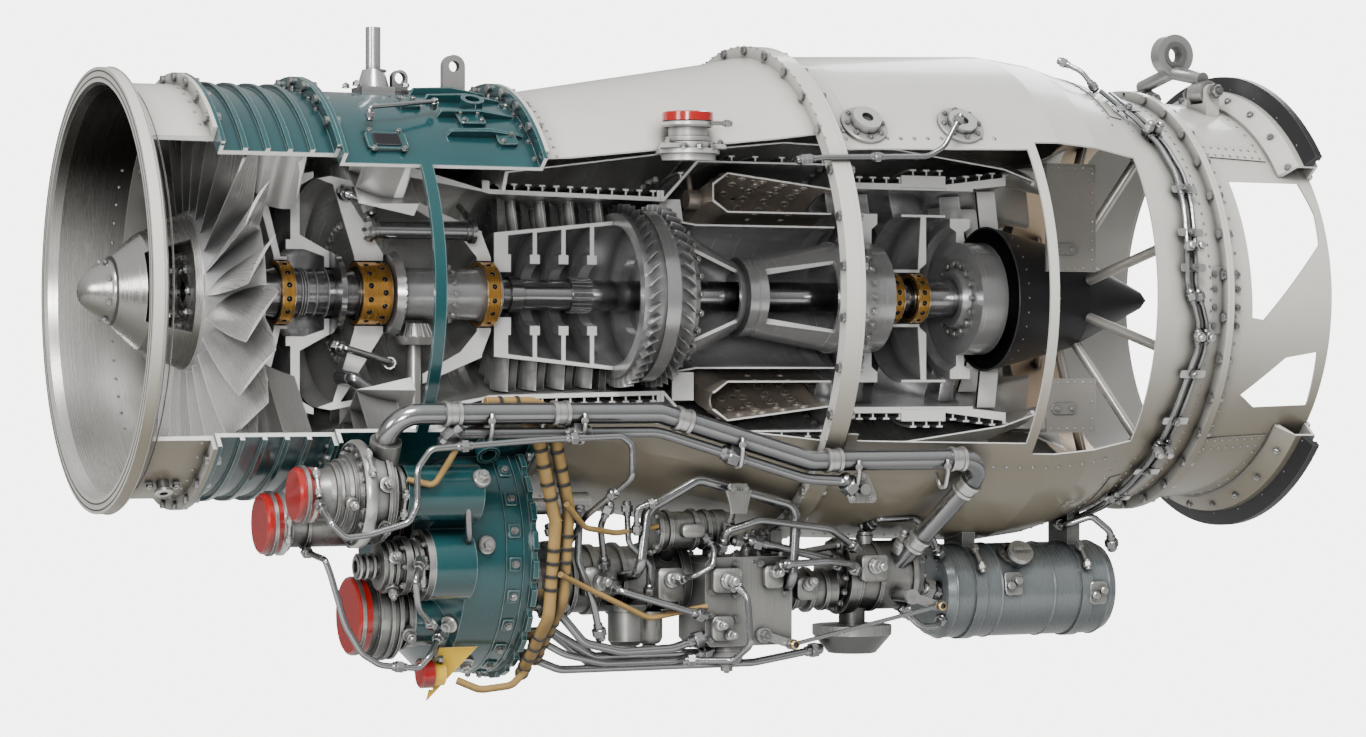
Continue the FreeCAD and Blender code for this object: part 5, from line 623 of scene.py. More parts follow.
# ---- fan rotor
# Two discs of twisted blades on the low speed shaft behind a spun spinner. The spinner has a
# screwed nose cap and a window that shows the bolts of the front disc.
# blade_alloy: near-white painted highlights along the blades' edges.
blade_alloy = metal_finish("blade_alloy", (0.70, 0.69, 0.68), 0.6, 0.28, reach=0.04, crevice_shade_share=0.8,
                           edge=(0.97, 0.97, 0.95), edge_share=0.85, spread=0.25, width=0.002)
steel_turned = metal_finish("steel_turned", (0.58, 0.58, 0.59), 0.72, 0.24, reach=0.025, crevice_shade_share=0.75)
spun_alloy = metal_finish("spun_alloy", (0.55, 0.54, 0.52), 0.9, 0.26, reach=0.03, marks=0.3,
                          under_shade_colour=(0.12, 0.115, 0.10), under_shade_share=0.9)
dress("spinner", spun_alloy)
dress("fan_disc_front", steel_turned)
dress("fan_blades_front", blade_alloy)
dress("fan_disc_rear", steel_turned,
      (section_face, lambda c, n: (n[:, 1] < -0.99) & (np.abs(c[:, 1]) < 0.004)))
dress("fan_blades_rear", blade_alloy)
cap = [(-0.0243, 0.0), (-0.0240, 0.0050), (-0.0230, 0.0105), (-0.0208, 0.0155), (-0.0170, 0.0207),
       (-0.0110, 0.0264), (-0.0040, 0.0316), (0.0050, 0.0372), (0.0130, 0.0427), (0.0195, 0.0480),
       (0.0203, 0.0478), (0.0205, 0.0462)]
fit_piece("nose_cap", [turned(cap, sides=96)], spun_alloy, "low_rotor", smooth=60)
fit_piece("nose_seam", [turned([(0.0203, 0.0462), (0.0206, 0.0483), (0.0222, 0.0496), (0.0238, 0.0493)],
                               sides=96)], dark_seam_and_groove_shade, "low_rotor")
fit_nuts("nose_screws", [(at(0.0120, 0.0425, t), outward(t) * 0.82 - (0.57, 0, 0))
                         for t in np.arange(0, 360, 45) + 22.5], 0.0062, body="low_rotor")
hub_bolts = touches("fan_disc_front", [at(0.05, r, t) for r, count in ((0.052, 10), (0.078, 20), (0.096, 20))
                                       for t in np.arange(-180, 180, 360 / count)], (1, 0, 0))
fit_nuts("disc_bolts", [(p, w) for p, w in hub_bolts if w[0] < -0.7], 0.011, bare_alloy, "low_rotor")

# ---- intermediate case
# The main casting behind the fans, enamelled blue green: it carries the spigot, the lifting
# eyes and the gearbox. Pads, ribs, studs and unions stand on it.
dress("intermediate_case", teal_enamel, (duct_inside, inner_face), (section_face, cut_face))
hot_black = metal_finish("hot_black", (0.022, 0.022, 0.026), 0.4, 0.36, edge=(0.30, 0.30, 0.32), reach=0.03)
dress("front_spigot", steel_turned)
dress("lifting_eyes", bare_alloy)
dress("tower_shaft", bare_alloy)
pads = []
for pad_x, pad_turn, wide, long in ((0.362, 45, 0.034, 0.060), (0.425, 66, 0.030, 0.034),
                                    (0.505, 57, 0.034, 0.040), (0.545, 47, 0.024, 0.030),
                                    (0.330, 118, 0.040, 0.05), (0.50, 140, 0.05, 0.07)):
    foot, way = skin("intermediate_case", pad_x, pad_turn)
    pads.append(plate(round_corners(long, wide, 0.006), 0.009, foot - way * 0.003, (1, 0, 0),
                      np.cross(way, (1, 0, 0))))
fit_piece("case_pads", pads, teal_enamel)
ribs = []
for rib_turn in (50, 60, 72, 84, 96, 110, 130, 150, 170):
    foot, way = skin("intermediate_case", 0.49, rib_turn)
    r = np.linalg.norm(foot[1:])
    shape = [(0.455, r - 0.002), (0.462, r + 0.010), (0.520, r + 0.013), (0.572, r + 0.004),
             (0.575, r - 0.002)]
    side = np.cross(outward(rib_turn), (1, 0, 0))
    points = [np.array([x, 0, 0]) + outward(rib_turn) * h for x, h in shape]
    flat = [((p - points[0]) @ np.array([1, 0, 0]), (p - points[0]) @ outward(rib_turn)) for p in points]
    ribs.append(plate(flat, 0.005, points[0] - side * 0.0025, (1, 0, 0), outward(rib_turn)))
fit_piece("case_ribs", ribs, teal_enamel)
pad_nuts = [(0.340, 41.5), (0.384, 41.5), (0.340, 48.5), (0.384, 48.5), (0.415, 64), (0.435, 64), (0.415, 68),
            (0.435, 68), (0.492, 55), (0.518, 55), (0.492, 59), (0.518, 59), (0.318, 114), (0.342, 114),
            (0.318, 122), (0.342, 122), (0.537, 45.5), (0.553, 48.5)]
fit_nuts("pad_nuts", [(p + w * 0.006, w) for p, w in nuts_on("intermediate_case", pad_nuts)], 0.0065)
foot, way = skin("intermediate_case", 0.362, 45)
fit_piece("case_window", [plate(round_corners(0.040, 0.024, 0.004), 0.003, foot + way * 0.005, (1, 0, 0),
                                np.cross(way, (1, 0, 0)))], hot_black)
studs = round_row(0.297, 42, 200, 7) + round_row(0.297, -160, -52, 7)
studs += round_row(0.578, 40, 200, 7) + round_row(0.578, -160, -52, 7)
fit_nuts("case_nuts", nuts_on("intermediate_case", studs), 0.0058)
fit_nuts("spigot_nuts", [((x, y, 0.300), (0, 0, 1)) for x in (0.380, 0.455) for y in (-0.024, 0.024)], 0.010)
collar = turned([(0.022, 0.0125), (0.023, 0.0165), (0.026, 0.0165), (0.027, 0.0125)], (0.417, 0, 0.30),
                (0, 0, 1), 40)
fit_piece("spigot_collars", [collar], bolt_steel)


def union(place, way, size):
    """A pipe union: a hexagon nut between two collars, coned down to the pipe at both ends."""
    side, other = across(way)
    a = np.arange(12) * math.pi / 6
    hexagon = size / np.cos(np.mod(a, math.pi / 3) - math.pi / 6)
    rings = [(0 * a, -1.5), (0 * a + 0.62 * size, -1.5), (0 * a + 0.85 * size, -1.2),
             (0 * a + 0.85 * size, -0.7), (0 * a + size * 0.97, -0.7), (hexagon, -0.6), (hexagon, 0.5),
             (0 * a + size * 0.97, 0.6), (0 * a + 0.78 * size, 0.6), (0 * a + 0.78 * size, 1.3),
             (0 * a + 0.5 * size, 1.5), (0 * a, 1.5)]
    points = [np.array(place) + (w * np.cos(a))[:, None] * side + (w * np.sin(a))[:, None] * other
              + z * size * unit(way) for w, z in rings]
    return np.concatenate(points), ring_faces(len(rings), 12)


def pipe_run(path, size, bend=0.025, ends=True, unions=()):
    """A pipe with a union at each end and at the listed shares of its straight legs."""
    path = [np.array(p, float) for p in path]
    parts = [swept(path, size, bend)]
    if ends:
        parts.append(union(path[0] + unit(path[1] - path[0]) * size * 2.4, path[1] - path[0], size * 1.7))
        parts.append(union(path[-1] + unit(path[-2] - path[-1]) * size * 2.4, path[-2] - path[-1],
                           size * 1.7))
    for leg, share in unions:
        parts.append(union(path[leg] + (path[leg + 1] - path[leg]) * share, path[leg + 1] - path[leg],
                           size * 1.7))
    return parts


pipe_bright = metal_finish("pipe_bright", (0.50, 0.51, 0.52), 0.95, 0.18, reach=0.022, spread=0.15,
                           under_shade_colour=(0.06, 0.06, 0.065), under_shade_share=0.75, marks=0.05)
case_pipes = pipe_run([at(0.345, 0.302, 52), at(0.345, 0.318, 54), at(0.400, 0.318, 56), at(0.452, 0.312, 60),
                       at(0.452, 0.300, 60)], 0.0034, 0.012)
fit_piece("case_pipes", case_pipes, pipe_bright)

# ---- core
# Bearings, shafts, compressor, burner and turbines down the middle, sawn in half or through
# windows. Bare steel, with bronze cages, bolted joints and finned seal strips.
shaft_bright = metal_finish("shaft_bright", (0.62, 0.62, 0.64), 1.0, 0.14, reach=0.05, marks=0.12,
                            spread=0.12, under_shade_colour=(0.10, 0.10, 0.105), under_shade_share=0.6)
cage_bronze = metal_finish("cage_bronze", (0.66, 0.33, 0.07), 0.8, 0.28, reach=0.012, edge=(1.0, 0.76, 0.36),
                           edge_share=0.9)
hot_steel = metal_finish("hot_steel", (0.52, 0.46, 0.40), 0.6, 0.34, reach=0.025, spread=0.5, cloud=9.0,
                         crevice_shade_share=0.7)
pale_alloy = metal_finish("pale_alloy", (0.70, 0.70, 0.68), 0.55, 0.36, reach=0.03, spread=0.2)
for name in ("fan_stator", "splitter", "front_hub", "hpc_case", "core_cowl"):
    dress(name, bare_alloy, (section_face, cut_face))
for name in ("compressor_drum", "compressor_rear_wheel", "high_shaft", "front_turbine", "rear_turbine"):
    dress(name, steel_turned, (section_face, cut_face))
for name in ("front_nozzle", "rear_nozzle", "turbine_case", "burner_case"):
    dress(name, steel_turned, (section_face, cut_face))
dress("flame_tube", hot_steel, (section_face, cut_face))
dress("burners", hot_steel)
dress("low_shaft", shaft_bright)
dress("high_stub_shaft", steel_turned)
race_steel = metal_finish("race_steel", (0.030, 0.030, 0.034), 0.9, 0.13, edge=(0.35, 0.35, 0.36),
                          reach=0.008)


def rolling(centre, normal):
    """The faces of the balls: neither the cage's own turned skin nor its flat sides."""
    away = centre.copy()
    away[:, 0] = 0
    rise = (normal * away).sum(1) / np.maximum(radius(centre), 1e-6)
    return (rise > 0.15) & (rise < 0.9985)


dress("low_bearing_cages", cage_bronze, (race_steel, rolling))
dress("high_bearing_cages", cage_bronze, (race_steel, rolling))


def cage_rims(node, body):
    """Two narrow bright bands round the ends of every cage of a node."""
    met = [(x, skin(node, x, 0, 0.1)[0]) for x in np.arange(0.255, 1.33, 0.0005)]
    met = [(x, np.linalg.norm(hit[1:])) for x, hit in met if hit is not None]
    ends = [0] + [k for k in range(1, len(met)) if met[k][0] - met[k - 1][0] > 0.0008] + [len(met)]
    rims = []
    for first, past in zip(ends[:-1], ends[1:]):
        if past - first < 8:
            continue
        r = min(height for _, height in met[first:past])
        for side_x, inward in ((met[first][0], 1), (met[past - 1][0], -1)):
            rims.append(turned([(side_x, r - 0.0004), (side_x + inward * 0.0004, r + 0.0010),
                                (side_x + inward * 0.0016, r + 0.0010),
                                (side_x + inward * 0.0020, r - 0.0004)], sides=72))
    fit_piece(node + "_rims", rims, bearing_bright, body)


bearing_bright = metal_finish("bearing_bright", (0.82, 0.60, 0.30), 0.9, 0.16, reach=0.01,
                              edge=(1.0, 0.9, 0.7))
cage_rims("low_bearing_cages", "low_cages")
cage_rims("high_bearing_cages", "high_cages")


def face_nuts(name, node, x_from, way_x, r, count, size, body):
    """A ring of nuts on the face of a turned piece, met from a place along the shaft."""
    met = touches(node, [at(x_from, r, t) for t in np.linspace(-180, 180, count, endpoint=False)],
                  (way_x, 0, 0))
    fit_nuts(name, [(p, w) for p, w in met if w[0] * way_x < -0.6], size, bare_alloy, body)


def ring_nuts(name, node, x, count, size, body="high_rotor"):
    """A ring of nuts standing outwards on a turned piece."""
    marks = [(x, t) for t in np.linspace(-180, 180, count, endpoint=False)]
    fit_nuts(name, nuts_on(node, marks, 0.2, 0.5), size, bare_alloy, body)


ring_nuts("stub_shaft_nuts", "high_stub_shaft", 0.528, 14, 0.007)
ring_nuts("wheel_joint_nuts", "high_shaft", 0.890, 24, 0.009)
ring_nuts("turbine_joint_nuts", "high_shaft", 1.192, 24, 0.009)
face_nuts("wheel_nuts", "compressor_rear_wheel", 0.95, -1, 0.09, 20, 0.009, "high_rotor")
face_nuts("turbine_nuts", "front_turbine", 1.10, 1, 0.095, 20, 0.009, "high_rotor")
face_nuts("rear_turbine_nuts", "rear_turbine", 1.30, 1, 0.055, 16, 0.009, "low_rotor")
hub_nuts = []
for hub_x, hub_r, face in ((0.36, 0.10, 1), (0.36, 0.15, 1), (0.60, 0.13, -1)):
    hub_nuts += touches("front_hub", [at(hub_x, hub_r, t) for t in np.arange(100, 262, 9)], (face, 0, 0))
fit_nuts("hub_nuts", hub_nuts, 0.009, bare_alloy)
liner_eyes = []
for eye_x in (0.985, 1.015, 1.050, 1.085, 1.120):
    for t in np.arange(96, 266, 11 if eye_x < 1.05 else 8):
        place, way = touch("flame_tube", at(eye_x, 0.168, t), outward(t))
        if place is not None:
            liner_eyes.append(turned([(-0.001, 0.0045), (0.0022, 0.0050), (0.0022, 0.0078), (-0.001, 0.0085)],
                                     place, way, 20))
fit_piece("liner_eyelets", liner_eyes, hot_steel)
strips = []
for strip_x in np.arange(0.640, 0.860, 0.0095):
    hit, way = touch("hpc_case", at(strip_x, 0.15, 180), outward(180))
    if hit is not None:
        r = np.linalg.norm(hit[1:])
        strips.append(arc_band([(strip_x, r + 0.001), (strip_x + 0.0015, r - 0.004),
                                (strip_x + 0.003, r + 0.001)], 93, 267, 5))
fit_piece("compressor_liners", strips, bare_alloy)


def sectioned(name, arcs, finish, body="engine"):
    """A piece made of bent bars that stop at the plane through the shaft: their sawn ends are pale."""
    piece = fit_piece(name, arcs, finish, body)
    shape = piece.data
    shape.materials.append(section_face)
    normal = np.empty(len(shape.polygons) * 3, np.float32)
    centre = np.empty(len(shape.polygons) * 3, np.float32)
    shape.polygons.foreach_get("normal", normal)
    shape.polygons.foreach_get("center", centre)
    sawn = (np.abs(normal[1::3]) > 0.99) & (np.abs(centre[1::3]) < 0.006)
    shape.polygons.foreach_set("material_index", sawn.astype(np.int32))


def tee_rings(node, stations, stem, head, thick, reach):
    """Stiffening rings with a tee section standing on the far half of a case."""
    arcs = []
    for x in stations:
        hit, _ = skin(node, x, 180, reach)
        if hit is None or hit[1] < 0:
            continue
        r = np.linalg.norm(hit[1:])
        half, wide, top = thick / 2, head / 2, stem + thick
        arcs.append(arc_band([(x - half, r - 0.001), (x - half, r + stem), (x - wide, r + stem),
                              (x - wide, r + top), (x + wide, r + top), (x + wide, r + stem),
                              (x + half, r + stem), (x + half, r - 0.001)], 90.4, 269.6, 4))
    return arcs


sectioned("compressor_case_rings",
          tee_rings("hpc_case", np.arange(0.612, 0.862, 0.0225), 0.007, 0.010, 0.003, 0.2), bare_alloy)
sectioned("burner_case_rings", tee_rings("burner_case", (0.905, 0.935, 0.990, 1.030, 1.075, 1.120, 1.145),
                                         0.006, 0.010, 0.0028, 0.24), steel_turned)
sectioned("turbine_case_rings", tee_rings("turbine_case", np.arange(1.185, 1.455, 0.0235), 0.007, 0.011,
                                          0.003, 0.24), steel_turned)
sectioned("cowl_rings", tee_rings("core_cowl", (0.66, 0.76, 0.86, 0.96, 1.06, 1.16, 1.26, 1.36, 1.43), 0.005,
                                  0.012, 0.0025, 0.29), bare_alloy)
sectioned("splitter_rings", tee_rings("splitter", (0.36, 0.40, 0.45, 0.50, 0.545), 0.005, 0.011, 0.003, 0.25),
          bare_alloy)
shaft_rings = []
for ring_x in (0.296, 0.300, 0.304, 0.318, 0.336):
    hit, _ = skin("low_shaft", ring_x, 0, 0.1)
    if hit is not None:
        r = np.linalg.norm(hit[1:])
        shaft_rings.append(turned([(ring_x - 0.0012, r - 0.0005), (ring_x - 0.0006, r + 0.0022),
                                   (ring_x + 0.0006, r + 0.0022), (ring_x + 0.0012, r - 0.0005)], sides=64))
fit_piece("shaft_fins", shaft_rings, steel_turned, "low_rotor")
breather = [turned([(0.0, 0.0), (0.0, 0.019), (0.005, 0.019), (0.005, 0.0155), (0.012, 0.0155),
                    (0.012, 0.0135), (0.150, 0.0135), (0.150, 0.0155), (0.157, 0.0155), (0.157, 0.019),
                    (0.163, 0.019), (0.163, 0.0)], (0.392, -0.040, 0.092), (1, 0, 0), 40)]
breather += [swept([(x, -0.040, 0.098), (x, -0.022, 0.118), (x, 0.004, 0.130)], 0.0045, 0.01, 10)
             for x in (0.400, 0.548)]
fit_piece("breather_tube", breather, pipe_bright)
fit_nuts("breather_nuts", [((0.392, -0.040 + 0.0155 * math.cos(a), 0.092 + 0.0155 * math.sin(a)), (-1, 0, 0))
                           for a in np.arange(6) * math.pi / 3], 0.005)
scavenge = pipe_run([(0.362, -0.004, -0.122), (0.370, -0.036, -0.124), (0.430, -0.036, -0.166),
                     (0.442, -0.004, -0.178)], 0.0115, 0.012, ends=False)
scavenge += pipe_run([(0.352, -0.004, -0.078), (0.360, -0.030, -0.080), (0.428, -0.030, -0.100),
                      (0.440, 0.0, -0.104)], 0.0055, 0.012)
scavenge += pipe_run([(0.362, -0.004, 0.148), (0.368, -0.028, 0.142), (0.395, -0.030, 0.132),
                      (0.402, -0.032, 0.112)], 0.006, 0.012)
fit_piece("oil_tubes", scavenge, pipe_bright)
fit_nuts("core_joint_nuts", [(at(x, r, t), (face, 0, 0))
                             for x, r, face in ((0.868, 0.176, -1), (1.160, 0.205, -1), (1.172, 0.205, 1))
                             for t in np.arange(93, 268, 8)], 0.009, bare_alloy)

# ---- bypass ducts
# Two rolled and riveted ducts, enamelled pale, cut open on the near side. Port rings are
# welded on top and a bleed outlet stands above the window.
for name in ("front_bypass_duct", "rear_bypass_duct"):
    dress(name, duct_enamel, (duct_inside, inner_face), (section_face, cut_face))
dress("duct_ports", pale_alloy)
dress("flange_bolts", bolt_steel)
duct_rivets = []
for node, rings, pitch, x_from, x_to in (
        ("rear_bypass_duct", ((1.045, 40, 200), (1.045, -160, -34), (1.520, 48, 200), (1.520, -160, -44),
                              (1.560, 48, 200), (1.560, -160, -44), (1.640, -178, 180)), 3, 1.05, 1.50),
        ("front_bypass_duct", ((0.610, 40, 200), (0.610, -160, -34), (0.995, 36, 200), (0.995, -160, -30)),
         3.5, 0.63, 0.98)):
    marks = [mark for ring in rings for mark in round_row(*ring, pitch)]
    marks += [mark for turn in (-78, 96, 180, -120) for mark in along_row(x_from, x_to, turn, 0.02)]
    duct_rivets += nuts_on(node, marks, lean=0.7)
fit_nuts("duct_rivets", duct_rivets, 0.0048, shape=rivet)

seam_band = []
for band_x, wide, spread in ((1.528, 0.022, (52, 150)), (1.528, 0.022, (-150, -52)),
                             (1.036, 0.016, (40, 200)), (1.036, 0.016, (-160, -34))):
    foot, way = skin("rear_bypass_duct", band_x, (spread[0] + spread[1]) / 2)
    foot_b, _ = skin("rear_bypass_duct", band_x + wide, (spread[0] + spread[1]) / 2)
    r, r_b = np.linalg.norm(foot[1:]), np.linalg.norm(foot_b[1:])
    seam_band.append(arc_band([(band_x, r - 0.001), (band_x, r + 0.002), (band_x + wide, r_b + 0.002),
                               (band_x + wide, r_b - 0.001)], *spread))
fit_piece("duct_straps", seam_band, duct_enamel)

port_parts, port_nuts = [], []
for port_x in (1.076, 1.234):
    way = outward(42)
    foot = skin("rear_bypass_duct", port_x + 0.035, 42)[0] - (0.035, 0, 0)
    port_parts.append(turned([(-0.012, 0.0226), (-0.012, 0.036), (0.0015, 0.036), (0.003, 0.0345),
                              (0.003, 0.0226)], foot, way, 64))
    side, other = across(way)
    for a in np.arange(8) * math.pi / 4:
        port_nuts.append((foot + way * 0.003 + (side * math.cos(a) + other * math.sin(a)) * 0.029, way))
fit_piece("port_flanges", port_parts, pale_alloy)
fit_nuts("port_nuts", port_nuts, 0.0062)

bleed = np.array([0.799, -0.262, 0.0])
up = np.array([0, 0, 1.0])
bleed_parts = [turned([(0.236, 0.0283), (0.236, 0.034), (0.239, 0.037), (0.243, 0.037), (0.246, 0.034),
                       (0.246, 0.0283)], bleed, up, 64),
               turned([(0.216, 0.0283), (0.216, 0.032), (0.222, 0.032), (0.222, 0.0283)], bleed, up, 64),
               turned([(0.198, 0.0403), (0.198, 0.046), (0.204, 0.046), (0.206, 0.0403)], bleed, up, 64)]
clamp_turns = [math.radians(turn) for turn in (210, 330, 90)]
triangle = [(0.056 * math.cos(a + d), 0.056 * math.sin(a + d)) for a in clamp_turns for d in (-0.16, 0.16)]
bleed_parts.append(plate(triangle, 0.006, bleed + up * 0.205, (1, 0, 0), (0, 1, 0)))
fit_piece("bleed_clamp", bleed_parts, pale_alloy)
bleed_nuts = [(bleed + (0.047 * math.cos(a), 0.047 * math.sin(a), 0.211), up) for a in clamp_turns]
bleed_nuts += [(bleed + (0.043 * math.cos(a), 0.043 * math.sin(a), 0.204), up)
               for a in np.arange(12) * math.pi / 6 if math.sin(a) < 0.4]
fit_nuts("bleed_nuts", bleed_nuts, 0.009)
clamp_bolt = [swept([bleed + (0.02, -0.036, 0.241), bleed + (0.046, -0.036, 0.241)], 0.003),
              union(bleed + (0.046, -0.036, 0.241), (1, 0, 0), 0.005)]
fit_piece("bleed_clamp_bolt", clamp_bolt, bolt_steel)

sensing = pipe_run([(0.940, -0.330, 0.189), (0.985, -0.333, 0.194), (1.150, -0.333, 0.199),
                    (1.176, -0.336, 0.214), (1.207, -0.330, 0.262)], 0.0042, 0.02,
                   unions=((0, 0.4), (1, 0.5)))
fit_piece("sensing_pipe", sensing, pipe_bright)

# ---- window frames
# Rows of small domed screws along the saw cuts in the two ducts, where the skin is held to its
# frame.
window_screws = []
for node, x_from, x_to, turn in (("front_bypass_duct", 0.63, 1.00, 36.5),
                                 ("front_bypass_duct", 0.63, 1.00, -31), ("rear_bypass_duct", 1.04, 1.30, 38),
                                 ("rear_bypass_duct", 1.05, 1.50, -43)):
    window_screws += nuts_on(node, along_row(x_from, x_to, turn, 0.022), lean=0.8)
fit_nuts("window_screws", window_screws, 0.006, shape=rivet)

# ---- exhaust
# A black plug, a lobed mixer that folds the cool and the hot streams together, and the inner
# pipe's heat shield. Sheet metal, spot welded and riveted.
mixer_steel = metal_finish("mixer_steel", (0.58, 0.56, 0.53), 0.7, 0.34, reach=0.05, spread=0.3)
shield_tan = metal_finish("shield_tan", (0.62, 0.47, 0.33), 0.55, 0.38, reach=0.05, spread=0.25)
dress("exhaust_plug", hot_black, (section_face, cut_face))
dress("mixer", mixer_steel, (section_face, cut_face))
dress("inner_pipe", mixer_steel, (shield_tan, inner_face), (section_face, cut_face))
strut_ends = [touch("rear_bypass_duct", at(1.62, 0.15, t), outward(t)) for t in np.arange(100, 262, 20)]
fit_nuts("shield_nuts", [(p + (s, 0, 0), w) for p, w in strut_ends if p is not None for s in (-0.012, 0.012)],
         0.009, bare_alloy)

spots = [(x, z) for z in (0.047, 0.203, -0.131, -0.203) for x in np.arange(1.479, 1.553, 0.0145)]
spots += [(1.5535, z) for z in np.arange(0.060, 0.195, 0.015)] + [(1.5535, z)
                                                                  for z in (-0.146, -0.161, -0.188)]
panel_y = -0.122
met = touches("mixer", [(x, -0.30, z) for x, z in spots], (0, 1, 0))
fit_nuts("panel_rivets", [(p, w) for p, w in met if abs(p[1] - panel_y) < 0.002], 0.0035, bare_alloy,
         shape=rivet)
doublers = []
for z in (0.076, -0.172):
    stadium = [(-0.014 - 0.009 * math.cos(a), 0.009 * math.sin(a)) for a in np.linspace(-1.57, 1.57, 9)]
    stadium += [(-x, -y) for x, y in stadium]
    doublers.append(plate(stadium, 0.0022, (1.502, -0.1218, z), (1, 0, 0), (0, 0, 1)))
    doublers += many(nut, [((1.502 + s, -0.1242, z), (0, -1, 0)) for s in (-0.013, 0.013)], 0.006)
fit_piece("panel_doublers", doublers, bare_alloy)
plug_rivets = nuts_on("exhaust_plug", [(x, t) for x in (1.448, 1.512) for t in range(-180, 180, 12)], 0.3,
                      0.8)
fit_nuts("plug_rivets", [(p, w) for p, w in plug_rivets if np.linalg.norm(p[1:]) < 0.125], 0.003, shape=rivet)

# ---- jet pipe and seal
# Four rolled panels joined edge to edge under riveted straps, a bolted flange in front and a
# stepped carrier with a rubber ring behind. The mounting link swings on two pins on top.
dress("jet_pipe", duct_enamel, (duct_inside, inner_face), (section_face, cut_face))
dress("seal_carrier", duct_enamel, (duct_inside, inner_face), (section_face, cut_face))
seal_rubber = metal_finish("seal_rubber", (0.016, 0.016, 0.018), 0.0, 0.42, edge=(0.2, 0.2, 0.21), marks=0.05)
dress("rear_seal", seal_rubber)
dress("rear_link", bare_alloy)
strap_parts, strap_rivets = [], []
strap_from, strap_to = 1.684, 1.80
for turn in (45, -45, 135, -135):
    r_a, r_b = (np.linalg.norm(skin("jet_pipe", x, turn + 2)[0][1:]) for x in (strap_from, strap_to))
    strap_parts.append(arc_band([(strap_from, r_a + 0.0003), (strap_from, r_a + 0.0022),
                                 (strap_to, r_b + 0.0022), (strap_to, r_b + 0.0003)], turn - 2.4, turn + 2.4,
                                1.2))
    for x in np.arange(strap_from + 0.008, strap_to, 0.014):
        r = r_a + (r_b - r_a) * (x - strap_from) / (strap_to - strap_from) + 0.002
        strap_rivets += [(at(x, r, turn + s), outward(turn + s)) for s in (-1.5, 1.5)]
fit_piece("jet_pipe_straps", strap_parts, duct_enamel)
strap_rivets += nuts_on("jet_pipe", round_row(1.690, -178, 180, 5) + round_row(1.795, 50, 200, 5) +
                        round_row(1.795, -160, -50, 5))
fit_nuts("jet_pipe_rivets", strap_rivets, 0.0052, shape=rivet)
carrier_rows = round_row(1.822, -178, 180, 12) + round_row(1.850, -172, 180, 12)
fit_nuts("carrier_nuts", nuts_on("seal_carrier", carrier_rows), 0.0085)
plate_r = np.linalg.norm(skin("rear_bypass_duct", 1.655, 0)[0][1:])
plate_parts = [arc_band([(1.640, plate_r - 0.004), (1.640, plate_r + 0.003), (1.700, plate_r - 0.001),
                         (1.700, plate_r - 0.006)], -10, 8, 3)]
fit_piece("side_plate", plate_parts, pale_alloy)
plate_nuts = [(at(x, plate_r + 0.001, t), outward(t)) for x in (1.648, 1.690) for t in (-8, -3, 2, 6)]
fit_nuts("side_plate_nuts", plate_nuts, 0.0075)
link_bush = [turned([(-0.0135, 0.0135), (-0.0135, 0.020), (0.0135, 0.020), (0.0135, 0.0135)],
                    (1.774, 0, 0.397), (0, 1, 0), 48)]
fit_piece("link_bush", link_bush, bolt_steel, "rear_link")
fit_nuts("link_pin_nuts", [((1.774, y, 0.330), (0, face, 0))
                           for y, face in ((-0.1285, -1), (0.1285, 1), (-0.056, 1), (0.056, -1))], 0.017)

# ---- rear manifolds
# Two thin fuel drain and pressure pipes run round the back of the rear duct side by side,
# clipped down every few degrees, with hexagon unions and tee blocks.
route = [(1.548, 64), (1.553, 58), (1.573, 51), (1.590, 42), (1.600, 33), (1.597, 23.5), (1.589, 12),
         (1.585, 2.7), (1.600, -3), (1.609, -7), (1.611, -14), (1.592, -29), (1.588, -36), (1.584, -46.5),
         (1.571, -56), (1.550, -66), (1.520, -76)]
manifolds, clips, clip_nuts, blocks = [], [], [], []
for shift in (0.0, 0.016):
    path = [skin("rear_bypass_duct", x + shift, t)[0] + outward(t) * 0.011 for x, t in route]
    manifolds.append(swept(path, 0.0042, 0.03, 10))
    for i in (2, 4, 7, 9, 12, 14):
        manifolds.append(union((path[i] + path[i + 1]) / 2, path[i + 1] - path[i], 0.0078))
for x, t in ((1.560, 55), (1.597, 28), (1.590, 16), (1.588, 7), (1.600, -20), (1.590, -33), (1.580, -50),
             (1.56, -61)):
    foot, _ = skin("rear_bypass_duct", x + 0.008, t)
    side = np.cross(outward(t), (1, 0, 0))
    clips.append(plate(round_corners(0.044, 0.012, 0.003), 0.0022, foot + outward(t) * 0.0145, (1, 0, 0),
                       -side))
    clips.append(plate(round_corners(0.008, 0.010, 0.002), 0.015, foot, (1, 0, 0), -side))
    clip_nuts.append((foot + outward(t) * 0.0165, outward(t)))
for x, t, long, wide in ((1.585, 46, 0.034, 0.020), (1.593, 12, 0.030, 0.026), (1.612, -10, 0.034, 0.020),
                         (1.588, -41, 0.030, 0.020)):
    foot, _ = skin("rear_bypass_duct", x, t)
    side = np.cross(outward(t), (1, 0, 0))
    blocks.append(plate(round_corners(long, wide, 0.004), 0.020, foot, (1, 0, 0), -side))
    blocks += [union(foot + outward(t) * 0.026 + (s, 0, 0), outward(t), 0.007) for s in (-0.008, 0.009)]
fit_piece("rear_manifolds", manifolds, pipe_bright)
fit_piece("manifold_clips", clips, bare_alloy)
fit_nuts("manifold_clip_nuts", clip_nuts, 0.009)
fit_piece("manifold_blocks", blocks, bare_alloy)
drains = pipe_run([at(1.520, 0.362, -78), (1.50, -0.13, -0.352), (1.535, -0.15, -0.338),
                   (1.562, -0.16, -0.362), (1.572, -0.15, -0.392)], 0.0055, 0.02)
drains += pipe_run([at(1.548, 0.352, 66), at(1.530, 0.375, 70), at(1.500, 0.386, 74)], 0.0042, 0.02)
fit_piece("rear_drains", drains, pipe_bright)

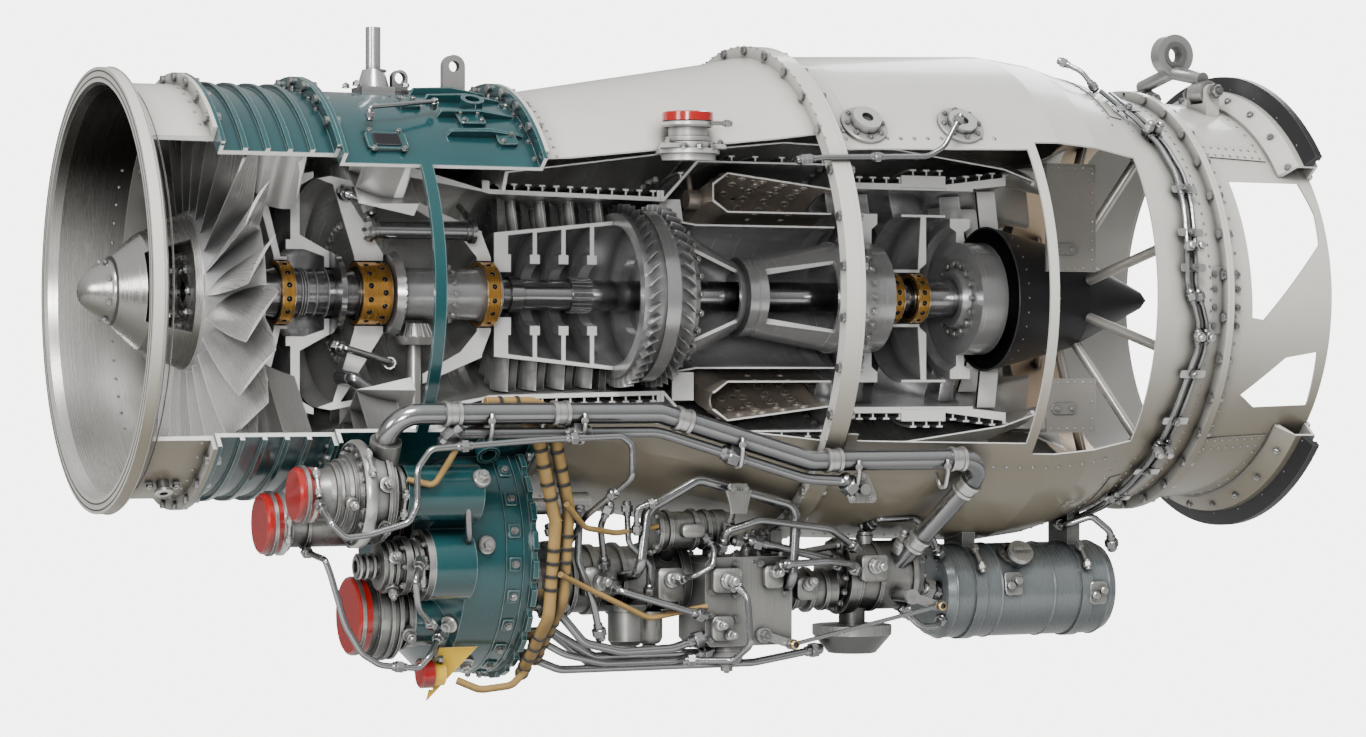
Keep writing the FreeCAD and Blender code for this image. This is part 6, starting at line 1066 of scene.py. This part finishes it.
# ---- gearbox
# The accessory gearbox: a big round casting slung under the main case, enamelled blue green,
# with drive pads in front, a bolted rear cover and plugs for its oil ways.
dress("gearbox", teal_enamel)
box_axis = np.array([0.0, -0.060, -0.373])
box_r = 0.178


def round_spot(axis, x, r, turn):
    """A point round an axis that runs along the engine, at an angle above level on the near side."""
    return np.array([x, axis[1], axis[2]]) + outward(turn) * r


box_beads = [turned([(x - 0.0022, box_r - 0.002), (x, box_r + 0.0022), (x + 0.0022, box_r - 0.002)], box_axis,
                    (1, 0, 0), 120) for x in (0.530, 0.556)]
fit_piece("gearbox_beads", box_beads, teal_enamel)
tabs, tab_nuts = [], []
for turn in np.arange(56, -140, -15):
    way = outward(turn)
    base = round_spot(box_axis, 0.543, box_r, turn)
    tabs.append(plate(round_corners(0.018, 0.020, 0.003), 0.006, base - way * 0.003, (1, 0, 0),
                      np.cross(way, (1, 0, 0))))
    tab_nuts.append((base + way * 0.003, way))
    rear = round_spot(box_axis, 0.5765, box_r - 0.008, turn + 7)
    tab_nuts.append((rear, (1, 0, 0)))
fit_piece("gearbox_tabs", tabs, teal_enamel)
fit_nuts("gearbox_nuts", tab_nuts, 0.0085)
box_plugs = []
for x, turn in ((0.47, 25), (0.50, 5), (0.46, -35), (0.50, -60), (0.46, -80), (0.50, -100)):
    place, way = touch("gearbox", round_spot(box_axis, x, 0.3, turn), -outward(turn))
    box_plugs.append(turned([(-0.002, 0.0), (-0.002, 0.013), (0.004, 0.013), (0.006, 0.011), (0.006, 0.0)],
                            place, way, 32))
    box_plugs += many(nut, [(place + way * 0.006, way)], 0.014)
fit_piece("gearbox_plugs", box_plugs, bare_alloy)

# ---- starter and pumps
# The air starter, the hydraulic pump, the generator and the alternator on the front pads, each
# held by a V clamp or a ring of nuts. Their open mouths wear red transit blanks.
red_cover = metal_finish("red_cover", (0.46, 0.012, 0.010), 0.0, 0.22, edge=(0.85, 0.25, 0.2),
                         edge_share=0.35, coat=0.8, crevice_shade_share=0.6, marks=0.05, spread=0.2,
                         under_shade_colour=(0.10, 0.0, 0.0), under_shade_share=0.8)
yellow_enamel = metal_finish("yellow_enamel", (0.80, 0.50, 0.035), 0.0, 0.36, edge=(0.95, 0.8, 0.4), coat=0.3)
dull_alloy = metal_finish("dull_alloy", (0.60, 0.60, 0.58), 0.85, 0.29, reach=0.04, spread=0.3,
                          crevice_shade_share=0.97, edge=(0.92, 0.92, 0.9), edge_share=0.85, under_shade_colour=(0.07, 0.07, 0.07),
                          under_shade_share=0.9)
brass = metal_finish("brass", (0.72, 0.46, 0.14), 0.9, 0.28, reach=0.01)
for name in ("starter", "hydraulic_pump", "generators"):
    dress(name, dull_alloy)
dress("blanks", red_cover)
dress("connector_bracket", yellow_enamel)


def girth(node, axis, x, turn=0.0):
    """The radius of a turned CAD piece round its own axis at a place."""
    start = round_spot(axis, x, 0.12, turn)
    place, _ = touch(node, start, -outward(turn))
    return None if place is None else np.linalg.norm(place[1:] - np.array(axis)[1:])


def v_clamp(axis, x, r, wide=0.012, turn=10):
    """A V clamp: a channelled band round the joint and the tee bolt that draws it tight."""
    half = wide / 2
    band = turned([(x - half, r + 0.0003), (x - half, r + 0.002), (x - half * 0.5, r + 0.0048),
                   (x + half * 0.5, r + 0.0048), (x + half, r + 0.002), (x + half, r + 0.0003)], axis,
                  (1, 0, 0), 96)
    spot = round_spot(axis, x, r + 0.007, turn)
    way = np.cross(outward(turn), (1, 0, 0))
    bolt = swept([spot - way * 0.016, spot + way * 0.016], 0.0026, sides=10)
    ends = [union(spot + way * s, way * s, 0.0052) for s in (-0.014, 0.014)]
    return [band, bolt] + ends


starter_axis = np.array([0.0, -0.262, -0.282])
pump_axis = np.array([0.0, -0.230, -0.384])
alternator_axis = np.array([0.0, -0.145, -0.326])
generator_axis = np.array([0.0, -0.150, -0.458])
clamps = v_clamp(starter_axis, 0.299, 0.070, 0.016, 35) + v_clamp(starter_axis, 0.356, 0.034, 0.010, -20)
clamps += v_clamp(starter_axis, 0.232, 0.0333, 0.010, 25)
clamps += v_clamp(pump_axis, 0.396, 0.0335, 0.010, -10)
clamps += v_clamp(alternator_axis, 0.226, 0.0403, 0.012, -10)
fit_piece("v_clamps", clamps, bare_alloy)
drums = []
for name, axis, marks in (("starter", starter_axis,
                           ((0.262, 0.003), (0.272, 0.003), (0.284, 0.003), (0.327, 0.004), (0.340, 0.003))),
                          ("hydraulic_pump", pump_axis, ((0.350, 0.005), (0.360, 0.003), (0.388, 0.004))),
                          ("generators", alternator_axis, ((0.260, 0.003), (0.330, 0.003), (0.395, 0.004))),
                          ("generators", generator_axis, ((0.372, 0.004), (0.384, 0.003), (0.402, 0.004)))):
    for x, high_by in marks:
        r = girth(name, axis, x, -15)
        if r is not None and r < 0.075:
            drums.append(turned([(x - 0.003, r - 0.002), (x - 0.0022, r + high_by), (x + 0.0022, r + high_by),
                                 (x + 0.003, r - 0.002)], axis, (1, 0, 0), 72))
fit_piece("drum_ribs", drums, dull_alloy)
drum_nuts = []
for axis, x, r, count in ((starter_axis, 0.293, 0.063, 18), (pump_axis, 0.401, 0.043, 8),
                          (pump_axis, 0.371, 0.037, 8), (generator_axis, 0.377, 0.053, 12),
                          (alternator_axis, 0.2155, 0.036, 10)):
    drum_nuts += [(round_spot(axis, x, r, t), (-1, 0, 0)) for t in np.arange(count) * 360 / count]
fit_nuts("drum_nuts", drum_nuts, 0.0078)
rims = []
for axis, x, turn in ((starter_axis, 0.222, 0), (generator_axis, 0.333, 0), (alternator_axis, 0.211, 0)):
    r = girth("blanks", axis, x - 0.008, turn)
    if r is not None:
        rims.append(turned([(x - 0.004, r + 0.0002), (x - 0.0035, r + 0.003), (x + 0.0015, r + 0.003),
                            (x + 0.002, r + 0.0002)], axis, (1, 0, 0), 80))
fit_piece("blank_rims", rims, dull_alloy)
bosses = []
for axis, x, r, turn, size in ((starter_axis, 0.322, 0.064, 12, 0.011),
                               (starter_axis, 0.322, 0.064, -38, 0.009),
                               (starter_axis, 0.276, 0.052, -12, 0.009), (pump_axis, 0.355, 0.033, 20, 0.009),
                               (pump_axis, 0.355, 0.033, -55, 0.009),
                               (generator_axis, 0.395, 0.06, -22, 0.010),
                               (alternator_axis, 0.30, 0.034, 10, 0.008)):
    way = outward(turn)
    spot = round_spot(axis, x, r, turn)
    bosses.append(turned([(-0.006, size), (0.006, size), (0.007, size * 0.8), (0.007, 0.0), (-0.006, 0.0)],
                         spot, way, 28))
    bosses.append(union(spot + way * 0.014, way, size * 0.62))
fit_piece("drum_bosses", bosses, dull_alloy)
fit_piece("pump_mouth_rings", [turned([(x, 0.0152), (x, 0.0185), (x + 0.003, 0.0185), (x + 0.003, 0.0152)],
                                      pump_axis, (1, 0, 0), 40) for x in (0.311, 0.320, 0.331)], bare_alloy)
fit_nuts("bracket_nuts", [((0.4515, y, -0.520), (-1, 0, 0)) for y in (-0.190, -0.152)], 0.009)
near = -0.345
thin = [(0.232, -0.302, -0.290), (0.236, near, -0.318), (0.257, near, -0.338), (0.288, near, -0.335),
        (0.347, near, -0.319), (0.359, near, -0.295), (0.359, near, -0.246), (0.379, near, -0.219),
        (0.541, near, -0.208), (0.661, near, -0.204), (0.677, near, -0.216), (0.677, near, -0.263),
        (0.640, -0.260, -0.320), (0.640, -0.172, -0.380)]
gear_pipes = pipe_run(thin, 0.0046, 0.02, unions=((7, 0.3), (8, 0.4), (11, 0.4)))
near = -0.252
gear_pipes += pipe_run([(0.262, -0.150, -0.366), (0.258, near, -0.372), (0.266, near, -0.393),
                        (0.287, near, -0.463), (0.311, near, -0.503), (0.338, near, -0.520),
                        (0.394, near, -0.526), (0.410, near, -0.510), (0.440, -0.215, -0.480)], 0.0046, 0.02,
                       unions=((5, 0.5),))
gear_pipes += pipe_run([(0.432, -0.244, -0.277), (0.432, -0.285, -0.277), (0.452, -0.292, -0.300),
                        (0.460, -0.275, -0.345), (0.470, -0.240, -0.370)], 0.005, 0.02)
gear_pipes += pipe_run([(0.390, -0.272, -0.372), (0.372, -0.300, -0.400), (0.380, -0.290, -0.440),
                        (0.420, -0.240, -0.470)], 0.0045, 0.02)
fit_piece("gearbox_pipes", gear_pipes, pipe_bright)

# ---- air pipe
# A bright welded pipe from the starter, aft along the ducts and down to the regulator, with
# clamped sleeves, and a thinner one slung under it on cushioned clips.
dress("air_pipe", pipe_bright)
air_path = [np.array(p) for p in ((0.329, -0.262, -0.282), (0.329, -0.322, -0.172), (0.729, -0.322, -0.172),
                                  (0.965, -0.322, -0.242), (1.263, -0.322, -0.242), (1.189, -0.150, -0.410))]
sleeves = []
for leg, share in ((1, 0.22), (1, 0.62), (2, 0.15), (3, 0.12), (3, 0.80), (4, 0.25), (4, 0.75)):
    way = unit(air_path[leg + 1] - air_path[leg])
    spot = air_path[leg] + (air_path[leg + 1] - air_path[leg]) * share
    for s in (-0.009, 0.009):
        sleeves.append(turned([(s - 0.003, 0.0152), (s - 0.0025, 0.0182), (s + 0.0025, 0.0182),
                               (s + 0.003, 0.0152)], spot, way, 40))
    sleeves.append(turned([(-0.006, 0.0152), (-0.006, 0.0166), (0.006, 0.0166), (0.006, 0.0152)], spot, way,
                          40))
fit_piece("air_pipe_sleeves", sleeves, bare_alloy)
slung = pipe_run([(0.405, -0.315, -0.215), (0.420, -0.322, -0.199), (0.726, -0.322, -0.199),
                  (0.958, -0.322, -0.268), (1.020, -0.326, -0.272), (1.040, -0.318, -0.290)], 0.0078, 0.03,
                 unions=((2, 0.5), (1, 0.6)))
fit_piece("slung_pipe", slung, pipe_bright)
hooks = []
for x, z in ((0.470, -0.172), (0.608, -0.172), (0.85, -0.208), (1.035, -0.242), (1.18, -0.242)):
    hooks.append(swept([(x, -0.339, z), (x, -0.3405, z - 0.018), (x, -0.332, z - 0.040),
                        (x, -0.316, z - 0.042), (x, -0.303, z - 0.020)], 0.0028, 0.01, 8))
    hooks += many(nut, [((x, -0.3385, z - 0.010), (0, -1, 0))], 0.008)
fit_piece("air_pipe_hooks", hooks, bare_alloy)
tee = np.array([1.046, -0.318, -0.284])
tee_plate = [(0.0, 0.026), (0.010, 0.022), (0.024, -0.010), (0.018, -0.020), (-0.018, -0.020),
             (-0.024, -0.010), (-0.010, 0.022)]
fit_piece("air_pipe_tee", [plate(tee_plate[::-1], 0.006, tee - (0, 0.004, 0), (1, 0, 0), (0, 0, 1)),
                           turned([(-0.020, 0.0), (-0.020, 0.011), (0.006, 0.011), (0.010, 0.0075),
                                   (0.020, 0.0075), (0.020, 0.0)], tee, (0, -1, 0), 36)] +
          many(nut, [(tee + (x, -0.010, z), (0, -1, 0))
                     for x, z in ((0, 0.019), (0.017, -0.014), (-0.017, -0.014))], 0.008), dull_alloy)

# ---- fuel system
# The fuel pump behind the gearbox, the valve block on its end and the round regulator, all cast
# alloy, with hexagon plugs, studs, a filter bowl and many small pipes between them.
for name in ("fuel_pump", "fuel_block", "regulator", "hangers"):
    dress(name, dull_alloy)
dress("fuel_pipes", pipe_bright)
pump2_axis = np.array([0.0, -0.110, -0.418])
motor_axis = np.array([0.0, -0.178, -0.345])
reg_axis = np.array([0.0, -0.120, -0.422])
fuel_nuts = []
for axis, x, r, count, side in ((pump2_axis, 0.640, 0.053, 14, -1), (motor_axis, 0.779, 0.031, 8, -1),
                                (reg_axis, 1.101, 0.049, 14, -1), (motor_axis, 0.891, 0.024, 6, 1),
                                (reg_axis, 1.239, 0.028, 8, 1)):
    fuel_nuts += [(round_spot(axis, x, r, t), (side, 0, 0)) for t in np.arange(count) * 360 / count]
block_face = -0.2082
for x, z in ((0.861, -0.395), (0.900, -0.395), (0.861, -0.435), (0.861, -0.470), (0.861, -0.505),
             (0.900, -0.440), (0.980, -0.395), (0.980, -0.440), (0.940, -0.395), (0.900, -0.475)):
    fuel_nuts.append(((x, block_face, z), (0, -1, 0)))
fuel_nuts += [((x, y, -0.385), (0, 0, 1)) for x in (0.865, 0.90, 0.94, 0.978) for y in (-0.198, -0.125)]
fit_nuts("fuel_nuts", fuel_nuts, 0.0085)
collars = []
for axis, spots in ((pump2_axis, ((0.600, 0.030, 0.004), (0.618, 0.030, 0.004), (0.668, 0.048, 0.005),
                                  (0.700, 0.048, 0.004), (0.706, 0.048, 0.004), (0.745, 0.048, 0.006),
                                  (0.790, 0.048, 0.004), (0.838, 0.048, 0.006))),
                    (motor_axis, ((0.800, 0.027, 0.003), (0.840, 0.027, 0.004), (0.860, 0.027, 0.003))),
                    (np.array([0, -0.140, -0.440]), ((1.000, 0.028, 0.005), (1.020, 0.028, 0.003),
                                                     (1.045, 0.028, 0.006), (1.070, 0.028, 0.004))),
                    (reg_axis, ((1.125, 0.052, 0.004), (1.160, 0.052, 0.003), (1.215, 0.052, 0.004)))):
    for x, r, high_by in spots:
        collars.append(turned([(x - 0.004, r - 0.003), (x - 0.003, r + high_by), (x + 0.003, r + high_by),
                               (x + 0.004, r - 0.003)], axis, (1, 0, 0), 72))
fit_piece("fuel_collars", collars, dull_alloy)
lumps = []
for x, y, z, long, high_by, deep in ((0.700, -0.160, -0.418, 0.050, 0.044, 0.016),
                                     (0.812, -0.160, -0.425, 0.040, 0.050, 0.014),
                                     (0.882, -0.208, -0.418, 0.046, 0.036, 0.012),
                                     (0.958, -0.208, -0.415, 0.030, 0.034, 0.010),
                                     (0.876, -0.208, -0.488, 0.034, 0.036, 0.010),
                                     (1.138, -0.168, -0.408, 0.044, 0.040, 0.022),
                                     (1.030, -0.166, -0.436, 0.034, 0.034, 0.016),
                                     (0.83, -0.204, -0.345, 0.036, 0.020, 0.012)):
    lumps.append(plate(round_corners(long, high_by, 0.007), deep + 0.010, (x, y + 0.010, z), (1, 0, 0),
                       (0, 0, 1)))
fit_piece("fuel_castings", lumps, dull_alloy, smooth=50)
caps = []
for x, y, z, way, size in ((0.700, -0.176, -0.418, (0, -1, 0), 0.013),
                           (0.812, -0.174, -0.418, (0, -1, 0.2), 0.012),
                           (0.882, -0.220, -0.418, (0, -1, 0), 0.012),
                           (0.958, -0.218, -0.408, (0, -1, 0), 0.009),
                           (0.868, -0.218, -0.482, (0, -1, 0), 0.009),
                           (0.885, -0.218, -0.497, (0, -1, 0), 0.008),
                           (1.138, -0.190, -0.404, (0, -1, 0), 0.012),
                           (1.030, -0.182, -0.430, (0, -1, 0.3), 0.010),
                           (0.885, -0.150, -0.380, (0, 0, 1), 0.012),
                           (0.935, -0.170, -0.380, (0, 0, 1), 0.010),
                           (0.960, -0.140, -0.380, (0, 0, 1), 0.012),
                           (1.190, -0.172, -0.378, (0, -0.6, 1), 0.012),
                           (1.150, -0.130, -0.366, (0, 0, 1), 0.013),
                           (0.660, -0.135, -0.366, (0, -0.3, 1), 0.011)):
    base, way = np.array([x, y, z]), unit(way)
    caps.append(turned([(-0.008, 0.0), (-0.008, size), (0.004, size), (0.006, size * 0.85),
                        (0.010, size * 0.85), (0.012, size * 0.6), (0.012, 0.0)], base, way, 32))
    caps.append(union(base + way * (0.012 + size * 0.7), way, size * 0.62))
fit_piece("fuel_caps", caps, bare_alloy)
bowls = []
for x, y, z, r, drop in ((0.742, -0.168, -0.452, 0.026, 0.062), (0.800, -0.120, -0.466, 0.020, 0.050),
                         (0.905, -0.165, -0.515, 0.024, 0.030)):
    bowls.append(turned([(0.0, 0.0), (0.0, r + 0.004), (0.008, r + 0.004), (0.008, r), (drop - 0.010, r),
                         (drop - 0.003, r * 0.8), (drop, r * 0.4), (drop, 0.0)], (x, y, z), (0, 0, -1), 48))
    bowls += many(nut, [((x, y, z - drop), (0, 0, -1))], 0.016)
fit_piece("filter_bowls", bowls, dull_alloy)
small = []
for path, size in (([(0.590, -0.195, -0.446), (0.628, -0.205, -0.464), (0.662, -0.205, -0.503),
                     (0.720, -0.205, -0.517), (0.800, -0.205, -0.515), (0.856, -0.200, -0.500)], 0.0065),
                   ([(0.588, -0.170, -0.490), (0.640, -0.185, -0.520), (0.700, -0.185, -0.534),
                     (0.820, -0.180, -0.534), (0.880, -0.172, -0.520)], 0.0055),
                   ([(0.588, -0.130, -0.520), (0.650, -0.140, -0.546), (0.960, -0.140, -0.546),
                     (1.080, -0.125, -0.530)], 0.006),
                   ([(0.648, -0.222, -0.305), (0.648, -0.215, -0.384), (0.671, -0.215, -0.441),
                     (0.690, -0.200, -0.500)], 0.0055),
                   ([(0.690, -0.236, -0.300), (0.680, -0.222, -0.335), (0.700, -0.190, -0.400)], 0.005),
                   ([(0.720, -0.224, -0.300), (0.722, -0.226, -0.360), (0.760, -0.214, -0.392),
                     (0.770, -0.190, -0.440)], 0.0045),
                   ([(0.600, -0.222, -0.330), (0.614, -0.226, -0.372), (0.610, -0.215, -0.430),
                     (0.640, -0.192, -0.455)], 0.005),
                   ([(0.876, -0.205, -0.378), (0.876, -0.228, -0.345), (0.925, -0.238, -0.330),
                     (1.040, -0.236, -0.345), (1.108, -0.192, -0.378)], 0.0055),
                   ([(0.958, -0.226, -0.404), (0.965, -0.246, -0.395), (1.030, -0.246, -0.392),
                     (1.080, -0.215, -0.398), (1.112, -0.182, -0.412)], 0.0055),
                   ([(0.918, -0.214, -0.360), (0.985, -0.222, -0.376), (1.050, -0.205, -0.390),
                     (1.092, -0.168, -0.404)], 0.006),
                   ([(0.880, -0.232, -0.418), (0.900, -0.248, -0.440), (0.905, -0.250, -0.510),
                     (0.890, -0.220, -0.535), (0.820, -0.200, -0.534)], 0.005),
                   ([(0.700, -0.192, -0.418), (0.716, -0.215, -0.430), (0.790, -0.226, -0.452),
                     (0.850, -0.214, -0.470)], 0.0055),
                   ([(0.812, -0.190, -0.418), (0.826, -0.226, -0.410), (0.850, -0.236, -0.395),
                     (0.858, -0.225, -0.372), (0.850, -0.205, -0.350)], 0.0045),
                   ([(1.150, -0.130, -0.350), (1.160, -0.160, -0.335), (1.215, -0.170, -0.335),
                     (1.262, -0.140, -0.370), (1.285, -0.120, -0.400)], 0.0055),
                   ([(1.240, -0.120, -0.440), (1.262, -0.122, -0.446), (1.285, -0.110, -0.452)], 0.009),
                   ([(1.200, -0.150, -0.470), (1.228, -0.165, -0.500), (1.262, -0.150, -0.500),
                     (1.290, -0.120, -0.490)], 0.005),
                   ([(0.735, -0.226, -0.348), (0.730, -0.236, -0.310), (0.760, -0.242, -0.300)], 0.004),
                   ([(0.960, -0.150, -0.362), (0.975, -0.170, -0.345), (0.990, -0.190, -0.335),
                     (1.000, -0.210, -0.320)], 0.005)):
    small += pipe_run(path, size, 0.018)
fit_piece("fuel_small_pipes", small, pipe_bright)
stays = []
for a, b in (((0.905, -0.205, -0.362), (1.075, -0.180, -0.395)),
             ((0.930, -0.200, -0.392), (1.090, -0.175, -0.372)),
             ((0.890, -0.236, -0.288), (0.886, -0.215, -0.340))):
    stays.append(swept([a, b], 0.005, sides=12))
    stays += [union(p, np.array(b) - np.array(a), 0.008) for p in (a, b)]
fit_piece("fuel_stays", stays, dull_alloy)
feet = [plate(round_corners(0.030, 0.016, 0.003), 0.005, (0.886, -0.243, -0.284), (1, 0, 0), (0, 0, 1)),
        plate([(-0.012, -0.020), (0.012, -0.020), (0.020, 0.014), (-0.020, 0.014)], 0.005,
              (0.886, -0.246, -0.300), (1, 0, 0), (0, 0, 1))]
feet += many(nut, [((x, -0.248, -0.284), (0, -1, 0)) for x in (0.876, 0.896)], 0.009)
fit_piece("pipe_bracket", feet, dull_alloy)

# ---- control linkage
# Two forged levers joined by a ground rod between the regulator and the valve block. The crank's
# pin carries a nut, and the rod's ends are brass bushed.
dress("throttle_lever", steel_turned)
dress("relay_crank", steel_turned)
dress("control_rod", pipe_bright)
fit_nuts("crank_nuts", [((0.942, -0.2205, -0.500), (0, -1, 0))], 0.013, body="relay_crank")
fit_piece("rod_bushes", [turned([(0.0, 0.0045), (0.0, 0.0065), (0.0045, 0.0065), (0.0055, 0.0045)],
                                (x, -0.2290, z), (0, -1, 0), 28)
                         for x, z in ((1.229, -0.464), (0.985, -0.514))], brass, "control_rod")

# ---- oil tank
# A spun and welded oil tank strapped to saddles under the rear duct, grey, with a filler neck,
# a hinged cap and two sight plates.
tank_paint = metal_finish("tank_paint", (0.27, 0.30, 0.315), 0.55, 0.27, reach=0.02, spread=0.25, coat=0.4,
                          under_shade_colour=(0.02, 0.022, 0.025), under_shade_share=0.7, edge=(0.5, 0.52, 0.53))
dress("oil_tank", tank_paint)
dress("tank_cap", bare_alloy)
tank_axis = np.array([0.0, -0.080, -0.452])
hoops = [turned([(x - 0.0025, 0.0715), (x, 0.0738), (x + 0.0025, 0.0715)], tank_axis, (1, 0, 0), 96)
         for x in (1.300, 1.378, 1.470, 1.566)]
fit_piece("tank_hoops", hoops, tank_paint)
tank_bits = []
for x in (1.340, 1.526):
    tank_bits += [swept([round_spot(tank_axis, x, 0.083, 30), round_spot(tank_axis, x, 0.083, 52)], 0.0035,
                        sides=10), union(round_spot(tank_axis, x, 0.083, 28), (0, -0.4, -1), 0.006),
                  union(round_spot(tank_axis, x, 0.083, 54), (0, 0.6, 1), 0.006)]
for x, turn in ((1.395, 10), (1.545, -4)):
    way = outward(turn)
    spot = round_spot(tank_axis, x, 0.0715, turn)
    tank_bits.append(plate(round_corners(0.030, 0.036, 0.006), 0.004, spot, (1, 0, 0),
                           np.cross(way, (1, 0, 0))))
    tank_bits += [turned([(0.0, 0.0), (0.0, 0.007), (0.007, 0.007), (0.009, 0.005), (0.009, 0.0)],
                         round_spot(tank_axis, x + s, 0.0745, turn + s * 400), way, 24)
                  for s in (-0.007, 0.007)]
tank_bits += [turned([(-0.004, 0.0152), (-0.004, 0.024), (0.004, 0.024), (0.006, 0.0152)],
                     round_spot(tank_axis, 1.407, 0.073, 50), outward(50), 40)]
fit_piece("tank_fittings", tank_bits, dull_alloy)
tank_nuts = [(round_spot(tank_axis, 1.283, 0.052, t), (-1, 0, 0)) for t in np.arange(8) * 45]
tank_nuts += [(round_spot(tank_axis, 1.407, 0.076, 50) + (0.019 * math.cos(a), 0, 0) +
               np.cross(outward(50), (1, 0, 0)) * 0.019 * math.sin(a), outward(50))
              for a in np.arange(6) * math.pi / 3]
fit_nuts("tank_nuts", tank_nuts, 0.006)

# ---- harness
# Two braided wire bundles clipped round the gearbox's rear rim, tied with black lacing, and the
# thin leads that leave them for the bracket and the starter.
harness_braid = metal_finish("harness_braid", (0.42, 0.265, 0.085), 0.0, 0.58, edge=(0.85, 0.68, 0.36),
                             spread=0.5, cloud=60.0, bump=0.6, under_shade_colour=(0.10, 0.06, 0.02), under_shade_share=0.7)
lacing = metal_finish("lacing", (0.02, 0.018, 0.015), 0.0, 0.5, edge=(0.2, 0.18, 0.15))
dress("harness", harness_braid)
ties = []
for k in range(2):
    step = np.array([k * 0.020, 0, k * 0.020])
    legs = [np.array(p) + step for p in ((0.465, -0.296, -0.178), (0.549, -0.296, -0.178),
                                         (0.594, -0.265, -0.328), (0.594, -0.238, -0.462),
                                         (0.586, -0.149, -0.551))]
    for leg, shares in ((0, (0.15, 0.45)), (1, (0.30, 0.45, 0.62, 0.76)), (2, (0.28, 0.42, 0.56, 0.70)),
                        (3, (0.32, 0.5, 0.68, 0.85, 0.95))):
        for share in shares:
            spot = legs[leg] + (legs[leg + 1] - legs[leg]) * share
            ties.append(turned([(-0.003, 0.0088), (-0.002, 0.0104), (0.002, 0.0104), (0.003, 0.0088)], spot,
                               legs[leg + 1] - legs[leg], 24))
fit_piece("harness_ties", ties, lacing)
leads = [swept([(0.586, -0.165, -0.545), (0.560, -0.180, -0.562), (0.510, -0.185, -0.566),
                (0.478, -0.178, -0.552)], 0.0055, 0.02, 12),
         swept([(0.470, -0.300, -0.190), (0.440, -0.315, -0.196), (0.415, -0.322, -0.235),
                (0.395, -0.312, -0.270), (0.360, -0.300, -0.262)], 0.0045, 0.02, 12),
         swept([(0.602, -0.285, -0.300), (0.640, -0.262, -0.335), (0.700, -0.232, -0.345),
                (0.775, -0.208, -0.338)], 0.0042, 0.02, 12),
         swept([(0.602, -0.262, -0.400), (0.650, -0.232, -0.420), (0.760, -0.214, -0.470),
                (0.850, -0.216, -0.455)], 0.0042, 0.02, 12)]
fit_piece("harness_leads", leads, harness_braid)
